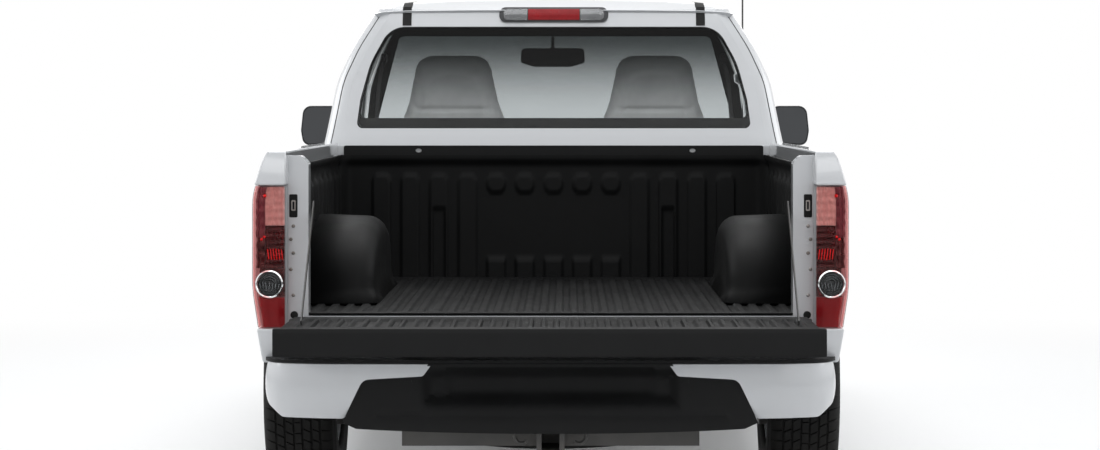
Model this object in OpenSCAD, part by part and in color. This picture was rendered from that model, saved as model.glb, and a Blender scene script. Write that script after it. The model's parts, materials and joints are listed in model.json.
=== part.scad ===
// Pickup truck with a single cab, an open tailgate and a lined bed.
// +Y points to the front, +X to the right-hand side, Z = 0 is the ground.
// Heights are for standing wheels: a bigger tyre lifts the whole body.

/* [Overall] */
// Distance between the two axles
wheelbase = 2827; // [2600:1:3400]
// Width of the body at its widest line
body_w = 1718; // [1500:1:2060]
// From the rear axle back to the tail plane
rear_overhang = 1020; // [900:1:1230]
// From the front axle forward to the nose
front_overhang = 920; // [880:1:1100]
// Height of the roof's highest line
cab_h = 1648; // [1560:1:1980]

/* [Wheels] */
// Distance between the wheel centres of one axle
track_w = 1570; // [1500:1:1700]
// Radius of the tyres
tyre_r = 365; // [340:1:440]
// Width of the tyres
tyre_w = 225; // [190:1:250]
// Radius of the rims' seat in the tyres
rim_r = 204; // [190:1:230]
// Room between a tyre and its arch
arch_gap = 55; // [40:1:70]
// Width of the flare beyond the body's side
flare_out = 40; // [10:1:60]

/* [Bed] */
// Length of the bed from the tail plane to its front wall
bed_l = 1930; // [1610:1:2000]
// Thickness of a bed side, outer skin to inner skin
bed_wall = 100; // [80:1:120]
// Height of the bed rails
rail_z = 1118; // [1050:1:1200]
// Height of the steel floor of the bed
bed_floor_z = 640; // [630:1:660]
// Thickness of the plastic bed liner
liner_t = 8; // [4:1:12]
// Half distance between the wheelhouses inside the bed
house_x = 546; // [540:1:600]
// Width of a rear jamb, inside the bed's side wall
jamb_w = 58; // [40:1:70]
// Thickness of the tailgate
gate_t = 80; // [60:1:90]
// Width of the tailgate
gate_w = 1504; // [1250:1:1510]

/* [Cab] */
// Space between the bed and the cab
cab_gap = 25; // [15:1:60]
// Length of the side panel behind a door
quarter_l = 195; // [150:1:240]
// Thickness of a door below its window
door_t = 100; // [80:1:110]
// Thickness of the frames around the windows and of the roof
frame_t = 42; // [34:1:50]
// Reach of a door mirror beyond the body's side
mirror_out = 137; // [80:1:150]
// Gap around each door, lid and panel that moves
shut_gap = 6; // [5:1:9]
// Thickness of the window glass
glass_t = 6; // [4:1:10]
// Half width of the roof at its edge
roof_half_w = 610; // [540:1:640]

/* [Hitch] */
// Inner width of the square hitch socket
socket_w = 51; // [40:1:64]
// Diameter of the hole for a tow ball in the step
ball_hole_d = 25.4; // [19:0.1:32]
// Half distance between the two screws of the number plate
plate_hole_x = 88.9; // [60:0.1:160]

/* [Hidden] */
$fn = 64;

// Heights below are drawn for this axle height
drawn_axle_z = 365;
lift = tyre_r - drawn_axle_z;
axle_z = drawn_axle_z;

// Tailgate hinge, from the tail plane and from the ground
gate_hinge_in = 50;
gate_hinge_z = 612;
gate_top_z = rail_z - 6;
gate_reach = gate_top_z - gate_hinge_z - gate_hinge_in;

// Places along the truck
total_l = gate_reach + rear_overhang + wheelbase + front_overhang;
nose_y = total_l / 2;
front_axle_y = nose_y - front_overhang;
rear_axle_y = front_axle_y - wheelbase;
tail_y = rear_axle_y - rear_overhang;
bed_end_y = tail_y + bed_l;
cab_y = bed_end_y + cab_gap;
door_front_y = front_axle_y - 597;
door_rear_y = cab_y + quarter_l;
door_l = door_front_y - door_rear_y;
cowl_y = front_axle_y - 400;
screen_base_y = cowl_y + 53;
screen_top_y = cowl_y - 597;
hood_rear_y = cowl_y + 113;
hood_front_y = nose_y - 92;
hood_hinge_y = hood_rear_y - 18;
hood_hinge_z = 1030;
hood_ear_x = 600;
hood_pin_r = 4;

half_w = body_w / 2;
inner_x = half_w - bed_wall;
door_in_x = half_w - door_t;
wheel_x = track_w / 2;
arch_r = tyre_r + arch_gap;
house_r = tyre_r + 160;
sheet = 10;
belt_z = 1090;
roof_seam_z = cab_h - 73;
door_low_z = 430;
sill_low_z = 375;
rail_low_z = 460;
rail_high_z = 570;
rail_in_x = 350;
rail_out_x = 430;
floor_z = 610;
kingpin_x = wheel_x - 95;
spindle_r = 25;
steer_arm = 120;
// Room that a steered tyre's far corner needs round its kingpin
steer_room = norm([track_w / 2 + tyre_w / 2 - 34 - kingpin_x, tyre_r]) + 7;
steer_room_z = axle_z + 155;
// Gap between a moving piece and what carries it
seat_gap = 0.3;
fender_t = 62;
fender_top_z = 1072;
far = 4000;

paint = [0.83, 0.84, 0.86];
plastic = [0.07, 0.07, 0.075];
steel = [0.32, 0.33, 0.34];
rubber = [0.05, 0.05, 0.05];
glass = [0.35, 0.38, 0.4, 0.6];
red = [0.6, 0.03, 0.04];

// ---------- helpers ----------

// Box between two corners, lifted with the body
module block(low, high) {
    translate([low[0], low[1], low[2] + lift]) cube(high - low);
}

// Front-view outline (x, z) stretched from y0 to y1
module front_view(y0, y1) {
    translate([0, y1, lift]) rotate([90, 0, 0])
        linear_extrude(y1 - y0) children();
}

// Side-view outline (y, z) stretched from x0 to x1
module side_view(x0, x1) {
    translate([x0, 0, lift]) rotate([90, 0, 90])
        linear_extrude(x1 - x0) children();
}

// Top-view outline (x, y) stretched from z0 to z1
module top_view(z0, z1) {
    translate([0, 0, z0 + lift]) linear_extrude(z1 - z0) children();
}

// Round bar along X
module bar_x(x0, x1, y, z, r) {
    translate([x0, y, z + lift]) rotate([0, 90, 0]) cylinder(h = x1 - x0, r = r);
}

// Round bar along Y
module bar_y(y0, y1, x, z, r) {
    translate([x, y1, z + lift]) rotate([90, 0, 0]) cylinder(h = y1 - y0, r = r);
}

// Round bar along Z
module bar_z(z0, z1, x, y, r) {
    translate([x, y, z0 + lift]) cylinder(h = z1 - z0, r = r);
}

// The child and its twin on the left-hand side
module both_sides() {
    children();
    mirror([1, 0, 0]) children();
}

// Right half outline closed by its mirror image
function full(p) = concat(p, [for (i = [len(p) - 1:-1:0]) if (p[i][0] > 0) [-p[i][0], p[i][1]]]);

// Lower side of the body, from the sill to the shoulder
side_curve = [[half_w - 59, sill_low_z], [half_w - 33, 510], [half_w - 17, 610],
    [half_w, 720], [half_w, 990], [half_w - 9, 1020]];

// Half outline of the cab seen from the front
cab_half = concat(side_curve, [[half_w - 42, 1100], [half_w - 85, cab_h - 313],
    [half_w - 138, cab_h - 194], [roof_half_w + 27, cab_h - 58],
    [roof_half_w, cab_h - 36], [roof_half_w - 85, cab_h - 18],
    [roof_half_w - 285, cab_h - 5], [0, cab_h]]);

// Half outline of the bed seen from behind
bed_half = concat(side_curve, [[half_w - 38, rail_z - 6], [half_w - 46, rail_z]]);

// Half outline of the front end, at the firewall
front_half = concat(side_curve, [[half_w - 40, 1062], [half_w - 110, 1085]]);

module cab_outline() polygon(full(cab_half));
module bed_outline() polygon(full(bed_half));
module front_outline() polygon(full(front_half));

// Line of the cab's back, from its foot to the roof
back_line = [[0, 560], [0, 1100], [35, 1170], [125, 1530], [155, cab_h - 48]];
back_t = 50;

// How far ahead of its foot the cab's back lies at height z
function back_at(z) = lookup(z, [for (p = back_line) [p[1], p[0]]]);

// Side outline of the cab, without the doors' and panels' cuts
module cab_profile() {
    polygon(concat([for (p = back_line) [cab_y + p[0], p[1]]],
        [[cab_y + 245, cab_h - 13], [(cab_y + screen_top_y) / 2 + 60, cab_h],
        [screen_top_y - 110, cab_h - 13], [screen_top_y, cab_h - 48],
        [screen_base_y, 1080], [screen_base_y, 560]]));
}

// Slab that follows the cab's back, t thick, its outside set in by skin
module back_slab(skin, t) {
    polygon(concat([for (p = back_line) [cab_y + skin + p[0], p[1]]],
        [for (i = [len(back_line) - 1:-1:0]) [cab_y + skin + t + back_line[i][0], back_line[i][1]]]));
}

// Slab that follows the windscreen
module screen_slab(skin, t) {
    polygon([[screen_top_y - skin, cab_h - 48 - skin], [screen_base_y - skin, 1080 - skin],
        [screen_base_y - skin - t, 1080 - skin], [screen_top_y - skin - t, cab_h - 48 - skin]]);
}

// Door seen from the side, larger by grow all round, with its window frame
module door_profile(grow) {
    polygon([[door_rear_y - 200, door_low_z - grow], [door_front_y + grow, door_low_z - grow],
        [door_front_y + grow, 1075 + grow],
        [screen_top_y + 35 + grow, roof_seam_z - 26 + grow],
        [door_rear_y - 200, roof_seam_z - 26 + grow]]);
}

// Window seen from the side, with round corners
module door_window(grow) {
    offset(r = 45 + grow) offset(delta = -45) polygon([
        [door_rear_y + 75, belt_z + 22], [door_front_y - 130, belt_z + 22],
        [screen_top_y - 20, roof_seam_z - 72], [door_rear_y + 105, roof_seam_z - 72]]);
}

// Rear window seen from behind
module back_window(grow) {
    offset(r = 60 + grow) offset(delta = -60) polygon(full([[half_w - 159, 1168],
        [half_w - 169, 1268], [half_w - 202, cab_h - 248], [roof_half_w - 22, cab_h - 118]]));
}

// Upright cylinder round the door's hinge: the door lies within it
module hinge_round(r) {
    translate([half_w, door_front_y, -10]) cylinder(h = far, r = r, $fn = 180);
}

// Shell round the cab above its belt, as thick as its frames
module cab_ring(t) {
    difference() {
        cab_outline();
        offset(delta = -t) cab_outline();
        translate([-far / 2, 0]) square([far, belt_z - 40]);
    }
}

// Nose corners cut back, seen from above
module nose_plan() {
    polygon(full([[half_w, front_axle_y - 1200], [half_w, nose_y - 420],
        [half_w - 20, nose_y - 300], [half_w - 75, nose_y - 150],
        [half_w - 190, nose_y - 55], [half_w - 420, nose_y - 12], [0, nose_y]]));
}

// ---------- frame and running gear ----------

module frame_rails() {
    color(steel) both_sides()
        block([rail_in_x, tail_y + 60, rail_low_z], [rail_out_x, nose_y - 190, rail_high_z]);
}

spare_y = tail_y + 170 + tyre_r;
spare_z = rail_low_z - tyre_w / 2;
spare_disc_z = spare_z + tyre_w / 2 - 52;

module cross_members() {
    bar = 80;
    deep = 20;
    color(steel) for (y = [tail_y + 65, spare_y - bar / 2, rear_axle_y + 420, cab_y + 380,
        cab_y + 760, nose_y - 275])
        block([-rail_in_x, y, rail_low_z + deep], [rail_in_x, y + bar, rail_high_z - 8]);
    // Hoist that holds the spare wheel
    color(steel) bar_z(spare_disc_z, rail_low_z + deep, 0, spare_y, 24);
}

engine_low_z = 460;
engine_rear_y = cowl_y + 90;

module engine_block() {
    color([0.25, 0.25, 0.26])
        block([-290, engine_rear_y, engine_low_z], [290, engine_rear_y + 640, 930]);
}

gearbox_rear_y = engine_rear_y - 700;
shaft_z = 415;

module gearbox() {
    color([0.4, 0.4, 0.41])
        block([-115, gearbox_rear_y, 375], [115, engine_rear_y, rail_high_z - 4]);
}

module driveshaft() {
    color(steel) bar_y(rear_axle_y + 150, gearbox_rear_y, 0, shaft_z, 36);
}

drum_x = wheel_x - 125;

module rear_axle() {
    spring_pad = 50;
    color([0.16, 0.16, 0.17]) {
        bar_x(-drum_x, drum_x, rear_axle_y, axle_z, 44);
        bar_x(-105, 105, rear_axle_y, axle_z, 118);
        bar_y(rear_axle_y, rear_axle_y + 150, 0, shaft_z - 20, 60);
        both_sides() {
            bar_x(drum_x, drum_x + 62, rear_axle_y, axle_z, 138);
            bar_x(drum_x + 62, wheel_x + 38, rear_axle_y, axle_z, spindle_r);
            block([470, rear_axle_y - spring_pad, axle_z], [530, rear_axle_y + spring_pad, 416]);
        }
    }
}

module leaf_springs() {
    reach = 620;
    thick = 26;
    color(steel) both_sides() {
        side_view(470, 530) polygon([[rear_axle_y - reach, 474], [rear_axle_y - 320, 430],
            [rear_axle_y - 60, 416], [rear_axle_y + 60, 416], [rear_axle_y + 320, 430],
            [rear_axle_y + reach, 474], [rear_axle_y + reach, 474 + thick],
            [rear_axle_y + 320, 430 + thick + 8], [rear_axle_y + 60, 416 + thick + 24],
            [rear_axle_y - 60, 416 + thick + 24], [rear_axle_y - 320, 430 + thick + 8],
            [rear_axle_y - reach, 474 + thick]]);
        for (y = [rear_axle_y - reach, rear_axle_y + reach])
            block([rail_out_x, y - 30, 468], [530, y + 30, 530]);
    }
}

pipe_x = 392;
pipe_z = 436;
pipe_r = 22;

module exhaust() {
    muffler_y = cab_y + 60;
    color([0.45, 0.44, 0.42]) {
        bar_y(tail_y + 230, cowl_y - 20, pipe_x, pipe_z, pipe_r);
        side_muffler(muffler_y, muffler_y + 520);
        for (y = [tail_y + 300, muffler_y + 640, cowl_y - 100])
            block([pipe_x - 8, y, pipe_z + 15], [pipe_x + 8, y + 24, rail_low_z]);
    }
}

// Flat oval silencer on the exhaust pipe
module side_muffler(y0, y1) {
    front_view(y0, y1) translate([pipe_x - 105, pipe_z - 62]) offset(r = 50)
        square([150, 20], center = true);
    front_view(y0 + 100, y0 + 140) translate([pipe_x - 80, pipe_z - 40]) square([100, 30]);
}

module fuel_tank() {
    color([0.12, 0.12, 0.13])
        block([-338, cab_y - 20, 300], [-62, cab_y + 800, rail_low_z + 20]);
}

rack_z = 280;
arm_low_z = 205;
arm_t = 25;

// Arm seen from above: narrow at the ball joint, wide at the frame
module arm_plan(root_x, spread) {
    tip = 26;
    neck = 100;
    polygon([[kingpin_x + tip, front_axle_y - tip], [kingpin_x + tip, front_axle_y + tip],
        [kingpin_x - neck, front_axle_y + tip], [root_x, front_axle_y + spread],
        [root_x, front_axle_y - spread], [kingpin_x - neck, front_axle_y - tip]]);
}

module front_suspension() {
    color([0.2, 0.2, 0.21]) difference() {
        union() {
            block([-rail_out_x, front_axle_y - 90, 380], [rail_out_x, front_axle_y + 90, rail_low_z]);
            both_sides() {
                block([390, front_axle_y - 85, 200], [430, front_axle_y + 85, 380]);
                top_view(arm_low_z, arm_low_z + arm_t) arm_plan(430, 80);
                top_view(500, 500 + 18) arm_plan(rail_out_x, 70);
                block([200, front_axle_y - steer_arm - 30, rack_z], [240, front_axle_y - 60, 385]);
            }
            bar_x(-300, 300, front_axle_y - steer_arm, rack_z, 28);
        }
        bar_x(-310, 310, front_axle_y - steer_arm, rack_z, 12);
    }
}

module knuckle() {
    color([0.3, 0.3, 0.31]) {
        bar_z(arm_low_z + arm_t + seat_gap, 500 - seat_gap, kingpin_x, front_axle_y, 20);
        block([kingpin_x - 22, front_axle_y - 30, 270], [kingpin_x + 24, front_axle_y + 30, 460]);
        bar_x(kingpin_x, wheel_x + 38, front_axle_y, axle_z, spindle_r);
        bar_x(wheel_x - 58, wheel_x - 38, front_axle_y, axle_z, 140);
        block([kingpin_x - 20, front_axle_y - steer_arm - 14, rack_z + 9 + seat_gap],
            [kingpin_x + 2, front_axle_y, rack_z + 31]);
    }
}

module knuckle_right() knuckle();
module knuckle_left() mirror([1, 0, 0]) knuckle();

module tie_rod() {
    color(steel) bar_x(-kingpin_x + 4, kingpin_x - 4, front_axle_y - steer_arm, rack_z, 9);
}

// Tyre on the right-hand side: a ring with a flat tread and round walls
module tyre(y) {
    w = tyre_w / 2;
    color(rubber) translate([wheel_x, y, tyre_r]) rotate([0, 90, 0])
        rotate_extrude($fn = 120) polygon([[rim_r, -w + 14], [rim_r + 22, -w + 6],
            [rim_r + 70, -w], [tyre_r - 50, -w + 4], [tyre_r - 16, -w + 14], [tyre_r, -w + 34],
            [tyre_r, w - 34], [tyre_r - 16, w - 14], [tyre_r - 50, w - 4], [rim_r + 70, w],
            [rim_r + 22, w - 6], [rim_r, w - 14]]);
}

module tyre_front_right() tyre(front_axle_y);
module tyre_front_left() mirror([1, 0, 0]) tyre(front_axle_y);
module tyre_rear_right() tyre(rear_axle_y);
module tyre_rear_left() mirror([1, 0, 0]) tyre(rear_axle_y);

// Alloy wheel on the right-hand side: barrel, face with windows, and hub
module rim(y) {
    w = tyre_w / 2 - 16;
    face = 30;
    windows = 6;
    window_r = 34;
    color([0.72, 0.73, 0.74]) translate([wheel_x, y, tyre_r]) rotate([0, 90, 0]) difference() {
        rotate_extrude($fn = 120) polygon([[spindle_r + 0.3, face - 55], [60, face - 55],
            [72, face], [rim_r - 34, face + 16], [rim_r - 24, 0], [rim_r - 24, -w + 12],
            [rim_r - 12, -w], [rim_r - 0.3, -w], [rim_r - 0.3, w], [rim_r - 12, w],
            [rim_r - 24, face + 34], [72, face + 22], [spindle_r + 0.3, face + 22]]);
        for (i = [0:windows - 1]) rotate([0, 0, i * 360 / windows])
            translate([122, 0, face - 20]) cylinder(h = 70, r = window_r);
    }
}

module rim_front_right() rim(front_axle_y);
module rim_front_left() mirror([1, 0, 0]) rim(front_axle_y);
module rim_rear_right() rim(rear_axle_y);
module rim_rear_left() mirror([1, 0, 0]) rim(rear_axle_y);

module spare_tyre() {
    w = tyre_w / 2;
    color(rubber) translate([0, spare_y, spare_z + lift])
        rotate_extrude() polygon([[0, w - 60], [0, w - 52], [rim_r - 20, w - 52], [rim_r, w - 10],
            [rim_r + 70, w], [tyre_r - 22, w - 10], [tyre_r, w - 34], [tyre_r, -w + 34],
            [tyre_r - 22, -w + 10], [rim_r + 70, -w], [rim_r, -w + 10], [rim_r - 10, 0],
            [rim_r - 20, w - 60]]);
}

// ---------- cab ----------

// Space that a steered front wheel needs, round its kingpin
module steered_wheel_space() {
    bar_z(200, steer_room_z, kingpin_x, front_axle_y, steer_room);
}

module cab_floor() {
    color(paint) {
        block([-door_in_x + 12, cab_y + 52, rail_high_z], [door_in_x - 12, cowl_y, floor_z]);
        both_sides() difference() {
            block([door_in_x - 60, cab_y + 52, sill_low_z + 30],
                [door_in_x - 12, cowl_y, rail_high_z]);
            steered_wheel_space();
        }
    }
}

module firewall() {
    color(paint) difference() {
        block([-door_in_x + 12, cowl_y, 450], [door_in_x - 12, cowl_y + 20, 1040]);
        both_sides() block([rail_in_x - 8, cowl_y - 5, 400],
            [rail_out_x + 8, cowl_y + 25, rail_high_z + 6]);
        block([-130, cowl_y - 5, 400], [130, cowl_y + 25, rail_high_z + 6]);
        both_sides() steered_wheel_space();
    }
    color(paint) block([-door_in_x + 12, cowl_y + 20, 1020],
        [door_in_x - 12, screen_base_y + 30, 1040]);
    // Hinge ears and pins under the hood's rear corners
    color(paint) both_sides() {
        block([hood_ear_x, screen_base_y, 1030], [hood_ear_x + 12, hood_hinge_y, 1038]);
        bar_x(hood_ear_x, hood_ear_x + 12, hood_hinge_y, hood_hinge_z, 8);
        bar_x(hood_ear_x, hood_ear_x + 32, hood_hinge_y, hood_hinge_z, hood_pin_r);
    }
}

module cab_back() {
    color(paint) intersection() {
        difference() {
            side_view(-half_w, half_w) back_slab(0, back_t);
            front_view(cab_y - 50, cab_y + 400) back_window(0);
        }
        front_view(cab_y - 50, cab_y + 400) cab_outline();
        block([-half_w, cab_y - 50, rail_high_z], [half_w, cab_y + 400, roof_seam_z]);
    }
}

module cab_side() {
    difference() {
        intersection() {
            union() {
                block([door_in_x, cab_y, sill_low_z], [half_w, cowl_y, belt_z]);
                front_view(cab_y, screen_base_y) cab_ring(frame_t);
            }
            front_view(cab_y, screen_base_y) cab_outline();
            side_view(0, half_w)
                polygon([[cab_y + back_t, sill_low_z], for (z = [1100, 1170, 1530, roof_seam_z])
                    [cab_y + back_t + back_at(z), z], [screen_top_y + 31, roof_seam_z], [screen_base_y - 20, 1096],
                    [screen_base_y - 20, 1040], [cowl_y, 1040], [cowl_y, sill_low_z]]);
            block([100, cab_y, sill_low_z], [half_w, screen_base_y, roof_seam_z]);
        }
        intersection() {
            hinge_round(door_l + shut_gap);
            side_view(0, half_w) door_profile(shut_gap);
        }
        steered_wheel_space();
        // The fender's skin covers the hinge post
        block([half_w - fender_t, door_front_y + shut_gap - 1, 0],
            [half_w + 1, screen_base_y, fender_top_z]);
    }
    // Lower rear corner, under the back wall's end
    intersection() {
        block([door_in_x, cab_y, sill_low_z], [half_w, cab_y + back_t, rail_high_z]);
        front_view(cab_y, cab_y + back_t) cab_outline();
    }
    // Hinge leaves that carry the door
    for (z = [door_low_z + 150, belt_z - 150])
        block([door_in_x + 3, door_front_y + seat_gap, z],
            [half_w - fender_t - 2, door_front_y + shut_gap, z + 70]);
}

module cab_sides() {
    color(paint) both_sides() cab_side();
}

module roof() {
    color(paint) difference() {
        intersection() {
            side_view(-half_w, half_w) cab_profile();
            front_view(cab_y, screen_base_y) cab_outline();
        }
        intersection() {
            side_view(-half_w, half_w) offset(delta = -frame_t) cab_profile();
            front_view(cab_y, screen_base_y) offset(delta = -frame_t) cab_outline();
        }
        block([-half_w - 1, cab_y - 100, 0], [half_w + 1, screen_base_y + 100, roof_seam_z]);
    }
}

module windscreen() {
    color(glass) intersection() {
        side_view(-half_w, half_w) screen_slab(2, glass_t);
        front_view(cab_y, screen_base_y) offset(delta = -frame_t) cab_outline();
        block([-half_w, cab_y, 1041], [half_w, screen_base_y, roof_seam_z]);
    }
}

module rear_window() {
    color(glass) intersection() {
        side_view(-half_w, half_w) back_slab(6, glass_t);
        front_view(cab_y, cab_y + 300) back_window(0);
    }
}

module door_shape() {
    color(paint) difference() {
        intersection() {
            union() {
                block([door_in_x, door_rear_y - 200, door_low_z], [half_w, door_front_y, belt_z]);
                front_view(door_rear_y - 200, door_front_y) cab_ring(frame_t);
            }
            front_view(door_rear_y - 200, door_front_y) cab_outline();
            side_view(0, half_w) door_profile(0);
            hinge_round(door_l);
        }
        side_view(0, half_w + 10) door_window(0);
    }
}

module door_right() door_shape();
module door_left() mirror([1, 0, 0]) door_shape();

module door_glass() {
    color(glass) intersection() {
        front_view(door_rear_y, door_front_y) difference() {
            offset(delta = -14) cab_outline();
            offset(delta = -14 - glass_t) cab_outline();
        }
        side_view(0, half_w) door_window(0);
    }
}

module door_glass_right() door_glass();
module door_glass_left() mirror([1, 0, 0]) door_glass();

module mirror_shape() {
    y = door_front_y - 150;
    corner_r = 24;
    outer_x = half_w + mirror_out - corner_r;
    color(plastic) difference() {
        union() {
            translate([0, 0, lift]) intersection() {
                hull() {
                    translate([half_w + 14, y, 1112]) sphere(r = 22, $fn = 24);
                    translate([outer_x, y, 1114]) sphere(r = corner_r, $fn = 24);
                    translate([outer_x - 6, y, 1226]) sphere(r = corner_r, $fn = 24);
                    translate([half_w + 6, y, 1230]) sphere(r = 20, $fn = 24);
                    translate([half_w + mirror_out / 2, y + 56, 1168]) sphere(r = 36, $fn = 24);
                }
            }
            block([half_w - 60, y - 18, 1106], [half_w + 20, y + 22, 1136]);
        }
        side_view(0, half_w + mirror_out + 30) polygon([[y - 60, 1000], [y - 19, 1000],
            [y - 19, 1300], [y - 60, 1300]]);
        front_view(door_rear_y, door_front_y + 100) cab_outline();
    }
}

module mirror_right() mirror_shape();
module mirror_left() mirror([1, 0, 0]) mirror_shape();

// One high-backed seat, seen from the side and stretched across
module seat() {
    y = cab_y + 130;
    side_view(130, 590) polygon([[y + 40, floor_z], [y + 560, floor_z], [y + 600, 840],
        [y + 590, 870], [y + 480, 885], [y + 190, 850], [y + 105, 1250], [y + 30, 1250],
        [y, 1200], [y + 40, 850]]);
    side_view(230, 490) polygon([[y + 25, 1250], [y + 110, 1250], [y + 90, 1430],
        [y + 60, 1445], [y + 25, 1430]]);
}

module seats() {
    color([0.18, 0.18, 0.19]) both_sides() seat();
}

driver_x = -360;

module steering_place() {
    translate([driver_x, cowl_y - 440, 975 + lift]) rotate([62, 0, 0]) children();
}

module steering_column() {
    steering_place() translate([0, 0, -215]) cylinder(h = 205, r = 32);
}

module dashboard() {
    color([0.14, 0.14, 0.15]) difference() {
        side_view(-door_in_x + 14, door_in_x - 14) polygon([
            [cowl_y, 760], [cowl_y, 1030], [cowl_y - 40, 1039], [cowl_y - 230, 1030],
            [cowl_y - 290, 980], [cowl_y - 270, 840], [cowl_y - 180, 760]]);
        steering_column();
    }
}

module steering_wheel() {
    r = 182;
    color([0.1, 0.1, 0.1]) {
        steering_place() {
            rotate_extrude() translate([r, 0]) circle(r = 14, $fn = 24);
            translate([-r, -18, -8]) cube([2 * r, 36, 14]);
            translate([0, 0, -16]) cylinder(h = 30, r = 62);
        }
        steering_column();
    }
}

module high_brake_light() {
    color(red) difference() {
        block([-195, cab_y + 112, cab_h - 101], [195, cab_y + 190, cab_h - 47]);
        side_view(-half_w, half_w) cab_profile();
    }
}

// ---------- front end ----------

hood_edge_x = half_w - 122;

hood_t = 34;

// Top line of the front end, lowered by down
module hood_slab(down, t) {
    polygon([[hood_rear_y, 1078 - down], [front_axle_y + 250, 1030 - down],
        [hood_front_y - 90, 960 - down], [hood_front_y, 925 - down],
        [hood_front_y, 925 - down - t], [hood_front_y - 90, 960 - down - t],
        [front_axle_y + 250, 1030 - down - t], [hood_rear_y, 1078 - down - t]]);
}

module hood() {
    color(paint) intersection() {
        side_view(-hood_edge_x, hood_edge_x) hood_slab(0, hood_t);
        top_view(600, 1200) offset(delta = -14) nose_plan();
    }
    // Hinge arms with their eyes on the pins
    color(paint) both_sides() difference() {
        union() {
            bar_x(hood_ear_x + 16, hood_ear_x + 28, hood_hinge_y, hood_hinge_z, 8);
            side_view(hood_ear_x + 16, hood_ear_x + 28)
                polygon([[hood_hinge_y, 1022], [hood_hinge_y, 1038], [hood_rear_y + 8, 1050],
                    [hood_rear_y + 50, 1046], [hood_rear_y + 30, 1030]]);
        }
        bar_x(hood_ear_x + 10, hood_ear_x + 40, hood_hinge_y, hood_hinge_z,
            hood_pin_r + seat_gap);
    }
}

// Side outline of a front fender
module fender_profile() {
    difference() {
        polygon([[door_front_y + shut_gap, sill_low_z + 5], [front_axle_y, sill_low_z + 5],
            [nose_y - 330, 470], [nose_y - 330, 700], [nose_y - 210, 700],
            [nose_y - 210, 930], [front_axle_y + 250, 1018],
            [hood_rear_y, 1066], [door_front_y + shut_gap, fender_top_z]]);
        translate([front_axle_y, axle_z]) circle(r = arch_r, $fn = 180);
    }
}

// Half ring that stands out round a wheel arch
module arch_flare(y) {
    flare_w = 42;
    side_view(half_w - 30, half_w + flare_out) intersection() {
        difference() {
            translate([y, axle_z]) circle(r = arch_r + flare_w, $fn = 180);
            translate([y, axle_z]) circle(r = arch_r, $fn = 180);
        }
        translate([y - 600, 420]) square([1200, 600]);
    }
}

module front_fenders() {
    color(paint) both_sides() {
        intersection() {
            side_view(half_w - fender_t, half_w) fender_profile();
            front_view(door_front_y, nose_y) front_outline();
            top_view(300, 1200) nose_plan();
        }
        // Top ledge between the side and the hood
        intersection() {
            side_view(hood_edge_x + shut_gap, half_w) hood_slab(12, 22);
            front_view(door_front_y, nose_y) front_outline();
            block([0, hood_rear_y, 500], [half_w, nose_y - 210, 1200]);
        }
        arch_flare(front_axle_y);
    }
}

// Front face of the radiator's support panel
support_y = nose_y - 210;

module radiator() {
    color([0.16, 0.16, 0.17]) {
        block([-rail_out_x - 220, support_y - 30, rail_high_z], [rail_out_x + 220, support_y, 880]);
        block([-340, support_y - 65, rail_high_z], [340, support_y - 30, 860]);
    }
}

grille_x = 400;

module grille() {
    color(plastic) intersection() {
        difference() {
            block([-grille_x, support_y, 640], [grille_x, nose_y - 60, 885]);
            for (z = [675, 745, 815])
                block([-grille_x + 40, nose_y - 150, z], [grille_x - 40, nose_y, z + 40]);
        }
        top_view(300, 1200) offset(delta = -20) nose_plan();
    }
}

module headlights() {
    color([0.85, 0.88, 0.9]) both_sides() intersection() {
        block([grille_x, support_y, 705], [half_w, nose_y - 40, 885]);
        top_view(300, 1200) offset(delta = -10) nose_plan();
    }
}

module front_bumper() {
    color(paint) intersection() {
        difference() {
            block([-half_w, nose_y - 329, 380], [half_w, nose_y, 635]);
            block([-half_w + 60, nose_y - 340, 300], [half_w - 60, nose_y - 190, 700]);
            block([-340, nose_y - 120, 455], [340, nose_y + 1, 540]);
        }
        top_view(300, 1200) nose_plan();
        front_view(nose_y - 400, nose_y) front_outline();
    }
}

module antenna() {
    x = half_w - 94;
    y = front_axle_y - 250;
    color([0.1, 0.1, 0.1]) difference() {
        union() {
            bar_z(1040, 1076, x, y, 14);
            bar_z(1076, 1740, x, y, 3.5);
        }
        side_view(x - 20, x + 20) hood_slab(12, 60);
    }
}

// ---------- bed ----------

stay_x = inner_x - jamb_w - 14;
stay_t = 5;
liner_z = bed_floor_z + liner_t;
floor_end_y = tail_y + 92;
jamb_y = tail_y + gate_t + 8;

// Hollow of a rear wheelhouse, seen from the side
module house_round(r) {
    translate([rear_axle_y, axle_z]) circle(r = r, $fn = 180);
}

module bed_floor() {
    sill = 60;
    color(paint) difference() {
        union() {
            block([-inner_x, floor_end_y, bed_floor_z - 20], [inner_x, bed_end_y - 40, bed_floor_z]);
            for (y = [floor_end_y, floor_end_y + 430, rear_axle_y + 360, bed_end_y - 260])
                block([-520, y, rail_high_z], [520, y + sill, bed_floor_z - 20]);
        }
        both_sides() side_view(house_x, inner_x + 1) house_round(house_r);
    }
}

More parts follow.
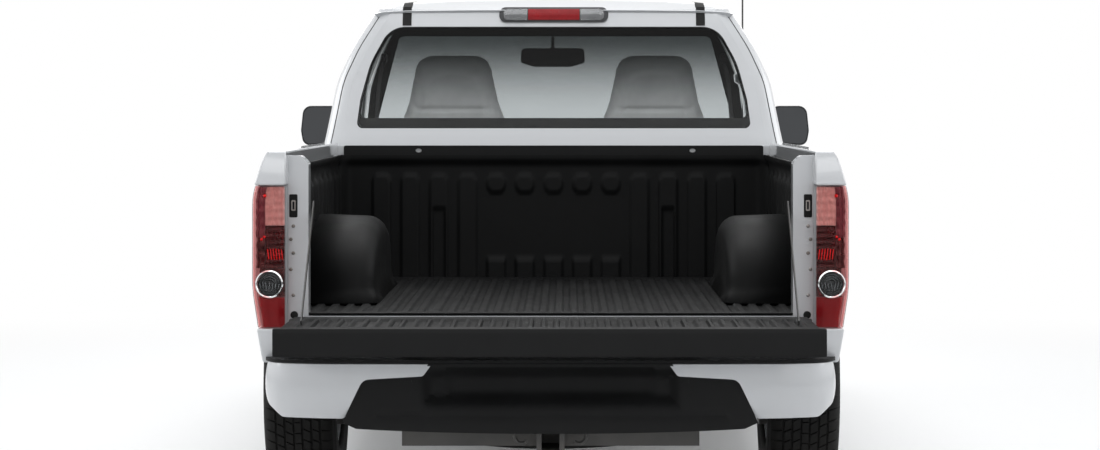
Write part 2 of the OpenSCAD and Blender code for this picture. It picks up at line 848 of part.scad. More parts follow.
module bed_side() {
    difference() {
        intersection() {
            block([inner_x, tail_y, 510], [half_w, bed_end_y, rail_z]);
            front_view(tail_y, bed_end_y) bed_outline();
            union() {
                side_view(0, half_w) polygon([[tail_y, 610], [tail_y + 8, 510],
                    [bed_end_y, 510], [bed_end_y, rail_z], [tail_y + 14, rail_z],
                    [tail_y, rail_z - 70]]);
            }
        }
        side_view(0, half_w + 1) translate([rear_axle_y, axle_z]) circle(r = arch_r, $fn = 180);
        lamp_box(0);
    }
    // Jamb beside the tailgate, with its foot
    block([inner_x - jamb_w, jamb_y, bed_floor_z], [inner_x, jamb_y + 70, rail_z - 14]);
    // Stud for the tailgate's stay
    bar_x(stay_x + stay_t + seat_gap, inner_x - jamb_w, jamb_y + 42, 950, 9);
    arch_flare(rear_axle_y);
}

// Room of a tail light at the rear corner
module lamp_box(gap) {
    block([inner_x, tail_y - 1, 610 - gap], [half_w + 20, jamb_y, 1020 + gap]);
}

module bed_sides() {
    color(paint) both_sides() bed_side();
}

module bed_front() {
    color(paint) block([-inner_x, bed_end_y - 40, bed_floor_z - 20], [inner_x, bed_end_y, rail_z - 11]);
}

module wheelhouses() {
    color(paint) both_sides() intersection() {
        difference() {
            side_view(house_x, inner_x) house_round(house_r);
            side_view(house_x + sheet, inner_x + 1) house_round(house_r - sheet);
        }
        block([0, rear_axle_y - 700, bed_floor_z - 20], [inner_x, rear_axle_y + 700, 1000]);
    }
}

module bed_liner() {
    top_z = rail_z - 42;
    color(plastic) {
        difference() {
            union() {
                block([-inner_x, floor_end_y, bed_floor_z],
                    [inner_x, bed_end_y - 40, liner_z]);
                block([-inner_x, bed_end_y - 40 - liner_t, liner_z],
                    [inner_x, bed_end_y - 40, top_z]);
                both_sides() block([inner_x - liner_t, jamb_y + 70, liner_z],
                    [inner_x, bed_end_y - 40 - liner_t, top_z]);
                both_sides() side_view(house_x - liner_t, inner_x) house_round(house_r + liner_t);
            }
            both_sides() side_view(house_x, inner_x + 1) house_round(house_r);
            block([-inner_x - 1, tail_y, -far], [inner_x + 1, bed_end_y, bed_floor_z]);
            block([inner_x - jamb_w, tail_y, 600], [inner_x + 1, jamb_y + 70, rail_z]);
            block([-inner_x - 1, tail_y, 600], [-inner_x + jamb_w, jamb_y + 70, rail_z]);
        }
    }
}

module tail_lights() {
    color(red) both_sides() intersection() {
        lamp_box(0);
        front_view(tail_y - 2, jamb_y + 1) bed_outline();
        side_view(0, half_w) polygon([[tail_y + 4, 600], [tail_y, 640], [tail_y, 1000],
            [tail_y + 5, 1030], [tail_y + 92, 1030], [tail_y + 92, 600]]);
    }
}

gate_top = gate_hinge_z + 33;
gate_y = tail_y - gate_reach;

module tailgate() {
    near_y = tail_y + gate_hinge_in - 8;
    x = gate_w / 2;
    color(plastic) {
        block([-x, gate_y, gate_top - gate_t], [x, near_y, gate_top]);
        // Hinge pins and the ears that hold them
        both_sides() {
            bar_x(x - 30, inner_x - seat_gap, tail_y + gate_hinge_in, gate_hinge_z, 11);
            bar_x(x - 40, x, tail_y + gate_hinge_in, gate_hinge_z, 24);
        }
    }
}

// Folding stay on each side, from the jamb to the gate
module tailgate_cables() {
    x = stay_x;
    color([0.08, 0.08, 0.08]) both_sides()
        side_view(x, x + stay_t) polygon([[jamb_y + 30, 965], [jamb_y + 54, 965],
            [tail_y - 262, gate_top], [tail_y - 290, gate_top]]);
}

bumper_y = tail_y - 120;

// Rear bumper seen from above, with round corners
module bumper_plan() {
    polygon(full([[half_w - 43, tail_y - 6], [half_w - 50, tail_y - 40],
        [half_w - 90, tail_y - 85], [half_w - 200, tail_y - 112], [half_w - 440, bumper_y],
        [0, bumper_y]]));
}

// Front-view outline of one painted bumper end with its arm
module bumper_end() {
    polygon([[300, 522], [300, 475], [525, 475], [580, 361], [half_w - 69, 361],
        [half_w - 43, 400], [half_w - 43, 522]]);
}

module rear_bumper() {
    color(paint) intersection() {
        difference() {
            both_sides() front_view(bumper_y, tail_y - 6) bumper_end();
            block([-half_w + 80, tail_y - 70, 300], [half_w - 80, tail_y + 30, 515]);
        }
        top_view(300, 600) bumper_plan();
    }
}

step_z = 522;

module bumper_step() {
    color(plastic) difference() {
        union() {
            // Top pad over the whole bumper
            intersection() {
                top_view(step_z, step_z + 8) bumper_plan();
                block([-half_w, bumper_y, step_z], [half_w, tail_y - 6, step_z + 8]);
            }
            // Centre below the pad
            intersection() {
                front_view(bumper_y, tail_y - 6) polygon([[-300, step_z], [300, step_z],
                    [300, 475], [520, 475], [572, 345], [520, 325], [-520, 325],
                    [-572, 345], [-520, 475], [-300, 475]]);
                top_view(300, 600) bumper_plan();
            }
        }
        // Plate recess and hollow back
        block([-372, bumper_y - 1, 392], [372, bumper_y + 30, 505]);
        block([-500, bumper_y + 60, 300], [500, tail_y, 500]);
        bar_z(300, 600, 0, bumper_y + 76, ball_hole_d / 2);
        both_sides() bar_y(bumper_y, bumper_y + 80, plate_hole_x, 470, 3.5);
    }
}

module hitch_receiver() {
    wall = 6;
    tube = socket_w + 2 * wall;
    z = 290;
    color([0.12, 0.12, 0.12]) difference() {
        union() {
            block([-tube / 2, tail_y - 20, z - tube / 2], [tube / 2, tail_y + 160, z + tube / 2]);
            block([-rail_out_x, tail_y + 80, z - 25], [rail_out_x, tail_y + 130, z + 25]);
            both_sides() block([rail_out_x - 12, tail_y + 80, z - 25],
                [rail_out_x, tail_y + 130, rail_low_z]);
            // Brackets from the rails to the bumper
            both_sides() block([rail_in_x, tail_y - 6, 470], [rail_out_x, tail_y + 60, 540]);
        }
        block([-socket_w / 2, tail_y - 21, z - socket_w / 2],
            [socket_w / 2, tail_y + 150, z + socket_w / 2]);
    }
}

// ---------- the whole truck ----------

frame_rails();
cross_members();
engine_block();
gearbox();
driveshaft();
rear_axle();
leaf_springs();
exhaust();
fuel_tank();
front_suspension();
cab_floor();
firewall();
cab_back();
cab_sides();
roof();
windscreen();
rear_window();
front_fenders();
radiator();
grille();
front_bumper();
headlights();
bed_floor();
bed_sides();
bed_front();
wheelhouses();
bed_liner();
tail_lights();
rear_bumper();
bumper_step();
hitch_receiver();
seats();
dashboard();
steering_wheel();
high_brake_light();
spare_tyre();
antenna();
hood();
tailgate();
tailgate_cables();
door_left();
door_right();
door_glass_left();
door_glass_right();
mirror_left();
mirror_right();
knuckle_left();
knuckle_right();
tie_rod();
tyre_front_left();
tyre_front_right();
tyre_rear_left();
tyre_rear_right();
rim_front_left();
rim_front_right();
rim_rear_left();
rim_rear_right();
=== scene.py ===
# %% [markdown]
# # A pickup truck around its construction model
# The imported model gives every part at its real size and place. This script loads it as a fixed
# frame and puts the finished surfaces on it: curved sheet metal, moulded plastic, lamps, glass,
# tyres and seats. Each step first says what the piece is on the real truck and how it is made.

# %% Load the frame
import bpy
import bmesh
import math
import json
import numpy as np
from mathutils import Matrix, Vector
from mathutils.geometry import delaunay_2d_cdt


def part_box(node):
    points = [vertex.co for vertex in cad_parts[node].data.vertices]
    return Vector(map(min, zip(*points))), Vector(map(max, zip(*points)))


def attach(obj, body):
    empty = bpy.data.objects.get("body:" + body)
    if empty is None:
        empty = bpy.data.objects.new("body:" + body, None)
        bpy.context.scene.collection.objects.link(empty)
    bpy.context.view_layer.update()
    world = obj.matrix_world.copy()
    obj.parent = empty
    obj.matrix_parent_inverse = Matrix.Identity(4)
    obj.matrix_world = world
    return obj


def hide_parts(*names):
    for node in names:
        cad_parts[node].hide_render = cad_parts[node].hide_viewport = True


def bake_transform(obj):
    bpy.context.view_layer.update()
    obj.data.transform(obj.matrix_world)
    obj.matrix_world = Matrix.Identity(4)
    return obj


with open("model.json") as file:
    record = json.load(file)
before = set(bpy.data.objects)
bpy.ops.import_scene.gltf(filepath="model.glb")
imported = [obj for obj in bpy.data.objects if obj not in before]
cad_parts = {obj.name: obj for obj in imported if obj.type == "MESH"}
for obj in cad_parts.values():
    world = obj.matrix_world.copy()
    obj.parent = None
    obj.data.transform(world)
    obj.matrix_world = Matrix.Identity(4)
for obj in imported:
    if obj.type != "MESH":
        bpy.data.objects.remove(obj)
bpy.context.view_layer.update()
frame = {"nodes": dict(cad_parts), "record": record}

# %% [markdown]
# A truck is drawn from a few reference lines. They are read from the frame, so the surfaces
# follow the construction: the tail plane, the axles, the cab's back, the cowl and the nose.
# Y runs forwards, X to the right-hand side and Z up, all in metres.

# %% Reference lines
def low(node):
    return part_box(node)[0]


def high(node):
    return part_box(node)[1]


TAIL = low("bed_sides")[1]
BED_END = high("bed_sides")[1]
CAB = low("cab_back")[1]
REAR_AXLE = (low("tyre_rear_left")[1] + high("tyre_rear_left")[1]) / 2
FRONT_AXLE = (low("tyre_front_left")[1] + high("tyre_front_left")[1]) / 2
NOSE = high("front_bumper")[1]
DOOR_FRONT = high("door_right")[1]
HALF_W = high("tail_lights")[0]
AXLE_Z = (low("tyre_rear_left")[2] + high("tyre_rear_left")[2]) / 2
TYRE_R = AXLE_Z - low("tyre_rear_left")[2]
WHEEL_X = (low("tyre_rear_right")[0] + high("tyre_rear_right")[0]) / 2
ROOF_Z = high("roof")[2]
COWL = low("firewall")[1]
SCREEN_BASE = COWL + 0.053
SCREEN_TOP = COWL - 0.597
HOOD_REAR = COWL + 0.113
ARCH_R = TYRE_R + 0.055
GATE_END = low("tailgate")[1]
GATE_TOP = high("tailgate")[2]
SIDES = ((1, "right"), (-1, "left"))
print("tail %.3f, cab %.3f, axles %.3f %.3f, nose %.3f" % (TAIL, CAB, REAR_AXLE, FRONT_AXLE, NOSE))

# %% [markdown]
# A studio picture needs a pale floor, a plain background and soft light. The floor and the world
# answer the camera, mirrors and glass with white through Light Path, while the light that
# falls on the truck stays at a plain level. A long lens far behind the truck keeps its edges
# almost parallel, and a vertical shift looks a little down without tilting the camera.

# %% Camera and stage
scene = bpy.context.scene
scene.view_settings.view_transform = "Standard"


def add_object(name, data):
    made = bpy.data.objects.new(name, data)
    scene.collection.objects.link(made)
    return made


lens_data = bpy.data.cameras.new("camera")
lens_data.lens = 96.0
lens_data.sensor_width = 36.0
lens_data.shift_x = -0.0154
lens_data.shift_y = -0.109
lens_data.clip_end = 200
camera = add_object("camera", lens_data)
camera.location = (0.047, TAIL - 8.4, 1.25)
camera.rotation_euler = (math.radians(90), 0, 0)
scene.camera = camera


def seen_white(tree, shader, white_strength):
    """Shows plain white to the camera, mirrors and glass, and the shader to everything else."""
    nodes, links = tree.nodes, tree.links
    path = nodes.new("ShaderNodeLightPath")
    either = nodes.new("ShaderNodeMath")
    either.operation = "MAXIMUM"
    links.new(path.outputs["Is Camera Ray"], either.inputs[0])
    links.new(path.outputs["Is Glossy Ray"], either.inputs[1])
    any_ray = nodes.new("ShaderNodeMath")
    any_ray.operation = "MAXIMUM"
    links.new(either.outputs[0], any_ray.inputs[0])
    links.new(path.outputs["Is Transmission Ray"], any_ray.inputs[1])
    white = nodes.new("ShaderNodeBackground")
    white.inputs["Color"].default_value = (1, 1, 1, 1)
    white.inputs["Strength"].default_value = white_strength
    mix = nodes.new("ShaderNodeMixShader")
    links.new(any_ray.outputs[0], mix.inputs[0])
    links.new(shader.outputs[0], mix.inputs[1])
    links.new(white.outputs[0], mix.inputs[2])
    return mix

# %% [markdown]
# The sky gives a soft, even light. The floor is a wide flat sheet. Towards its far parts plain
# white is mixed in for the camera, so that no horizon line shows behind the truck.

# %% Sky and floor
world = bpy.data.worlds.new("studio")
world.use_nodes = True
scene.world = world
soft_sky = world.node_tree.nodes["Background"]
soft_sky.inputs["Color"].default_value = (0.96, 0.98, 1.0, 1)
soft_sky.inputs["Strength"].default_value = 0.48
sky_mix = seen_white(world.node_tree, soft_sky, 1.0)
world.node_tree.links.new(sky_mix.outputs[0], world.node_tree.nodes["World Output"].inputs[0])

floor_mesh = bpy.data.meshes.new("floor")
reach = 40.0
floor_mesh.from_pydata([(-reach, -reach, 0), (reach, -reach, 0), (reach, reach, 0), (-reach, reach, 0)],
                       [], [(0, 1, 2, 3)])
floor = add_object("floor", floor_mesh)
floor_paint = bpy.data.materials.new("floor_paint")
floor_paint.use_nodes = True
floor_paint.node_tree.nodes["Principled BSDF"].inputs["Base Color"].default_value = (0.86, 0.86, 0.86, 1)
floor_paint.node_tree.nodes["Principled BSDF"].inputs["Roughness"].default_value = 0.7
floor_tree = floor_paint.node_tree
floor_place = floor_tree.nodes.new("ShaderNodeTexCoord")
floor_reach = floor_tree.nodes.new("ShaderNodeVectorMath")
floor_reach.operation = "LENGTH"
floor_tree.links.new(floor_place.outputs["Object"], floor_reach.inputs[0])
floor_fade = floor_tree.nodes.new("ShaderNodeMapRange")
floor_fade.interpolation_type = "SMOOTHSTEP"
floor_fade.inputs["From Min"].default_value = 3.2
floor_fade.inputs["From Max"].default_value = 7.5
floor_tree.links.new(floor_reach.outputs["Value"], floor_fade.inputs["Value"])
floor_path = floor_tree.nodes.new("ShaderNodeLightPath")
floor_seen = floor_tree.nodes.new("ShaderNodeMath")
floor_seen.operation = "MAXIMUM"
floor_tree.links.new(floor_path.outputs["Is Camera Ray"], floor_seen.inputs[0])
floor_tree.links.new(floor_path.outputs["Is Transmission Ray"], floor_seen.inputs[1])
floor_share = floor_tree.nodes.new("ShaderNodeMath")
floor_share.operation = "MULTIPLY"
floor_tree.links.new(floor_fade.outputs[0], floor_share.inputs[0])
floor_tree.links.new(floor_seen.outputs[0], floor_share.inputs[1])
floor_white = floor_tree.nodes.new("ShaderNodeEmission")
floor_white.inputs["Strength"].default_value = 1.0
floor_mix = floor_tree.nodes.new("ShaderNodeMixShader")
floor_tree.links.new(floor_share.outputs[0], floor_mix.inputs[0])
floor_tree.links.new(floor_tree.nodes["Principled BSDF"].outputs[0], floor_mix.inputs[1])
floor_tree.links.new(floor_white.outputs[0], floor_mix.inputs[2])
floor_tree.links.new(floor_mix.outputs[0], floor_tree.nodes["Material Output"].inputs[0])
floor_mesh.materials.append(floor_paint)

# %% [markdown]
# Large square lamps stand above and around the truck. A large lamp gives soft shadows and long,
# calm reflections in the paint.

# %% Lamps
def soft_box(name, place, aim, size, power):
    """A square lamp that points from place to aim."""
    data = bpy.data.lights.new(name, "AREA")
    data.shape = "RECTANGLE"
    data.size, data.size_y = size
    data.energy = power
    lamp = add_object(name, data)
    lamp.location = place
    lamp.rotation_euler = (Vector(aim) - Vector(place)).to_track_quat("-Z", "Y").to_euler()


soft_box("top_light", (0, 0, 6.5), (0, 0, 0), (5, 9), 255)
soft_box("rear_light", (0.5, TAIL - 7, 3.8), (0, TAIL, 0.9), (7, 3), 100)
soft_box("left_light", (-6.5, 0, 3.2), (0, 0, 0.8), (8, 3), 150)
soft_box("right_light", (6.5, 0, 3.2), (0, 0, 0.8), (8, 3), 130)
soft_box("front_light", (0, NOSE + 6, 3.6), (0, NOSE, 0.8), (6, 3), 130)
print("camera at", [round(v, 3) for v in camera.location])

# %% [markdown]
# Three effects turn up in many finishes of a truck: the fine grain of moulded plastic and
# leather, slow cloudy variation where a surface was handled or rained on, and dust that settles
# low down. Each is a node group with named inputs, built once, so that every material can use
# it with its own strength. The groups only put out heights, masks and colours.

# %% Shared shader groups
def new_group(name, inputs, outputs):
    group = bpy.data.node_groups.new(name, "ShaderNodeTree")
    for label, kind, value in inputs:
        socket = group.interface.new_socket(label, in_out="INPUT", socket_type=kind)
        socket.default_value = value
    for label, kind in outputs:
        group.interface.new_socket(label, in_out="OUTPUT", socket_type=kind)
    return group, group.nodes.new("NodeGroupInput"), group.nodes.new("NodeGroupOutput")


def noise_node(tree, scale, detail=3.0, source=None):
    noise = tree.nodes.new("ShaderNodeTexNoise")
    noise.inputs["Scale"].default_value = scale
    noise.inputs["Detail"].default_value = detail
    if source is not None:
        tree.links.new(source, noise.inputs["Vector"])
    return noise

# %% [markdown]
# Moulded grain is a height: small rounded cells like pebbles, with a finer noise over them.

# %% Grain group
def make_grain_group():
    """Leathery pebble height: small rounded cells with a finer noise over them."""
    group, inside, outside = new_group("moulded_grain", [("Scale", "NodeSocketFloat", 900.0)],
                                       [("Height", "NodeSocketFloat")])
    place = group.nodes.new("ShaderNodeTexCoord")
    cells = group.nodes.new("ShaderNodeTexVoronoi")
    cells.feature = "SMOOTH_F1"
    group.links.new(place.outputs["Object"], cells.inputs["Vector"])
    group.links.new(inside.outputs["Scale"], cells.inputs["Scale"])
    fine = noise_node(group, 2500.0, 2.0, place.outputs["Object"])
    add = group.nodes.new("ShaderNodeMath")
    add.operation = "MULTIPLY_ADD"
    group.links.new(fine.outputs["Fac"], add.inputs[0])
    add.inputs[1].default_value = 0.35
    group.links.new(cells.outputs["Distance"], add.inputs[2])
    group.links.new(add.outputs[0], outside.inputs["Height"])
    return group

# %% [markdown]
# A cloudy finish mixes two close colours by a slow noise, and its roughness wanders with the same
# noise.

# %% Cloudy finish group
def make_cloud_group():
    """Two colours mixed by a slow noise, and a roughness that wanders with it."""
    group, inside, outside = new_group(
        "cloudy_finish",
        [("Base", "NodeSocketColor", (0.5, 0.5, 0.5, 1)), ("Other", "NodeSocketColor", (0.4, 0.4, 0.4, 1)),
         ("Scale", "NodeSocketFloat", 6.0), ("Roughness", "NodeSocketFloat", 0.5),
         ("Spread", "NodeSocketFloat", 0.1)],
        [("Color", "NodeSocketColor"), ("Roughness", "NodeSocketFloat")])
    place = group.nodes.new("ShaderNodeTexCoord")
    noise = noise_node(group, 6.0, 5.0, place.outputs["Object"])
    group.links.new(inside.outputs["Scale"], noise.inputs["Scale"])
    ramp = group.nodes.new("ShaderNodeMapRange")
    ramp.inputs["From Min"].default_value = 0.35
    ramp.inputs["From Max"].default_value = 0.68
    group.links.new(noise.outputs["Fac"], ramp.inputs["Value"])
    mix = group.nodes.new("ShaderNodeMix")
    mix.data_type = "RGBA"
    group.links.new(ramp.outputs[0], mix.inputs[0])
    group.links.new(inside.outputs["Base"], mix.inputs[6])
    group.links.new(inside.outputs["Other"], mix.inputs[7])
    group.links.new(mix.outputs[2], outside.inputs["Color"])
    centred = group.nodes.new("ShaderNodeMath")
    centred.operation = "SUBTRACT"
    group.links.new(ramp.outputs[0], centred.inputs[0])
    centred.inputs[1].default_value = 0.5
    wander = group.nodes.new("ShaderNodeMath")
    wander.operation = "MULTIPLY_ADD"
    group.links.new(centred.outputs[0], wander.inputs[0])
    group.links.new(inside.outputs["Spread"], wander.inputs[1])
    group.links.new(inside.outputs["Roughness"], wander.inputs[2])
    group.links.new(wander.outputs[0], outside.inputs["Roughness"])
    return group

# %% [markdown]
# Dust is a pale colour that is strongest near the ground and fades with height. A noise breaks it
# up.

# %% Road dust group
def make_dust_group():
    """A colour that turns to pale road dust near the ground, broken up by noise."""
    group, inside, outside = new_group(
        "road_dust",
        [("Color", "NodeSocketColor", (0.1, 0.1, 0.1, 1)), ("Amount", "NodeSocketFloat", 0.3),
         ("Top", "NodeSocketFloat", 0.6)],
        [("Color", "NodeSocketColor")])
    place = group.nodes.new("ShaderNodeTexCoord")
    split = group.nodes.new("ShaderNodeSeparateXYZ")
    group.links.new(place.outputs["Object"], split.inputs[0])
    height = group.nodes.new("ShaderNodeMapRange")
    height.inputs["From Min"].default_value = 0.0
    height.inputs["To Min"].default_value = 1.0
    height.inputs["To Max"].default_value = 0.0
    group.links.new(split.outputs["Z"], height.inputs["Value"])
    group.links.new(inside.outputs["Top"], height.inputs["From Max"])
    noise = noise_node(group, 9.0, 6.0, place.outputs["Object"])
    patchy = group.nodes.new("ShaderNodeMath")
    patchy.operation = "MULTIPLY"
    group.links.new(height.outputs[0], patchy.inputs[0])
    group.links.new(noise.outputs["Fac"], patchy.inputs[1])
    amount = group.nodes.new("ShaderNodeMath")
    amount.operation = "MULTIPLY"
    group.links.new(patchy.outputs[0], amount.inputs[0])
    group.links.new(inside.outputs["Amount"], amount.inputs[1])
    mix = group.nodes.new("ShaderNodeMix")
    mix.data_type = "RGBA"
    group.links.new(amount.outputs[0], mix.inputs[0])
    group.links.new(inside.outputs["Color"], mix.inputs[6])
    mix.inputs[7].default_value = (0.30, 0.28, 0.25, 1)
    group.links.new(mix.outputs[2], outside.inputs["Color"])
    return group


GRAIN = make_grain_group()
CLOUD = make_cloud_group()
DUST = make_dust_group()
print("shader groups:", [group.name for group in (GRAIN, CLOUD, DUST)])

# %% [markdown]
# Every finish starts from the same few steps: a Principled shader, a cloudy colour, and a bump
# from a height. One helper does them, with each constant set on the shader's own socket, and
# the rest of a finish is added to what it returns.

# %% Finish helper
def finish(name, color, roughness, other=None, cloud_scale=5.0, spread=0.08, metallic=0.0,
           grain=0.0, grain_scale=900.0, dust=0.0, dust_top=0.7, **constants):
    """A material with cloudy colour, optional moulded grain and optional dust."""
    made = bpy.data.materials.new(name)
    made.use_nodes = True
    tree = made.node_tree
    shader = tree.nodes["Principled BSDF"]
    shader.inputs["Metallic"].default_value = metallic
    for socket, value in constants.items():
        shader.inputs[socket.replace("_", " ").title().replace("Ior", "IOR")].default_value = value
    cloud = tree.nodes.new("ShaderNodeGroup")
    cloud.node_tree = CLOUD
    shade = other if other else tuple(c * 0.82 for c in color)
    cloud.inputs["Base"].default_value = (*color, 1)
    cloud.inputs["Other"].default_value = (*shade, 1)
    cloud.inputs["Scale"].default_value = cloud_scale
    cloud.inputs["Roughness"].default_value = roughness
    cloud.inputs["Spread"].default_value = spread
    tinted = cloud.outputs["Color"]
    if dust > 0:
        dusty = tree.nodes.new("ShaderNodeGroup")
        dusty.node_tree = DUST
        dusty.inputs["Amount"].default_value = dust
        dusty.inputs["Top"].default_value = dust_top
        tree.links.new(tinted, dusty.inputs["Color"])
        tinted = dusty.outputs["Color"]
    tree.links.new(tinted, shader.inputs["Base Color"])
    tree.links.new(cloud.outputs["Roughness"], shader.inputs["Roughness"])
    if grain > 0:
        pebbles = tree.nodes.new("ShaderNodeGroup")
        pebbles.node_tree = GRAIN
        pebbles.inputs["Scale"].default_value = grain_scale
        bump = tree.nodes.new("ShaderNodeBump")
        bump.inputs["Strength"].default_value = grain
        bump.inputs["Distance"].default_value = 0.001
        tree.links.new(pebbles.outputs["Height"], bump.inputs["Height"])
        tree.links.new(bump.outputs[0], shader.inputs["Normal"])
    return made


# %% [markdown]
# Body paint is a pale silver white under clear coat. Real coats show a very fine flake and a
# slight orange peel, so a fine noise over a broader one makes a low bump that bends the
# reflections a little, while the roughness wanders slowly with the cloudy colour. Bare and painted
# chassis metal, castings, plastics, rubber, glass and lamp lenses follow, each with the roughness and grain
# of the real one.

# %% Finishes
def paint_finish(name, color):
    made = finish(name, color, 0.30, other=tuple(c * 0.985 for c in color), cloud_scale=3.0, spread=0.05,
                  metallic=0.12, dust=0.10, dust_top=0.55, coat_weight=1.0, coat_roughness=0.04)
    tree = made.node_tree
    place = tree.nodes.new("ShaderNodeTexCoord")
    peel = noise_node(tree, 160.0, 1.0, place.outputs["Object"])
    flake = noise_node(tree, 4200.0, 1.0, place.outputs["Object"])
    blend = tree.nodes.new("ShaderNodeMath")
    blend.operation = "MULTIPLY_ADD"
    tree.links.new(flake.outputs["Fac"], blend.inputs[0])
    blend.inputs[1].default_value = 0.2
    tree.links.new(peel.outputs["Fac"], blend.inputs[2])
    bump = tree.nodes.new("ShaderNodeBump")
    bump.inputs["Strength"].default_value = 0.025
    bump.inputs["Distance"].default_value = 0.001
    tree.links.new(blend.outputs[0], bump.inputs["Height"])
    tree.links.new(bump.outputs[0], tree.nodes["Principled BSDF"].inputs["Normal"])
    return made

# %% [markdown]
# Glass passes light and is tinted. Faint streaks make its roughness uneven, and a second colour
# can darken the glass towards the top as painted shade, for the shade in the top of the rear window.

# %% Glass finish
def glass_finish(name, color, roughness=0.0, top=None, low_z=1.18, high_z=1.50, ior=1.45):
    """Tinted glass with faint streaks; with a top colour, painted shade darkens the glass with height."""
    made = bpy.data.materials.new(name)
    made.use_nodes = True
    tree = made.node_tree
    shader = tree.nodes["Principled BSDF"]
    shader.inputs["Transmission Weight"].default_value = 1.0
    shader.inputs["IOR"].default_value = ior
    place = tree.nodes.new("ShaderNodeTexCoord")
    streaks = noise_node(tree, 7.0, 6.0, place.outputs["Object"])
    spread = tree.nodes.new("ShaderNodeMapRange")
    spread.inputs["To Min"].default_value = roughness
    spread.inputs["To Max"].default_value = roughness + 0.004
    tree.links.new(streaks.outputs["Fac"], spread.inputs["Value"])
    tree.links.new(spread.outputs[0], shader.inputs["Roughness"])
    tint_and_painted_shade = tree.nodes.new("ShaderNodeMix")
    tint_and_painted_shade.data_type = "RGBA"
    tint_and_painted_shade.inputs[6].default_value = (*color, 1)
    tint_and_painted_shade.inputs[7].default_value = (*(top or [c * 0.95 for c in color]), 1)
    # A top colour is painted shade: the glass darkens towards the top, where the rear window is shaded.
    if top:
        split = tree.nodes.new("ShaderNodeSeparateXYZ")
        rise = tree.nodes.new("ShaderNodeMapRange")
        rise.interpolation_type = "SMOOTHSTEP"
        rise.inputs["From Min"].default_value = low_z
        rise.inputs["From Max"].default_value = high_z
        tree.links.new(place.outputs["Object"], split.inputs[0])
        tree.links.new(split.outputs["Z"], rise.inputs["Value"])
        tree.links.new(rise.outputs[0], tint_and_painted_shade.inputs[0])
    else:
        tree.links.new(streaks.outputs["Fac"], tint_and_painted_shade.inputs[0])
    tree.links.new(tint_and_painted_shade.outputs[2], shader.inputs["Base Color"])
    return made

# %% [markdown]
# The main finishes of the truck are made here, each once, with its own colour and roughness, and grain and
# dust where it has them.

# %% Finishes in use
paint = paint_finish("body_paint", (0.60, 0.615, 0.635))
liner_plastic = finish("liner_plastic", (0.0060, 0.0062, 0.0064), 0.55, other=(0.0090, 0.0092, 0.0094),
                       cloud_scale=4.0, spread=0.14, grain=0.25, grain_scale=700.0, specular_ior_level=0.10)
trim_plastic = finish("trim_plastic", (0.0050, 0.0052, 0.0055), 0.55, other=(0.0075, 0.0078, 0.0082),
                      grain=0.3, dust=0.02, specular_ior_level=0.16)
mirror_plastic = finish("mirror_plastic", (0.028, 0.029, 0.032), 0.42, grain=0.25)
cabin_plastic = finish("cabin_plastic", (0.075, 0.075, 0.08), 0.6, grain=0.4, grain_scale=650.0)
headliner = finish("headliner_cloth", (0.55, 0.55, 0.54), 0.9, cloud_scale=12.0, grain=0.5,
                   grain_scale=1500.0)
seal_rubber = finish("seal_rubber", (0.012, 0.012, 0.012), 0.7, grain=0.2, specular_ior_level=0.25)
tyre_rubber = finish("tyre_rubber", (0.008, 0.008, 0.008), 0.75, other=(0.013, 0.0127, 0.012),
                     cloud_scale=9.0, grain=0.35, grain_scale=1200.0, dust=0.12, dust_top=0.25,
                     specular_ior_level=0.2)
chassis_black = finish("chassis_black", (0.035, 0.035, 0.036), 0.45, other=(0.05, 0.048, 0.045), dust=0.5)
chassis_steel = finish("chassis_steel", (0.30, 0.29, 0.28), 0.45, other=(0.20, 0.18, 0.16), metallic=0.9,
                       cloud_scale=14.0, spread=0.25)
cast_metal = finish("cast_metal", (0.20, 0.20, 0.20), 0.6, other=(0.15, 0.14, 0.13), metallic=0.7,
                    cloud_scale=20.0, grain=0.6, grain_scale=420.0)
cast_alloy = finish("cast_alloy", (0.50, 0.50, 0.50), 0.5, metallic=0.85, grain=0.5, grain_scale=420.0)
exhaust_steel = finish("exhaust_steel", (0.42, 0.39, 0.35), 0.4, other=(0.27, 0.22, 0.18), metallic=1.0,
                       cloud_scale=10.0, spread=0.3)
wheel_alloy = finish("wheel_alloy", (0.62, 0.63, 0.64), 0.28, other=(0.57, 0.58, 0.59), metallic=0.75,
                     coat_weight=0.8, coat_roughness=0.08)
chrome = finish("bright_reflector", (0.86, 0.87, 0.88), 0.08, other=(0.80, 0.81, 0.82), metallic=1.0,
                spread=0.05)
window_glass = glass_finish("window_glass", (0.52, 0.55, 0.56))
lamp_clear = glass_finish("lamp_clear", (0.95, 0.96, 0.97))
lamp_red = glass_finish("lamp_red", (0.90, 0.54, 0.53), ior=1.15)
red_reflector = finish("red_reflector", (0.30, 0.006, 0.010), 0.3, other=(0.22, 0.004, 0.007),
                       cloud_scale=30.0, specular_ior_level=0.2)

# %% [markdown]
# Every piece of the construction model gets the finish of its slot, so that the pieces that stay
# visible match the finished surfaces beside them.

# %% Finishes on the construction model
SLOTS = {"body_paint": paint, "chassis_black": chassis_black, "chassis_steel": chassis_steel,
         "cast_metal": cast_metal, "cast_alloy": cast_alloy, "exhaust_steel": exhaust_steel,
         "tank_black": chassis_black, "radiator_black": chassis_black, "trim_plastic": trim_plastic,
         "liner_plastic": liner_plastic, "mirror_plastic": mirror_plastic, "cabin_plastic": cabin_plastic,
         "stay_black": chassis_black, "antenna_black": chassis_black, "lamp_red": lamp_red,
         "lamp_clear": lamp_clear, "window_glass": window_glass, "seat_fabric": headliner,
         "tyre_rubber": tyre_rubber, "wheel_alloy": wheel_alloy}
for row in frame["record"]["subparts"]:
    shown = frame["nodes"][row["node"]]
    shown.data.materials.clear()
    shown.data.materials.append(SLOTS[row["material_slot"]])
print("finishes:", len(bpy.data.materials))

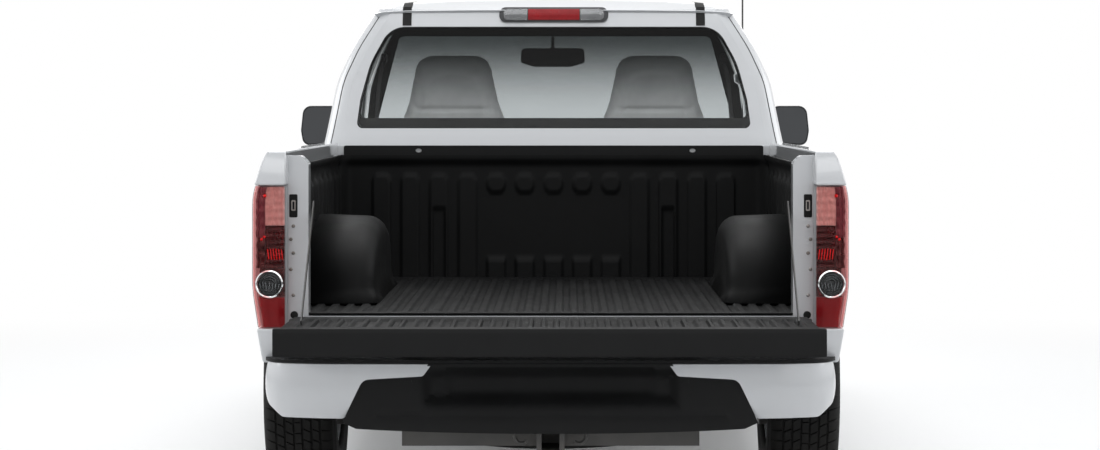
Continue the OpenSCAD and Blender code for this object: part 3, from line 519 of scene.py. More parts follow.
# %% [markdown]
# Body panels are pressed sheet: a smooth skin, cut to an outline, with a wall behind it. Each is
# made flat first, as a blank is. The outline and a grid of inner points are joined into
# triangles by a constrained Delaunay step, which keeps window and arch edges exact. Every flat
# point is then placed on the outer skin and on the inner wall by the panel's own shape.

# %% Panel maker
def fine(loop, step):
    """The same closed outline with no edge longer than step."""
    loop = np.array(loop, float)
    out = []
    for start, end in zip(loop, np.roll(loop, -1, axis=0)):
        parts = max(1, int(math.ceil(np.linalg.norm(end - start) / step)))
        out += [start + (end - start) * k / parts for k in range(parts)]
    return np.array(out)


def inside(points, loop):
    """Which points lie inside a closed outline, by counting crossings."""
    hit = np.zeros(len(points), bool)
    for (ax, ay), (bx, by) in zip(loop, np.roll(loop, -1, axis=0)):
        if ay == by:
            continue
        across = (ay > points[:, 1]) != (by > points[:, 1])
        hit ^= across & (points[:, 0] < (bx - ax) * (points[:, 1] - ay) / (by - ay) + ax)
    return hit


def edge_distance(points, loop):
    """Distance from each point to the nearest edge of a closed outline."""
    best = np.full(len(points), 1e9)
    for start, end in zip(loop, np.roll(loop, -1, axis=0)):
        run = end - start
        along = np.clip(((points - start) @ run) / max(run @ run, 1e-12), 0, 1)
        best = np.minimum(best, np.linalg.norm(points - start - along[:, None] * run, axis=1))
    return best


def finish_piece(name, mesh, material, body="truck", replaces=(), bevel=0.0, slot=None, angle=38.0):
    """Gives a mesh its finish, soft edges and body, and hides the nodes it stands for."""
    if not mesh.materials:
        mesh.materials.append(material)
    for face in mesh.polygons:
        face.use_smooth = True
    mesh.set_sharp_from_angle(angle=math.radians(angle))
    piece = add_object(name, mesh)
    if bevel > 0:
        soft = piece.modifiers.new("soft_edges", "BEVEL")
        soft.width = bevel
        soft.segments = 2
        soft.limit_method = "ANGLE"
        soft.angle_limit = math.radians(angle)
        soft.harden_normals = True
    if body:
        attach(piece, body)
    if replaces:
        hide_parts(*replaces)
    return piece

# %% [markdown]
# The panel maker sends the outline, its holes and the inner points through the Delaunay step,
# drops the triangles outside the outline, places both faces and closes the rim between them.

# %% Panel from a flat outline
def panel(name, outline, place, step, material, holes=(), **rest):
    """A solid panel; place(a, b, depth) puts a flat point on the skin (0) or the wall (1)."""
    loops = [fine(loop, step) for loop in (outline, *holes)]
    edges = []
    count = 0
    for loop in loops:
        edges += [(count + k, count + (k + 1) % len(loop)) for k in range(len(loop))]
        count += len(loop)
    least, most = loops[0].min(axis=0), loops[0].max(axis=0)
    a, b = np.meshgrid(np.arange(least[0], most[0], step), np.arange(least[1], most[1], step))
    grid = np.column_stack([a.ravel(), b.ravel()]) + step * 0.37
    keep = inside(grid, loops[0])
    for index, loop in enumerate(loops):
        keep &= edge_distance(grid, loop) > step * 0.45
        if index:
            keep &= ~inside(grid, loop)
    points = np.vstack([*loops, grid[keep]])
    joined = delaunay_2d_cdt([Vector(p) for p in points], edges, [], 0, 1e-9)
    flat = np.array([tuple(p) for p in joined[0]])
    faces = np.array(joined[2])
    middle = flat[faces].mean(axis=1)
    good = inside(middle, loops[0])
    for loop in loops[1:]:
        good &= ~inside(middle, loop)
    faces = faces[good]
    total = len(flat)
    corners = [place(p[0], p[1], 0) for p in flat] + [place(p[0], p[1], 1) for p in flat]
    used = {}
    for p, q, r in faces:
        for pair in ((p, q), (q, r), (r, p)):
            used[pair] = used.get(pair, 0) + 1
    rim = [pair for pair in used if (pair[1], pair[0]) not in used]
    polygons = [tuple(f) for f in faces] + [(r + total, q + total, p + total) for p, q, r in faces]
    polygons += [(q, p, p + total, q + total) for p, q in rim]
    mesh = bpy.data.meshes.new(name)
    mesh.from_pydata(corners, [], [tuple(int(k) for k in f) for f in polygons])
    tidy = bmesh.new()
    tidy.from_mesh(mesh)
    bmesh.ops.delete(tidy, geom=[v for v in tidy.verts if not v.link_faces], context="VERTS")
    bmesh.ops.recalc_face_normals(tidy, faces=tidy.faces)
    tidy.to_mesh(mesh)
    tidy.free()
    return finish_piece(name, mesh, material, **rest)

# %% [markdown]
# Outlines are written with few points. These helpers soften them: an average along an open line,
# an arc, and corners cut by small arcs.

# %% Rounded lines and outlines
def rounded(points, window, count=240):
    """An open line resampled evenly and averaged over a window, which turns its corners round."""
    points = np.array(points, float)
    along = np.r_[0, np.cumsum(np.linalg.norm(np.diff(points, axis=0), axis=1))]
    even = np.linspace(0, along[-1], count)
    line = np.column_stack([np.interp(even, along, points[:, k]) for k in range(points.shape[1])])
    half = int(window / 2 / (along[-1] / (count - 1)))
    soft = line.copy()
    for k in range(count):
        reach = min(half, k, count - 1 - k)
        soft[k] = line[k - reach:k + reach + 1].mean(axis=0)
    return soft


def arc(centre, radius, start, end, count=24):
    """Points on a circle in the flat, from one angle to another in degrees."""
    turn = np.radians(np.linspace(start, end, count))
    return [(centre[0] + radius * math.cos(t), centre[1] + radius * math.sin(t)) for t in turn]


def round_corners(loop, radius, count=6):
    """A closed outline whose corners are cut by arcs of the given radius."""
    loop = [Vector(p) for p in loop]
    out = []
    for k, corner in enumerate(loop):
        before = (loop[k - 1] - corner).normalized()
        after = (loop[(k + 1) % len(loop)] - corner).normalized()
        angle = before.angle(after)
        if angle > math.radians(172):
            out.append(tuple(corner))
            continue
        r = radius[k] if isinstance(radius, (list, tuple)) else radius
        if r <= 0:
            out.append(tuple(corner))
            continue
        back = r / math.tan(angle / 2)
        centre = corner + (before + after).normalized() * (r / math.sin(angle / 2))
        first, last = corner + before * back, corner + after * back
        start, end = first - centre, last - centre
        sweep = start.angle_signed(end)
        for j in range(count + 1):
            turn = -sweep * j / count
            out.append((centre.x + start.x * math.cos(turn) - start.y * math.sin(turn),
                        centre.y + start.x * math.sin(turn) + start.y * math.cos(turn)))
    return out


def box_loop(x0, y0, x1, y1, *rest):
    """A rectangle with rounded corners, given by two opposite corners."""
    return round_corners([(x0, y0), (x1, y0), (x1, y1), (x0, y1)], *rest)


# %% [markdown]
# Seen from behind, the truck's flank bulges: it leans in under the door, is widest below the
# shoulder, turns in at the belt and leans in again beside the glass. One smooth section serves
# for bed, doors and quarter panels, so the panels line up across their gaps. The nose is cut
# back in plan, and that cut is taken off the same section.

# %% Body section
W = HALF_W
FLANK = [(W - 0.059, 0.375), (W - 0.033, 0.51), (W - 0.017, 0.61), (W, 0.72), (W, 0.99), (W - 0.009, 1.02)]
BED_SECTION = rounded(FLANK + [(W - 0.038, 1.112), (W - 0.046, 1.118)], 0.06)
CAB_SECTION = rounded(FLANK + [(W - 0.042, 1.10), (W - 0.085, ROOF_Z - 0.313), (W - 0.138, ROOF_Z - 0.194),
                               (0.637, ROOF_Z - 0.058), (0.623, ROOF_Z - 0.046)], 0.07)
NOSE_CUT = rounded([(NOSE - 1.2, 0), (NOSE - 0.42, 0), (NOSE - 0.30, 0.020), (NOSE - 0.15, 0.075),
                    (NOSE - 0.055, 0.19), (NOSE - 0.012, 0.42)], 0.10)
BELT = 1.09
SEAM = ROOF_Z - 0.073
INNER = W - 0.100


def bed_x(z):
    return float(np.interp(z, BED_SECTION[:, 1], BED_SECTION[:, 0]))


def cab_x(z):
    return float(np.interp(z, CAB_SECTION[:, 1], CAB_SECTION[:, 0]))


def nose_cut(y):
    return float(np.interp(y, NOSE_CUT[:, 0], NOSE_CUT[:, 1]))


print("flank from %.3f to %.3f m half width" % (bed_x(0.51), bed_x(0.85)))

# %% [markdown]
# The bed's sides are hollow walls a hand wide. Outside is the flank with the wheel arch, on top
# a rail that takes a cover, and at the tail a pocket for the lamp. The wall is made solid here,
# because only its outside, top and end show. A jamb stands beside the tailgate's opening.

# %% Bed sides and jambs
def arch_loop(axle, low_z, radius=ARCH_R):
    """Points over a wheel arch, from its front foot to its rear foot."""
    foot = math.degrees(math.asin((low_z - AXLE_Z) / radius))
    return arc((axle, AXLE_Z), radius, foot, 180 - foot, 40)


JAMB_Y = TAIL + 0.088
LAMP_Z = (0.61, 1.02)
side_loop = [(TAIL + 0.010, 0.512), (TAIL + 0.002, 0.57), (TAIL, 0.61), (JAMB_Y, 0.61), (JAMB_Y, 1.02),
             (TAIL, 1.02), (TAIL + 0.002, 1.06), (TAIL + 0.009, 1.10), (TAIL + 0.018, 1.118),
             (BED_END, 1.118), (BED_END, 0.512)] + arch_loop(REAR_AXLE, 0.512)
for sign, side in SIDES:
    panel("bed_side_" + side, side_loop, lambda y, z, d, s=sign: (s * (bed_x(z) if d == 0 else INNER), y, z),
          0.028, paint, bevel=0.006, replaces=("bed_sides",), slot="body_paint")
    jamb_loop = round_corners([(0.701, 0.565), (INNER + 0.002, 0.565), (INNER + 0.002, 1.104), (0.722, 1.104),
                               (0.701, 1.083)], [0.01, 0.002, 0.002, 0.02, 0.02])
    panel("jamb_" + side, jamb_loop, lambda x, z, d, s=sign: (s * x, JAMB_Y + 0.07 * d, z),
          0.04, paint, bevel=0.003, slot="body_paint")
print("bed sides made")

# %% [markdown]
# The cab is one welded shell. Its side runs from a rounded rear corner past the door's opening
# to the windscreen pillar. Laying the flat blank out along the surface, corner included,
# gives the corner as many points as the rest.

# %% Cab sides
BACK_LINE = rounded([(0, 0.50), (0, 1.10), (0.035, 1.17), (0.125, 1.53), (0.155, ROOF_Z - 0.048),
                     (0.165, ROOF_Z - 0.03)], 0.10)
CORNER_R = 0.060
CORNER_RUN = CORNER_R * math.pi / 2


def back_y(z):
    """How far forward the cab's back lies at a height."""
    return CAB + float(np.interp(z, BACK_LINE[:, 1], BACK_LINE[:, 0]))


def cab_side_place(s):
    def place(run, z, depth):
        thick = max(cab_x(z) - INNER, 0.042) if depth else 0.0
        if run < CORNER_RUN:
            turn = run / CORNER_R
            reach = CORNER_R - thick if depth else CORNER_R
            return (s * (cab_x(z) - CORNER_R + reach * math.sin(turn)),
                    back_y(z) + CORNER_R - reach * math.cos(turn), z)
        y = back_y(z) + CORNER_R + run - CORNER_RUN
        ahead_of_door = min(max((y - DOOR_FRONT - 0.004) / 0.02, 0), 1)
        below_cowl = min(max((1.088 - z) / 0.02, 0), 1)
        under_fender = 0.05 * ahead_of_door * below_cowl
        return (s * (cab_x(z) - thick - (0 if depth else under_fender)), y, z)
    return place


def run_at(y, z):
    """Place along the blank for a point of the cab's side."""
    return (y - back_y(z) - CORNER_R + CORNER_RUN, z)


DOOR_REAR = CAB + 0.195
GAP = 0.006


def door_loop(grow):
    """The door seen from the side, its rear edge an arc about the hinge."""
    reach = DOOR_FRONT - DOOR_REAR + grow
    rear = []
    for z in np.linspace(SEAM - 0.026 + grow, 0.43 - grow, 14):
        drop = W - cab_x(z)
        rear.append((DOOR_FRONT - math.sqrt(max(reach ** 2 - drop ** 2, 0)), z))
    front = [(DOOR_FRONT + grow, 0.43 - grow), (DOOR_FRONT + grow, 1.075 + grow),
             (SCREEN_TOP + 0.035 + grow, SEAM - 0.026 + grow)]
    return rear + front


for sign, side in SIDES:
    shell = [(CAB + 0.002, 0.56)] + [(back_y(z), z) for z in np.linspace(0.56, SEAM + 0.02, 26)][1:]
    shell += [(SCREEN_TOP - 0.05, SEAM + 0.02), (SCREEN_TOP + 0.018, SEAM + 0.012),
              (SCREEN_BASE - 0.012, 1.096), (SCREEN_BASE - 0.012, 1.045), (COWL, 1.045), (COWL, 0.43),
              (COWL - 0.012, 0.378), (CAB + 0.05, 0.378), (CAB + 0.03, 0.40), (CAB + 0.022, 0.56)]
    blank = [(0.0, z) if k < 26 else run_at(y, z) for k, (y, z) in enumerate(shell)]
    door_gap = [run_at(y, z) for y, z in door_loop(GAP)]
    panel("cab_side_" + side, blank, cab_side_place(sign), 0.020, paint, holes=[door_gap], bevel=0.004,
          replaces=("cab_sides",), slot="body_paint")
print("cab sides made")

# %% [markdown]
# The cab's back is one sheet between the two rounded corners, with the rear window let into it.
# The roof is a shallow dome: its section across the truck comes from the cab's outline, and it
# drops a little towards the front and the back.

# %% Cab back and roof
def window_ring(side, foot):
    """The rear window's outline, drawn in by a margin all round and by another at its foot."""
    half = [(W - 0.160 - side, 1.168 + foot), (W - 0.172 - side, 1.268), (W - 0.206 - side, ROOF_Z - 0.248),
            (0.583 - side * 0.6, ROOF_Z - 0.118 - side)]
    return round_corners(half + [(-x, z) for x, z in half[::-1]],
                         [0.02, 0.3, 0.3, 0.09, 0.09, 0.3, 0.3, 0.02], 10)


window_loop = window_ring(0, 0)
half = [(cab_x(z) - CORNER_R + 0.0005, z) for z in np.linspace(0.57, SEAM + 0.018, 30)]
back_loop = half + [(-x, z) for x, z in half[::-1]]
panel("cab_back_panel", back_loop, lambda x, z, d: (x, back_y(z) + (0.03 if d else 0.0), z), 0.03, paint,
      holes=[window_loop], bevel=0.003, replaces=("cab_back",), slot="body_paint")

ROOF_LINE = rounded([(CAB + 0.140, SEAM + 0.015), (CAB + 0.160, ROOF_Z - 0.048),
                     (CAB + 0.245, ROOF_Z - 0.013),
                     ((CAB + SCREEN_TOP) / 2 + 0.06, ROOF_Z), (SCREEN_TOP - 0.11, ROOF_Z - 0.013),
                     (SCREEN_TOP, ROOF_Z - 0.048), (SCREEN_TOP + 0.02, SEAM + 0.012)], 0.05)
ROOF_SECTION = rounded([(0.6425, SEAM + 0.004), (0.637, ROOF_Z - 0.058), (0.610, ROOF_Z - 0.036),
                        (0.525, ROOF_Z - 0.018), (0.325, ROOF_Z - 0.005), (0, ROOF_Z),
                        (-0.325, ROOF_Z - 0.005),
                        (-0.525, ROOF_Z - 0.018), (-0.610, ROOF_Z - 0.036), (-0.637, ROOF_Z - 0.058),
                        (-0.6425, SEAM + 0.004)], 0.045, 400)
ROOF_RUN = np.r_[0, np.cumsum(np.linalg.norm(np.diff(ROOF_SECTION, axis=0), axis=1))]
LINE_RUN = np.r_[0, np.cumsum(np.linalg.norm(np.diff(ROOF_LINE, axis=0), axis=1))]


def roof_place(u, v, depth):
    x = float(np.interp(u, ROOF_RUN, ROOF_SECTION[:, 0]))
    top = float(np.interp(u, ROOF_RUN, ROOF_SECTION[:, 1]))
    y = float(np.interp(v, LINE_RUN, ROOF_LINE[:, 0]))
    line = float(np.interp(v, LINE_RUN, ROOF_LINE[:, 1]))
    share = min(max((top - SEAM) / (ROOF_Z - SEAM), 0), 1)
    z = top - (ROOF_Z - line) * share
    if depth:
        return (x * 0.97, y + (0.018 if v < 0.1 else 0) - (0.018 if v > LINE_RUN[-1] - 0.1 else 0), z - 0.02)
    return (x, y, z)


panel("roof_panel", [(0, 0), (ROOF_RUN[-1], 0), (ROOF_RUN[-1], LINE_RUN[-1]), (0, LINE_RUN[-1])], roof_place,
      0.022, paint, bevel=0.0, replaces=("roof",), slot="body_paint")
print("cab back and roof made")

# %% [markdown]
# A door is a thick lower box and a slim window frame in one pressing. It turns about its front
# edge, so its rear edge is an arc about the hinge. Below the belt the wall reaches the inner
# trim, above it only the frame's thickness is left.

# %% Doors
door_glass_loop = round_corners([(DOOR_REAR + 0.075, BELT + 0.022), (DOOR_FRONT - 0.130, BELT + 0.022),
                                 (SCREEN_TOP - 0.020, SEAM - 0.072), (DOOR_REAR + 0.105, SEAM - 0.072)],
                                [0.045, 0.03, 0.045, 0.045], 8)


def door_place(s):
    def place(y, z, depth):
        crease = 0.006 * math.exp(-((z - 0.945) / 0.010) ** 2)
        outer = cab_x(z) - crease
        return (s * (outer - (max(cab_x(z) - INNER, 0.042) if depth else 0)), y, z)
    return place


for sign, side in SIDES:
    panel("door_skin_" + side, door_loop(0.0), door_place(sign), 0.024, paint, holes=[door_glass_loop],
          bevel=0.004, replaces=("door_" + side,), body="door_" + side, slot="body_paint")
print("doors made")

# %% [markdown]
# A drop-in bed liner is one sheet of thick plastic, drawn by vacuum over a mould. Its ribs are
# soft ridges of the same sheet, so they are made as a height over a fine grid: a rib is a
# rounded rectangle, and its side slopes over a few millimetres. The grid becomes a thin solid
# by giving it a back. The ridges stiffen the front wall and keep the load off wet grooves.

# %% Height-field helper
def moved(mesh, change):
    """The same mesh with every point changed by a function."""
    for v in mesh.vertices:
        v.co = change(v.co)
    mesh.update()
    return mesh


def fixed_normals(mesh):
    turn = bmesh.new()
    turn.from_mesh(mesh)
    bmesh.ops.recalc_face_normals(turn, faces=turn.faces)
    turn.to_mesh(mesh)
    turn.free()
    return mesh


def bar_mesh(name, size, bevel=0.002, segments=2):
    """A straight bar about the origin with bevelled edges."""
    made = bmesh.new()
    bmesh.ops.create_cube(made, size=1)
    for v in made.verts:
        v.co = Vector(c * s for c, s in zip(v.co, size))
    if bevel:
        bmesh.ops.bevel(made, geom=list(made.edges), offset=bevel, segments=segments, affect="EDGES",
                        profile=0.5)
    mesh = bpy.data.meshes.new(name)
    made.to_mesh(mesh)
    made.free()
    return mesh

# %% [markdown]
# Round pieces such as caps, nuts and lamp bowls are turned: a profile is swept round an axis.

# %% Turned pieces
def lathe(name, profile, segments, centre, s=1):
    """A turned mesh about a line along X; profile gives (x, radius) round a closed section."""
    points, faces = [], []
    for k in range(segments):
        t = 2 * math.pi * k / segments
        points += [(s * (centre[0] + x), centre[1] + r * math.cos(t), centre[2] + r * math.sin(t))
                   for x, r in profile]
    n = len(profile)
    for k in range(segments):
        for j in range(n):
            a, b = k * n + j, k * n + (j + 1) % n
            c, d = ((k + 1) % segments) * n + (j + 1) % n, ((k + 1) % segments) * n + j
            faces.append((a, b, c, d))
    mesh = bpy.data.meshes.new(name)
    mesh.from_pydata(points, [], faces)
    return fixed_normals(mesh)

# %% [markdown]
# A height sheet places a fine grid point by point and gives it a back one wall thickness behind.

# %% Sheet from a height
def height_sheet(name, us, vs, place, thickness_dir, material, **rest):
    """A thin solid over a grid of u and v; place(U, V) gives three arrays of coordinates."""
    u, v = np.meshgrid(us, vs, indexing="ij")
    x, y, z = place(u, v)
    front = np.column_stack([np.ravel(x), np.ravel(y), np.ravel(z)])
    back = front + np.array(thickness_dir)
    n, m = len(us), len(vs)
    index = np.arange(n * m).reshape(n, m)
    quads = np.column_stack([index[:-1, :-1].ravel(), index[1:, :-1].ravel(),
                             index[1:, 1:].ravel(), index[:-1, 1:].ravel()])
    rim = np.concatenate([index[:, 0], index[-1, 1:], index[-2::-1, -1], index[0, -2:0:-1]])
    after = np.roll(rim, -1)
    walls = np.column_stack([after, rim, rim + n * m, after + n * m])
    faces = np.vstack([quads, quads[:, ::-1] + n * m, walls])
    mesh = bpy.data.meshes.new(name)
    mesh.from_pydata(np.vstack([front, back]).tolist(), [], faces.tolist())
    return finish_piece(name, fixed_normals(mesh), material, **rest)


def ease(value):
    """Smooth step from 0 to 1."""
    value = np.clip(value, 0, 1)
    return value * value * (3 - 2 * value)


def ridge(u, v, low_u, high_u, low_v, high_v, radius, slope):
    """Height 1 inside a rounded rectangle, easing to 0 over the slope outside it."""
    cu, cv = (low_u + high_u) / 2, (low_v + high_v) / 2
    du = np.abs(u - cu) - (high_u - low_u) / 2 + radius
    dv = np.abs(v - cv) - (high_v - low_v) / 2 + radius
    away = np.hypot(np.maximum(du, 0), np.maximum(dv, 0)) + np.minimum(np.maximum(du, dv), 0) - radius
    return ease(-away / slope)


# %% Bed liner
FLOOR_Z = 0.648
LINER_X = INNER - 0.008
LINER_FRONT = BED_END - 0.048
LINER_REAR = TAIL + 0.092
LINER_TOP = 1.076


def front_wall(x, z):
    height = np.zeros_like(x)
    for k in range(13):
        middle = (k - 6) * 0.1005
        short = 4 <= k <= 8
        rib = ridge(x, z, middle - 0.034, middle + 0.034, 0.940 if short else 0.50, 1.012, 0.030, 0.005)
        if short:
            rib = np.minimum(rib, ease((z - 0.936) / 0.005))
            rib = rib + ridge(x, z, middle - 0.034, middle + 0.034, 0.50, 0.716, 0.003, 0.005)
        if k in (2, 10):
            rib = rib * (1 - ridge(x, z, middle - 0.023, middle + 0.023, 0.50, 0.888, 0.003, 0.004))
        height += 0.009 * rib
    height += 0.05 * ease((np.abs(x) - 0.700) / 0.05) ** 2
    height += 0.016 * ease((z - 1.040) / 0.02)
    return x, LINER_FRONT - height, z


height_sheet("liner_front", np.arange(-LINER_X, LINER_X + 0.001, 0.0048),
             np.append(np.arange(FLOOR_Z - 0.006, LINER_TOP, 0.0090), LINER_TOP), front_wall,
             (0, 0.006, 0), liner_plastic, replaces=("bed_liner",), slot="liner_plastic", angle=60)


def floor_sheet(x, y):
    rib = ease((np.abs((x + 0.0225) % 0.045 - 0.0225) - 0.0085) / 0.0045)
    ends = ease((y - LINER_REAR - 0.06) / 0.02) * ease((LINER_FRONT - 0.10 - y) / 0.02)
    return x, y, FLOOR_Z - 0.007 * (1 - rib) * ends


height_sheet("liner_floor", np.arange(-LINER_X, LINER_X + 0.001, 0.0040),
             np.concatenate([np.linspace(LINER_REAR, LINER_REAR + 0.10, 14),
                             np.linspace(LINER_REAR + 0.2, LINER_FRONT - 0.15, 10),
                             np.linspace(LINER_FRONT - 0.13, LINER_FRONT, 12)]),
             floor_sheet, (0, 0, -0.004), liner_plastic, slot="liner_plastic", angle=60)


def side_wall(s):
    def place(y, z):
        height = np.zeros_like(y)
        for k in range(9):
            middle = TAIL + 0.30 + k * 0.195
            height += 0.010 * ridge(y, z, middle - 0.06, middle + 0.06, 0.70, 1.02, 0.03, 0.012)
        height += 0.014 * ease((z - 1.045) / 0.02)
        return s * (LINER_X - height), y, z
    return place


for sign, side in SIDES:
    height_sheet("liner_wall_" + side, np.arange(JAMB_Y + 0.072, LINER_FRONT + 0.001, 0.012),
                 np.append(np.arange(FLOOR_Z - 0.004, LINER_TOP, 0.012), LINER_TOP), side_wall(sign),
                 (sign * 0.006, 0, 0), liner_plastic, slot="liner_plastic", angle=60)
print("liner front, floor and walls made")

# %% [markdown]
# The humps over the rear wheels are part of the same sheet. Each is a superellipse arch, fuller
# than a circle, whose inner edge is rounded over. The rings of the arch shrink as they turn
# the corner, and close on the floor, so the inner face is flat and the shape has no holes.

# %% Wheel humps
def hump(s, side):
    length, rise, power = 0.490, 0.243, 2.7
    ring = []
    for x, inset in [(LINER_X + 0.004, -0.006), (0.60, 0.0)]:
        ring.append((x, inset))
    for k in range(1, 9):
        turn = math.pi / 2 * k / 8
        ring.append((0.60 - 0.055 * math.sin(turn), 0.055 * (1 - math.cos(turn))))
    ring += [(0.545, 0.055 + (rise - 0.057) * share) for share in (0.3, 0.65, 1.0)]
    points, faces = [], []
    steps = 48
    for x, inset in ring:
        for k in range(steps + 1):
            c, w = math.cos(math.pi * k / steps), math.sin(math.pi * k / steps)
            dy = (length - inset) * math.copysign(abs(c) ** (2 / power), c)
            dz = (rise - inset) * abs(w) ** (2 / power)
            foot = 0.03 * (1 - min(dz / 0.05, 1)) ** 2
            points.append((s * (x - foot * 0.6), REAR_AXLE + dy + math.copysign(foot, c),
                           FLOOR_Z - 0.002 + dz))
    row = steps + 1
    for j in range(len(ring) - 1):
        for k in range(steps):
            a, b = j * row + k, (j + 1) * row + k
            faces.append((a, a + 1, b + 1, b))
    mesh = bpy.data.meshes.new("liner_hump_" + side)
    mesh.from_pydata(points, [], faces if s > 0 else [f[::-1] for f in faces])
    turn = bmesh.new()
    turn.from_mesh(mesh)
    bmesh.ops.remove_doubles(turn, verts=turn.verts, dist=0.0004)
    turn.to_mesh(mesh)
    turn.free()
    made = finish_piece("liner_hump_" + side, mesh, liner_plastic, slot="liner_plastic", angle=60,
                        replaces=("wheelhouses",))
    wall = made.modifiers.new("wall", "SOLIDIFY")
    wall.thickness = 0.004


for sign, side in SIDES:
    hump(sign, side)

rail_loop = box_loop(-0.735, 1.072, 0.735, 1.108, 0.006)
holes = [[(cx + 0.011 * math.cos(t), 1.091 + 0.007 * math.sin(t))
          for t in np.linspace(0, 2 * math.pi, 13)[:-1]]
         for cx in (-0.473, 0.487)]
panel("bed_front_rail", rail_loop, lambda x, z, d: (x, BED_END - 0.052 + 0.05 * d, z), 0.05, trim_plastic,
      holes=holes, bevel=0.004, slot="trim_plastic")
print("wheel humps and rails made")

# %% [markdown]
# The tailgate is two pressings and a plastic inner skin. It lies open, so its painted outside
# faces the ground and its black inner skin, ribbed along the load's way, faces up. Its top edge
# has a plastic cap, which is the first thing seen from behind.

# %% Tailgate
GATE_X = high("tailgate")[0] - 0.0067
GATE_NEAR = TAIL + 0.042

shell = box_loop(-GATE_X, GATE_END + 0.030, GATE_X, GATE_NEAR, 0.012)


def gate_outside(x, y, depth):
    swell = 0.004 * math.exp(-((y - (GATE_END + GATE_NEAR) / 2) / 0.09) ** 2)
    return (x, y, 0.566 + 0.004 - swell if depth == 0 else 0.618)


panel("tailgate_shell", shell, gate_outside, 0.045, paint, bevel=0.004, body="tailgate",
      replaces=("tailgate",), slot="body_paint")
cap_shape = rounded([(GATE_END + 0.032, 0.570), (GATE_END + 0.002, 0.566), (GATE_END, 0.572),
                     (GATE_END, 0.632), (GATE_END + 0.003, 0.6435), (GATE_END + 0.010, 0.6445),
                     (GATE_END + 0.034, 0.6405)], 0.007, 40)
cap_points, cap_faces = [], []
stations = [-GATE_X, -GATE_X + 0.004, -GATE_X + 0.012, 0, GATE_X - 0.012, GATE_X - 0.004, GATE_X]
middle = np.array([GATE_END + 0.02, 0.605])
for x in stations:
    shrink = 0.94 if abs(x) >= GATE_X - 0.001 else (0.99 if abs(x) > GATE_X - 0.008 else 1.0)
    cap_points += [(x, *(middle + (p - middle) * shrink)) for p in cap_shape]
size = len(cap_shape)
for j in range(len(stations) - 1):
    for k in range(size):
        a, b = j * size + k, (j + 1) * size + k
        a2, b2 = j * size + (k + 1) % size, (j + 1) * size + (k + 1) % size
        cap_faces.append((a, b, b2, a2))
cap_faces += [tuple(range(size)), tuple(range((len(stations) - 1) * size, len(stations) * size))[::-1]]
cap_mesh = bpy.data.meshes.new("tailgate_cap")
cap_mesh.from_pydata(cap_points, [], cap_faces)
finish_piece("tailgate_cap", fixed_normals(cap_mesh), trim_plastic, body="tailgate", slot="liner_plastic")


def gate_skin(x, y):
    rib = ease((np.abs((x + 0.018) % 0.036 - 0.018) - 0.009) / 0.004)
    inside_field = ridge(x, y, -0.715, 0.715, GATE_END + 0.115, GATE_NEAR - 0.075, 0.02, 0.012)
    edge = ease((GATE_X - 0.004 - np.abs(x)) / 0.012)
    return x, y, 0.632 + 0.0085 * edge - 0.008 * (1 - rib) * inside_field


height_sheet("tailgate_skin", np.arange(-GATE_X + 0.004, GATE_X - 0.003, 0.0038),
             np.concatenate([np.linspace(GATE_END + 0.034, GATE_END + 0.15, 16),
                             np.linspace(GATE_END + 0.18, GATE_NEAR - 0.10, 5),
                             np.linspace(GATE_NEAR - 0.09, GATE_NEAR, 12)]),
             gate_skin, (0, 0, -0.016), liner_plastic, body="tailgate", slot="liner_plastic", angle=60)
for sign, side in SIDES:
    knuckle = bpy.data.meshes.new("gate_hinge_" + side)
    turn = bmesh.new()
    bmesh.ops.create_cone(turn, cap_ends=True, segments=28, radius1=0.023, radius2=0.023, depth=0.03)
    bmesh.ops.bevel(turn, geom=[e for e in turn.edges if e.calc_face_angle(0) > 1], offset=0.002, segments=2,
                    affect="EDGES")
    for v in turn.verts:
        v.co = Vector((sign * (0.7375 - v.co.z * sign), TAIL + 0.05 + v.co.y, 0.612 + v.co.x))
    bmesh.ops.recalc_face_normals(turn, faces=turn.faces)
    turn.to_mesh(knuckle)
    turn.free()
    finish_piece("gate_hinge_" + side, knuckle, chassis_black, body="tailgate", slot="chassis_black")
print("tailgate made")

# %% [markdown]
# A tail lamp is a housing with bright and red reflectors under a clear and red moulded cover
# that wraps round the corner. The cover is a real thin shell, so light passes it twice. The
# reflectors are modelled as stepped fields: a pale field for the stop lamp, fluted red below it darkened to
# near black as painted shade, a round reversing lamp, and a plain deep red foot.

# %% Tail lamps
LAMP_PLAN = rounded([(INNER + 0.0015, 0.005), (W - 0.03, 0.0), (W - 0.002, 0.012), (W, 0.0875)], 0.035)
PLAN_RUN = np.r_[0, np.cumsum(np.linalg.norm(np.diff(LAMP_PLAN, axis=0), axis=1))]
REVERSE = (0.806, 0.737, 0.036)


def lamp_point(u, z, set_in):
    """A point of the lamp's cover, or set_in behind it."""
    x = float(np.interp(u, PLAN_RUN, LAMP_PLAN[:, 0]))
    y = TAIL + float(np.interp(u, PLAN_RUN, LAMP_PLAN[:, 1]))
    lean = (W - bed_x(z)) * min(max((x - INNER) / 0.10, 0), 1)
    turn = min(max((u - 0.075) / 0.035, 0), 1) * math.pi / 2
    return (x - lean - set_in * math.sin(turn), y + set_in * math.cos(turn), z)


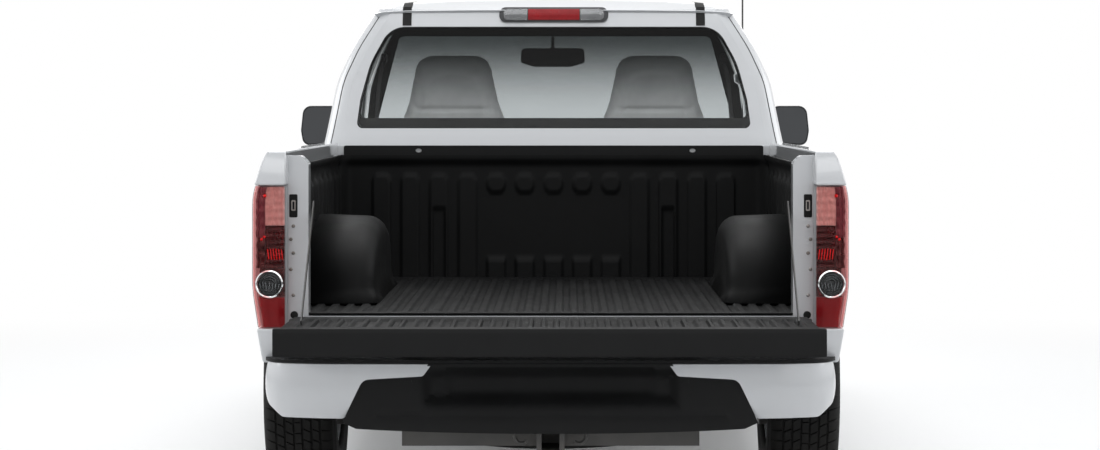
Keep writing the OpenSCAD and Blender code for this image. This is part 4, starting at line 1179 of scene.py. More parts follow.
REVERSE_U = float(np.interp(REVERSE[0], LAMP_PLAN[:, 0], PLAN_RUN))
reverse_hole = [(max(REVERSE_U + REVERSE[2] * math.cos(t), 0.0065), REVERSE[1] + REVERSE[2] * math.sin(t))
                for t in np.linspace(0, 2 * math.pi, 41)[:-1]]
reverse_hole = [p for k, p in enumerate(reverse_hole) if p[0] > 0.0066 or
                reverse_hole[k - 1][0] > 0.0066 or reverse_hole[(k + 1) % 40][0] > 0.0066]
lamp_loop = box_loop(0.001, LAMP_Z[0] + 0.002, PLAN_RUN[-1] - 0.001, LAMP_Z[1] - 0.002,
                     [0.008, 0.004, 0.004, 0.008])
for sign, side in SIDES:
    panel("lamp_cover_" + side, lamp_loop,
          lambda u, z, d, s=sign: tuple(np.array(lamp_point(u, z, 0.003 * d)) * (s, 1, 1)),
          0.010, lamp_red, holes=[reverse_hole], replaces=("tail_lights",), slot="lamp_red")

# %% [markdown]
# Behind the cover lie fluted reflectors. Their ridges are a ripple in the depth of a field, and
# small streaks and beads in front of them are coloured full bright red as painted glints.

# %% Reflectors behind the cover
def reflector_field(s, side, name, z0, z1, u0, u1, flute, depth, material, wave=0.0):
    """A fluted reflector behind the cover."""
    def place(u, z):
        out = np.zeros((3,) + u.shape)
        for i in range(u.shape[0]):
            for j in range(u.shape[1]):
                ripple = 0.5 + 0.5 * math.cos(2 * math.pi * (u[i, j] + wave * math.sin(z[i, j] * 130))
                                              / flute)
                bars = 0.5 + 0.5 * math.cos(2 * math.pi * z[i, j] / (flute * 1.6))
                out[:, i, j] = lamp_point(u[i, j], z[i, j], depth + 0.004 * ripple + 0.003 * bars)
        return s * out[0], out[1], out[2]
    height_sheet(name + "_" + side, np.linspace(u0, u1, int((u1 - u0) / 0.003) + 2),
                 np.linspace(z0, z1, int((z1 - z0) / 0.004) + 2), place, (0, 0.004, 0), material,
                 slot="lamp_red", angle=50)


pink_reflector = finish("pink_reflector", (0.68, 0.74, 0.70), 0.3, other=(0.60, 0.58, 0.55), cloud_scale=40.0)
side_reflector = finish("side_reflector", (0.15, 0.050, 0.080), 0.3, other=(0.11, 0.030, 0.050),
                        cloud_scale=14.0)
# The fluted and cup fields are red, darkened to near black: painted shade for their depth in the lamp.
deep_reflector = finish("deep_reflector", (0.024, 0.0005, 0.002), 0.2, other=(0.060, 0.0008, 0.005),
                        cloud_scale=18.0)
foot_reflector = finish("foot_reflector", (0.23, 0.001, 0.010), 0.35, other=(0.18, 0.001, 0.008),
                        cloud_scale=9.0)
# Full bright red for the streaks and beads: painted glints on the reflectors.
streak_reflector = finish("streak_reflector", (1.0, 0.015, 0.020), 0.2, other=(0.85, 0.008, 0.012),
                          cloud_scale=60.0)
LAMP_END = PLAN_RUN[-1] - 0.004
for sign, side in SIDES:
    reflector_field(sign, side, "stop_field", 0.905, 1.015, 0.003, 0.058, 0.014, 0.012, pink_reflector)
    reflector_field(sign, side, "stop_side", 0.870, 1.015, 0.0595, LAMP_END, 0.02, 0.010, side_reflector)
    reflector_field(sign, side, "fluted_field", 0.782, 0.9035, 0.003, 0.058, 0.011, 0.014, deep_reflector,
                    0.002)
    reflector_field(sign, side, "fluted_side", 0.782, 0.8690, 0.0595, LAMP_END, 0.02, 0.012, deep_reflector)
    # Streaks and beads in full bright red are painted glints.
    for number in range(6):
        streak = bar_mesh("streak", (0.0028, 0.002, 0.034 - 0.002 * abs(number - 2.5)), 0.0006, 1)
        middle = np.array(lamp_point(0.010 + 0.0078 * number, 0.822, 0.0095))
        moved(streak, lambda p, m=middle, s=sign: Vector((s * (m[0] + p.x + 0.12 * p.z), m[1] + p.y,
                                                          m[2] + p.z)))
        finish_piece("streak_%s_%d" % (side, number), fixed_normals(streak), streak_reflector,
                     slot="lamp_red")
    for number, (u, z, size) in enumerate(((0.060, 0.990, 0.005), (0.060, 0.872, 0.004),
                                           (0.068, 0.865, 0.004))):
        bead = lathe("bead", [(0, 0.0003), (0, size), (-size * 0.6, size * 0.7), (-size, 0.0003)], 16,
                     (0, 0, 0))
        middle = np.array(lamp_point(u, z, 0.0085))
        moved(bead, lambda p, m=middle, s=sign: Vector((s * (m[0] + p.y), m[1] + p.x, m[2] + p.z)))
        finish_piece("bead_%s_%d" % (side, number), fixed_normals(bead), streak_reflector, slot="lamp_red")
    reflector_field(sign, side, "cup_field", 0.700, 0.7805, 0.003, LAMP_END, 0.05, 0.020, deep_reflector)
    reflector_field(sign, side, "foot_field", 0.613, 0.6985, 0.003, LAMP_END, 0.05, 0.012, foot_reflector)
print("tail lamp covers and reflectors made")

# %% [markdown]
# The reversing lamp is a bright rim round an open cup with flutes in it, behind a lens of its
# own. The lens is tinted grey and the cup coloured dark: painted shade for the dark inside of the lamp.

# %% Reversing lamps
def disc_piece(name, centre, radii, heights, material, segments=48, s=1, slot=None, body="truck", clip_x=None,
               ring=False):
    """A turned piece facing backwards: rings of the given radii and heights, closed in the middle."""
    points, faces = [], []
    for radius, rise in zip(radii, heights):
        for k in range(segments):
            turn = 2 * math.pi * k / segments
            x = centre[0] + radius * math.cos(turn)
            if clip_x is not None:
                x = max(x, clip_x)
            points.append((s * x, centre[1] - rise, centre[2] + radius * math.sin(turn)))
    for j in range(len(radii) - 1):
        for k in range(segments):
            a, b = j * segments + k, j * segments + (k + 1) % segments
            faces.append((a, b, b + segments, a + segments))
    first = (len(radii) - 1) * segments
    if ring:
        faces += [(first + k, first + (k + 1) % segments, (k + 1) % segments, k) for k in range(segments)]
    else:
        faces += [tuple(range(first, len(radii) * segments)), tuple(range(segments))[::-1]]
    mesh = bpy.data.meshes.new(name)
    mesh.from_pydata(points, [], faces)
    return finish_piece(name, fixed_normals(mesh), material, body=body, slot=slot)


# Grey lens and dark cup: painted shade for the inside of the reversing lamp, whose real lens is clear.
lamp_smoke = glass_finish("lamp_smoke", (0.42, 0.43, 0.44), ior=1.25)
dark_cup = finish("dark_cup", (0.10, 0.10, 0.10), 0.25, other=(0.22, 0.22, 0.22), cloud_scale=60.0,
                  metallic=0.5)
for sign, side in SIDES:
    cx, cz, r = REVERSE
    disc_piece("reverse_rim_" + side, (cx, TAIL + 0.0035, cz),
               [r + 0.004, r + 0.004, r + 0.0005, r - 0.0005, r - 0.0009],
               [-0.004, 0.0012, 0.0022, 0.0012, -0.003], chrome, ring=True, s=sign, slot="lamp_clear",
               clip_x=INNER + 0.003)
    disc_piece("reverse_lens_" + side, (cx, TAIL + 0.0035, cz),
               [r - 0.001, r - 0.0015, r * 0.6, r * 0.25, r * 0.1], [-0.001, 0.0004, 0.0016, 0.0024, 0.0026],
               lamp_smoke, s=sign, slot="lamp_clear", clip_x=INNER + 0.005)
    cup_radii = [r - 0.003 - 0.0035 * k for k in range(9)]
    cup_rises = [-0.004 - 0.0022 * k - (0.003 if k % 2 else 0.0) for k in range(9)]
    disc_piece("reverse_cup_" + side, (cx, TAIL + 0.0035, cz),
               cup_radii[::-1] + [c + 0.0012 for c in cup_radii],
               cup_rises[::-1] + [rise - 0.002 for rise in cup_rises], dark_cup, segments=24, s=sign,
               slot="lamp_clear", clip_x=INNER + 0.005)
    for number in range(7):
        across = (number - 3) * 0.0088
        tall = 0.8 * math.sqrt(max(r * r - across * across, 0)) - 0.004
        bar = bar_mesh("flute", (0.0026, 0.003, tall), 0.0008, 1)
        drop = -0.5 * tall + 0.006 if number % 2 else -0.35 * tall
        moved(bar, lambda p, a=across, b=drop, s=sign: Vector((
            s * max(cx + a + p.x + 0.15 * p.z * (1 if a > 0 else -1), INNER + 0.0055), TAIL + 0.009 + p.y,
            cz + b + p.z)))
        finish_piece("reverse_flute_%s_%d" % (side, number), fixed_normals(bar), chrome, slot="lamp_clear")
print("reversing lamps made")

# %% [markdown]
# The rear bumper is a steel bar with painted ends and a black step between them. Both follow
# one plan curve that wraps round the truck's corners. A blank cut from the bumper's rear view
# is bent round that curve: distance along the blank is distance along the curve.

# %% Rear bumper ends
BUMPER_Y = TAIL - 0.120
BUMPER_PLAN = rounded([(0, BUMPER_Y), (W - 0.44, BUMPER_Y), (W - 0.20, TAIL - 0.112),
                       (W - 0.09, TAIL - 0.085),
                       (W - 0.05, TAIL - 0.040), (W - 0.043, TAIL - 0.006)], 0.09, 400)
BEND_RUN = np.r_[0, np.cumsum(np.linalg.norm(np.diff(BUMPER_PLAN, axis=0), axis=1))]


def bend(u, set_in):
    """Plan point at a distance along the bumper, set in from its face."""
    u_abs = min(abs(u), BEND_RUN[-1])
    x = float(np.interp(u_abs, BEND_RUN, BUMPER_PLAN[:, 0]))
    y = float(np.interp(u_abs, BEND_RUN, BUMPER_PLAN[:, 1]))
    ahead = min(u_abs + 0.004, BEND_RUN[-1])
    behind = max(u_abs - 0.004, 0)
    dx = float(np.interp(ahead, BEND_RUN, BUMPER_PLAN[:, 0]) - np.interp(behind, BEND_RUN, BUMPER_PLAN[:, 0]))
    dy = float(np.interp(ahead, BEND_RUN, BUMPER_PLAN[:, 1]) - np.interp(behind, BEND_RUN, BUMPER_PLAN[:, 1]))
    size = math.hypot(dx, dy)
    return math.copysign(x - set_in * dy / size, u if u else 1), y + set_in * dx / size


def bend_at(x):
    """Distance along the blank at which the curve reaches x."""
    return float(np.interp(x, BUMPER_PLAN[:, 0], BEND_RUN))


def bumper_place(s, lean):
    def place(u, z, depth):
        roll = 0.012 * ((z - 0.455) / 0.08) ** 2 if z > 0.455 else 0.020 * ((z - 0.455) / 0.09) ** 2
        x, y = bend(u, roll * lean + 0.030 * depth)
        return (s * x, y, z)
    return place


end_u = BEND_RUN[-1] - 0.001
end_loop = round_corners([(bend_at(0.335), 0.5175), (bend_at(0.36), 0.484), (bend_at(0.53), 0.474),
                          (bend_at(0.585), 0.362), (bend_at(W - 0.085), 0.364), (end_u, 0.41),
                          (end_u, 0.5175)],
                         [0.004, 0.012, 0.03, 0.012, 0.03, 0.03, 0.004])
for sign, side in SIDES:
    panel("rear_bumper_end_" + side, end_loop, bumper_place(sign, 1.0), 0.014, paint, bevel=0.003,
          replaces=("rear_bumper",), slot="body_paint")

# %% [markdown]
# The black centre is moulded plastic over the bar: a pad to step on, a sunk field for the
# number plate with a light in each slanting cheek, and a lip that curves down in the middle.
# The sunk field is a height over the same bent blank.

# %% Bumper step
def centre_low(x):
    """Lower edge of the black centre: it curves down towards the middle."""
    return 0.333 - 0.012 * (1 - min(abs(x) / 0.52, 1) ** 2)


centre_loop = [(-0.345, 0.5185), (0.345, 0.5185), (0.366, 0.482), (0.534, 0.470), (0.588, 0.352),
               (0.55, 0.335)]
centre_loop += [(x, centre_low(x)) for x in np.linspace(0.50, -0.50, 21)]
centre_loop += [(-0.55, 0.335), (-0.588, 0.352), (-0.534, 0.470), (-0.366, 0.482)]


def centre_place(x, z, depth):
    sunk = float(ridge(np.array(x), np.array(z), -0.372, 0.372, 0.392, 0.512, 0.012, 0.040))
    floor_depth = 0.034 * sunk
    shelf = 0.010 * float(ridge(np.array(x), np.array(z), -0.30, 0.30, 0.420, 0.512, 0.02, 0.02))
    u = bend_at(min(abs(x), 0.81))
    lip = -0.006 * math.exp(-((z - 0.372) / 0.010) ** 2) * (1 if abs(x) < 0.5 else 0)
    px, py = bend(math.copysign(u, x if x else 1), 0.006 + lip + floor_depth + shelf)
    return (px, py + 0.03 * depth, z)


panel("bumper_centre", centre_loop, centre_place, 0.0115, trim_plastic, bevel=0.002,
      replaces=("bumper_step",), slot="trim_plastic")
pad_plan = [(x, y) for x, y in BUMPER_PLAN[::12]] + [BUMPER_PLAN[-1]]
pad_loop = [(-x, y) for x, y in pad_plan[::-1]] + [tuple(p) for p in pad_plan[1:]]
pad_loop = [(x * 0.999, y + 0.003) for x, y in pad_loop]
panel("bumper_pad", pad_loop, lambda x, y, d: (x, y,
                                               0.529 - 0.009 * d + 0.0015 * math.cos(x * 300) * (d == 0)),
      0.02, trim_plastic, bevel=0.002, slot="trim_plastic")
for sign, side in SIDES:
    lens = round_corners([(0.365, 0.455), (0.392, 0.462), (0.388, 0.500), (0.362, 0.500)], 0.005)
    panel("plate_lamp_" + side, lens,
          lambda x, z, d, s=sign: (s * (x + 0.004 * d), BUMPER_Y + 0.026 - (x - 0.362) * 0.7 + 0.006 * d, z),
          0.01, lamp_clear, bevel=0.001, slot="lamp_clear")
print("rear bumper made")

# %% [markdown]
# The rear window is bonded glass: a black ceramic band hides the glue along its edge. The
# brake lamp above it has clear ends over bright cups, which light the bed, and a red middle.
# Two rubber strips cover the roof's seams.

# %% Rear window band, seams and high brake lamp
# The rear glass is almost clear at its foot and nearly black at its top: the dark top is painted shade.
rear_glass = glass_finish("rear_glass", (0.96, 0.98, 0.98), top=(0.07, 0.08, 0.08), low_z=1.20, high_z=1.50,
                          ior=1.25)
panel("rear_glass", window_ring(0.001, 0.001), lambda x, z, d: (x, back_y(z) + 0.004 + 0.004 * d, z), 0.03,
      rear_glass, replaces=("rear_window",), slot="window_glass")
panel("window_band", window_ring(0.004, 0.004), lambda x, z, d: (x, back_y(z) + 0.0085 + 0.0012 * d, z),
      0.02, seal_rubber, holes=[window_ring(0.010, 0.036)], slot="trim_plastic")
panel("window_seal", window_ring(0, 0), lambda x, z, d: (x, back_y(z) + 0.0015 + 0.004 * d, z), 0.02,
      seal_rubber, holes=[window_ring(0.0035, 0.0035)], slot="trim_plastic")
for sign, side in SIDES:
    strip = [(0.5085, 1.534), (0.5405, 1.534), (0.5405, ROOF_Z - 0.046), (0.5085, ROOF_Z - 0.046)]
    panel("seam_strip_" + side, strip, lambda x, z, d, s=sign: (s * x, back_y(z) - 0.002 + 0.006 * d, z),
          0.02, seal_rubber, bevel=0.001, slot="trim_plastic")

    def ditch_place(v, w, d, s=sign):
        x = 0.508 + w
        spot = float(np.interp(-x, -ROOF_SECTION[:200, 0], ROOF_RUN[:200]))
        px, py, pz = roof_place(spot, v, 0)
        return (s * px, py, pz + 0.0015 - 0.004 * d)

    panel("roof_strip_" + side, [(0.045, 0.0), (LINE_RUN[-1] - 0.045, 0.0), (LINE_RUN[-1] - 0.045, 0.033),
                                 (0.045, 0.033)], ditch_place, 0.02, seal_rubber, slot="trim_plastic")

    def corner_place(run, z, d, s=sign):
        reach = CORNER_R + 0.0006 - 0.003 * d
        turn = run / CORNER_R
        return (s * (cab_x(z) - CORNER_R + reach * math.sin(turn)),
                back_y(z) + CORNER_R - reach * math.cos(turn), z)

    panel("corner_seam_" + side, [(0.0343, 1.105), (0.0372, 1.105), (0.0372, SEAM + 0.010),
                                  (0.0343, SEAM + 0.010)],
          corner_place, 0.02, seal_rubber, slot="trim_plastic")
LAMP_MID = ROOF_Z - 0.074
cargo_cup = finish("cargo_cup", (0.14, 0.143, 0.147), 0.3, other=(0.09, 0.093, 0.097), cloud_scale=25.0,
                   metallic=0.4)


def brake_place(bulge, base):
    def place(x, z, depth):
        edge = min(1.0, (0.196 - abs(x)) / 0.03)
        out = bulge * math.sqrt(max(0.0, 1 - ((z - LAMP_MID) / 0.030) ** 2)) * max(edge, 0.0) ** 0.5
        return (x, back_y(z) - (base + out if depth == 0 else -0.004), z)
    return place


lamp_outline = box_loop(-0.195, LAMP_MID - 0.027, 0.195, LAMP_MID + 0.027, 0.024, 8)
red_outline = [(-0.092, LAMP_MID - 0.020), (0.092, LAMP_MID - 0.020), (0.092, LAMP_MID + 0.020),
               (-0.092, LAMP_MID + 0.020)]
panel("brake_lamp_body", lamp_outline, brake_place(0.010, 0.002), 0.012, mirror_plastic, bevel=0.001,
      replaces=("high_brake_light",), slot="lamp_red")
panel("brake_lamp_red", red_outline, brake_place(0.013, 0.004), 0.008, red_reflector, bevel=0.001,
      slot="lamp_red")
for sign, side in SIDES:
    clear = box_loop(0.095, LAMP_MID - 0.020, 0.180, LAMP_MID + 0.020, [0.003, 0.018, 0.018, 0.003])
    panel("cargo_lamp_" + side, clear,
          lambda x, z, d, s=sign: tuple(np.array(brake_place(0.011, 0.004)(x, z, d)) * (s, 1, 1)), 0.007,
          cargo_cup, slot="lamp_clear")
    panel("cargo_lens_" + side, clear,
          lambda x, z, d, s=sign: (s * x, brake_place(0.013, 0.0065)(x, z, 0)[1] + 0.0015 * d, z), 0.01,
          lamp_clear, slot="lamp_clear")
print("window band and brake lamp made")

# %% [markdown]
# Beside the tailgate's opening each jamb carries a latch striker in a black recess, a rubber
# bump stop and the folding stay. The stay is a flat steel link: it runs from a stud on the
# jamb to the open gate. It is made further on, with the small outside fittings.

# %% Jamb fittings
for sign, side in SIDES:
    pocket = box_loop(0.7325, 0.925, 0.7565, 0.992, 0.004)
    panel("striker_pocket_" + side, pocket, lambda x, z, d, s=sign: (s * x, JAMB_Y - 0.0015 + 0.004 * d, z),
          0.02, trim_plastic, bevel=0.001, slot="trim_plastic")
    bar = box_loop(0.738, 0.944, 0.7505, 0.975, 0.003)
    panel("striker_bar_" + side, bar, lambda x, z, d, s=sign: (s * x, JAMB_Y - 0.0035 + 0.0035 * d, z), 0.02,
          chassis_steel, holes=[box_loop(0.7415, 0.948, 0.747, 0.971, 0.002)], bevel=0.0005,
          slot="chassis_steel")
    disc_piece("bump_stop_" + side, (0.742, JAMB_Y, 0.643), [0.011, 0.011, 0.009, 0.005],
               [-0.002, 0.002, 0.003, 0.0035], seal_rubber, s=sign, slot="trim_plastic")
    for hole, height in enumerate((0.900, 0.862, 0.822, 0.775, 0.700)):
        disc_piece("jamb_bolt_%d_%s" % (hole, side), (0.7445 + 0.007 * (hole % 2), JAMB_Y, height),
                   [0.0055, 0.0055, 0.004, 0.002], [-0.001, 0.0025, 0.0035, 0.0035], chassis_steel,
                   segments=6, s=sign, slot="chassis_steel")
print("jamb fittings made")

# %% [markdown]
# A front fender is the same flank, carried over its shoulder to the hood's edge. Its blank is
# laid out along that section, so the shoulder gets enough points. Over the engine the shoulder
# sinks with the hood's line, and towards the nose the whole side is cut back in plan.

# %% Front fenders
HOOD_LINE = rounded([(HOOD_REAR, 1.078), (FRONT_AXLE + 0.25, 1.030), (NOSE - 0.182, 0.960),
                     (NOSE - 0.092, 0.925)], 0.20)
HOOD_EDGE = high("hood")[0]
FENDER = rounded(FLANK + [(W - 0.040, 1.062), (W - 0.085, 1.083), (HOOD_EDGE + 0.006, 1.086)], 0.06)
FENDER_RUN = np.r_[0, np.cumsum(np.linalg.norm(np.diff(FENDER, axis=0), axis=1))]
FENDER_LEAN = np.gradient(FENDER, axis=0)
FENDER_LEAN /= np.linalg.norm(FENDER_LEAN, axis=1)[:, None]


def hood_z(y):
    return float(np.interp(y, HOOD_LINE[:, 0], HOOD_LINE[:, 1]))


def fender_u(z):
    """Distance along the section at a height on the flank."""
    return float(np.interp(z, FENDER[:, 1], FENDER_RUN))


def fender_place(s):
    def place(y, u, depth):
        x, z, tx, tz = (float(np.interp(u, FENDER_RUN, column)) for column in
                        (FENDER[:, 0], FENDER[:, 1], FENDER_LEAN[:, 0], FENDER_LEAN[:, 1]))
        x, z = x - 0.022 * depth * tz, z + 0.022 * depth * tx
        if z > 0.80:
            z = 0.80 + (z - 0.80) * (hood_z(y) - 0.006 - 0.80) / (1.086 - 0.80)
        return (s * (x - nose_cut(y)), y, z)
    return place


END_U = FENDER_RUN[-1]
NEAR_U = float(np.interp(-0.800, -FENDER[150:, 0], FENDER_RUN[150:]))
REAR_Y = DOOR_FRONT + GAP
arch_points = [(y, fender_u(z)) for y, z in
               arc((FRONT_AXLE, AXLE_Z), ARCH_R, math.degrees(math.asin((0.47 - AXLE_Z) / ARCH_R)),
                   180 - math.degrees(math.asin((0.40 - AXLE_Z) / ARCH_R)), 40)]
fender_loop = [(REAR_Y, fender_u(0.40)), (REAR_Y, NEAR_U), (1.325, NEAR_U), (1.345, NEAR_U + 0.02),
               (1.352, END_U),
               (NOSE - 0.216, END_U), (NOSE - 0.216, fender_u(0.703)), (NOSE - 0.334, fender_u(0.703)),
               (NOSE - 0.334, fender_u(0.47))] + arch_points
for sign, side in SIDES:
    panel("fender_" + side, fender_loop, fender_place(sign), 0.024, paint, bevel=0.0035,
          replaces=("front_fenders",), slot="body_paint")

# %% [markdown]
# The hood is one long pressing with a raised middle. The raised field keeps a flat sheet from
# fluttering; its edge is a soft step. Two washer nozzles sit near the windscreen.

# %% Hood
def hood_place(x, y, depth):
    side = abs(x) / HOOD_EDGE
    field = float(ease(np.array((0.47 - 0.10 * (y - HOOD_REAR) - abs(x)) / 0.05)))
    crown = -0.010 * side ** 3 + 0.006 * field * float(ease(np.array((NOSE - 0.13 - y) / 0.12)))
    back = max(0.0, y - (NOSE - 0.30)) / 0.2
    round_edge = -0.005 * max(0.0, (side - 0.93) / 0.07) ** 2
    return (x, y, hood_z(y) - 0.006 + crown + round_edge * (1 - 0.3 * back) - (0.022 if depth else 0))


nose_x = lambda y: W - nose_cut(y) - 0.022
hood_side = [(min(HOOD_EDGE, nose_x(y)), y) for y in np.linspace(HOOD_REAR, NOSE - 0.135, 30)]
hood_front = [(0.66, NOSE - 0.112), (0.60, NOSE - 0.103), (0.45, NOSE - 0.096), (0.2, NOSE - 0.093),
              (0, NOSE - 0.0925)]
hood_loop = hood_side + hood_front + [(-x, y) for x, y in hood_front[-2::-1] + hood_side[::-1]]
panel("hood_panel", hood_loop, hood_place, 0.026, paint, bevel=0.003, body="hood", replaces=("hood",),
      slot="body_paint")
COWL_X = 0.742
cowl_loop = [(-COWL_X, COWL + 0.022), (COWL_X, COWL + 0.022), (COWL_X, HOOD_REAR - 0.004),
             (-COWL_X, HOOD_REAR - 0.004)]
panel("cowl_cover", cowl_loop,
      lambda x, y, d: (x, y, 1.058 - 0.011 * float(ease(np.array((y - COWL - 0.05) / 0.03)))
                       + 0.002 * math.cos(x * 420) * (abs(x) < 0.6) * (y < COWL + 0.07)
                       - 0.004 * d), 0.013, trim_plastic, slot="trim_plastic")
for sign, side in SIDES:
    nozzle = bpy.data.meshes.new("washer_nozzle_" + side)
    turn = bmesh.new()
    bmesh.ops.create_uvsphere(turn, u_segments=16, v_segments=10, radius=1)
    for v in turn.verts:
        v.co = Vector((sign * 0.30 + v.co.x * 0.013, HOOD_REAR + 0.14 + v.co.y * 0.020,
                       hood_place(0.30, HOOD_REAR + 0.14, 0)[2] + v.co.z * 0.007))
    turn.to_mesh(nozzle)
    turn.free()
    finish_piece("washer_nozzle_" + side, nozzle, trim_plastic, body="hood", slot="trim_plastic")
print("fenders and hood made")

# %% [markdown]
# Wheel arches carry a painted flare. Its section is a small lip, swept round the arch; each
# station takes its root from the flank at that height, so the flare grows out of the side.

# %% Arch flares
def flare(name, axle, start, end, front, s):
    stations = np.radians(np.linspace(start, end, 49))
    lip = [(0.062, -0.004), (0.052, 0.004), (0.040, 0.014), (0.026, 0.024), (0.012, 0.032), (0.004, 0.033),
           (0.0, 0.029), (0.001, -0.020), (0.055, -0.020)]
    points, faces = [], []
    for k, t in enumerate(stations):
        ends = min(k, len(stations) - 1 - k) / 5
        fade = min(1.0, 0.35 + 0.65 * ends)
        for out, side_step in lip:
            r = ARCH_R + out
            y, z = axle + r * math.cos(t), AXLE_Z + r * math.sin(t)
            root = bed_x(min(z, 1.0)) - (nose_cut(y) if front else 0)
            points.append((s * (root + (side_step * fade if side_step > 0 else side_step)), y, z))
    n = len(lip)
    for k in range(len(stations) - 1):
        for j in range(n):
            faces.append((k * n + j, k * n + (j + 1) % n, (k + 1) * n + (j + 1) % n, (k + 1) * n + j))
    faces += [tuple(range(n)), tuple(range((len(stations) - 1) * n, len(stations) * n))[::-1]]
    mesh = bpy.data.meshes.new(name)
    mesh.from_pydata(points, [], faces)
    finish_piece(name, fixed_normals(mesh), paint, slot="body_paint", angle=50)


for sign, side in SIDES:
    flare("rear_flare_" + side, REAR_AXLE, 21, 159, False, sign)
    flare("front_flare_" + side, FRONT_AXLE, 15, 172, True, sign)

# %% [markdown]
# The front bumper follows the nose's plan and wraps back to the wheel arches. It is one moulded
# cover with a low air intake and two round fog lamp holes. Height and distance along the curve
# are the two directions of its blank.

# %% Front bumper
FRONT_PLAN = rounded([(0, NOSE - 0.003), (W - 0.42, NOSE - 0.015), (W - 0.19, NOSE - 0.060),
                      (W - 0.075, NOSE - 0.155),
                      (W - 0.023, NOSE - 0.30), (W - 0.018, NOSE - 0.332)], 0.10, 400)
FRONT_RUN = np.r_[0, np.cumsum(np.linalg.norm(np.diff(FRONT_PLAN, axis=0), axis=1))]


def front_bend(u, set_in):
    size = min(abs(u), FRONT_RUN[-1])
    x, y = (float(np.interp(size, FRONT_RUN, FRONT_PLAN[:, k])) for k in (0, 1))
    a, b = max(size - 0.004, 0), min(size + 0.004, FRONT_RUN[-1])
    dx, dy = (float(np.interp(b, FRONT_RUN, FRONT_PLAN[:, k]) - np.interp(a, FRONT_RUN, FRONT_PLAN[:, k]))
              for k in (0, 1))
    run = math.hypot(dx, dy)
    return math.copysign(x + set_in * dy / run, u if u else 1), y - set_in * dx / run


def front_place(u, z, depth):
    ends = 1 - float(ease(np.array((abs(u) - FRONT_RUN[-1] + 0.16) / 0.16)))
    roll = 0.030 * max(0, (z - 0.60) / 0.10) ** 2 + 0.045 * max(0, (0.47 - z) / 0.09) ** 2
    groove = 0.007 * math.exp(-((z - 0.585) / 0.009) ** 2)
    x, y = front_bend(u, (roll + groove) * (0.35 + 0.65 * ends) + 0.020 * depth)
    return (x, y, z)


last = FRONT_RUN[-1]
front_loop = round_corners([(-last, 0.40), (-last + 0.10, 0.384), (last - 0.10, 0.384), (last, 0.40),
                            (last, 0.700), (-last, 0.700)], 0.006)
intake = round_corners([(-0.340, 0.440), (0.340, 0.440), (0.365, 0.535), (-0.365, 0.535)], 0.02)
fogs = [arc((s * 0.545, 0.487), 0.048, 0, 345, 24) for s in (1, -1)]
panel("front_bumper_cover", front_loop, front_place, 0.018, paint, holes=[intake, *fogs], bevel=0.003,
      replaces=("front_bumper",), slot="body_paint")
panel("intake_back", box_loop(-0.39, 0.425, 0.39, 0.55, 0.01),
      lambda u, z, d: (*front_bend(u, 0.060 + 0.006 * d), z), 0.03, trim_plastic, slot="trim_plastic")
print("flares and front bumper made")

# %% [markdown]
# Anything that repeats is made by one small Geometry Nodes tree: it sets out points a step
# apart or a turn apart, puts the same piece on each, and gives the finish. The result is
# turned into a plain mesh. Grille slats, tread blocks, wheel nuts and fins all use it.

# %% Repeat tree
def make_repeat_tree():
    tree = bpy.data.node_groups.new("repeat_piece", "GeometryNodeTree")
    for label, kind in (("Piece", "NodeSocketObject"), ("Count", "NodeSocketInt"),
                        ("Step", "NodeSocketVector"),
                        ("Turn", "NodeSocketVector"), ("Finish", "NodeSocketMaterial")):
        tree.interface.new_socket(label, in_out="INPUT", socket_type=kind)
    tree.interface.new_socket("Geometry", in_out="OUTPUT", socket_type="NodeSocketGeometry")
    nodes, links = tree.nodes, tree.links
    source, result = nodes.new("NodeGroupInput"), nodes.new("NodeGroupOutput")
    points = nodes.new("GeometryNodePoints")
    links.new(source.outputs["Count"], points.inputs["Count"])
    number = nodes.new("GeometryNodeInputIndex")
    shift, spin = nodes.new("ShaderNodeVectorMath"), nodes.new("ShaderNodeVectorMath")
    for maths, label in ((shift, "Step"), (spin, "Turn")):
        maths.operation = "SCALE"
        links.new(source.outputs[label], maths.inputs[0])
        links.new(number.outputs[0], maths.inputs["Scale"])
    place = nodes.new("GeometryNodeSetPosition")
    links.new(points.outputs[0], place.inputs["Geometry"])
    links.new(shift.outputs[0], place.inputs["Position"])
    piece = nodes.new("GeometryNodeObjectInfo")
    links.new(source.outputs["Piece"], piece.inputs["Object"])
    copies = nodes.new("GeometryNodeInstanceOnPoints")
    links.new(place.outputs[0], copies.inputs["Points"])
    links.new(piece.outputs["Geometry"], copies.inputs["Instance"])
    links.new(spin.outputs[0], copies.inputs["Rotation"])
    real = nodes.new("GeometryNodeRealizeInstances")
    links.new(copies.outputs[0], real.inputs[0])
    coat = nodes.new("GeometryNodeSetMaterial")
    links.new(real.outputs[0], coat.inputs["Geometry"])
    links.new(source.outputs["Finish"], coat.inputs["Material"])
    links.new(coat.outputs[0], result.inputs[0])
    return tree


REPEAT = make_repeat_tree()


def repeated(name, piece_mesh, count, step=(0, 0, 0), turn=(0, 0, 0), material=None):
    """A plain mesh of count copies of a mesh, each a step and a turn further than the last."""
    pattern = add_object(name + "_pattern", piece_mesh)
    carrier = add_object(name + "_carrier", bpy.data.meshes.new(name + "_empty"))
    layer = carrier.modifiers.new("repeat", "NODES")
    layer.node_group = REPEAT
    values = {"Piece": pattern, "Count": count, "Step": step, "Turn": turn, "Finish": material}
    for item in REPEAT.interface.items_tree:
        if item.in_out == "INPUT":
            layer[item.identifier] = values[item.name]
    bpy.context.view_layer.update()
    graph = bpy.context.evaluated_depsgraph_get()
    mesh = bpy.data.meshes.new_from_object(carrier.evaluated_get(graph))
    mesh.name = name
    carrier.modifiers.remove(layer)
    bpy.data.objects.remove(carrier)
    bpy.data.objects.remove(pattern)
    return mesh


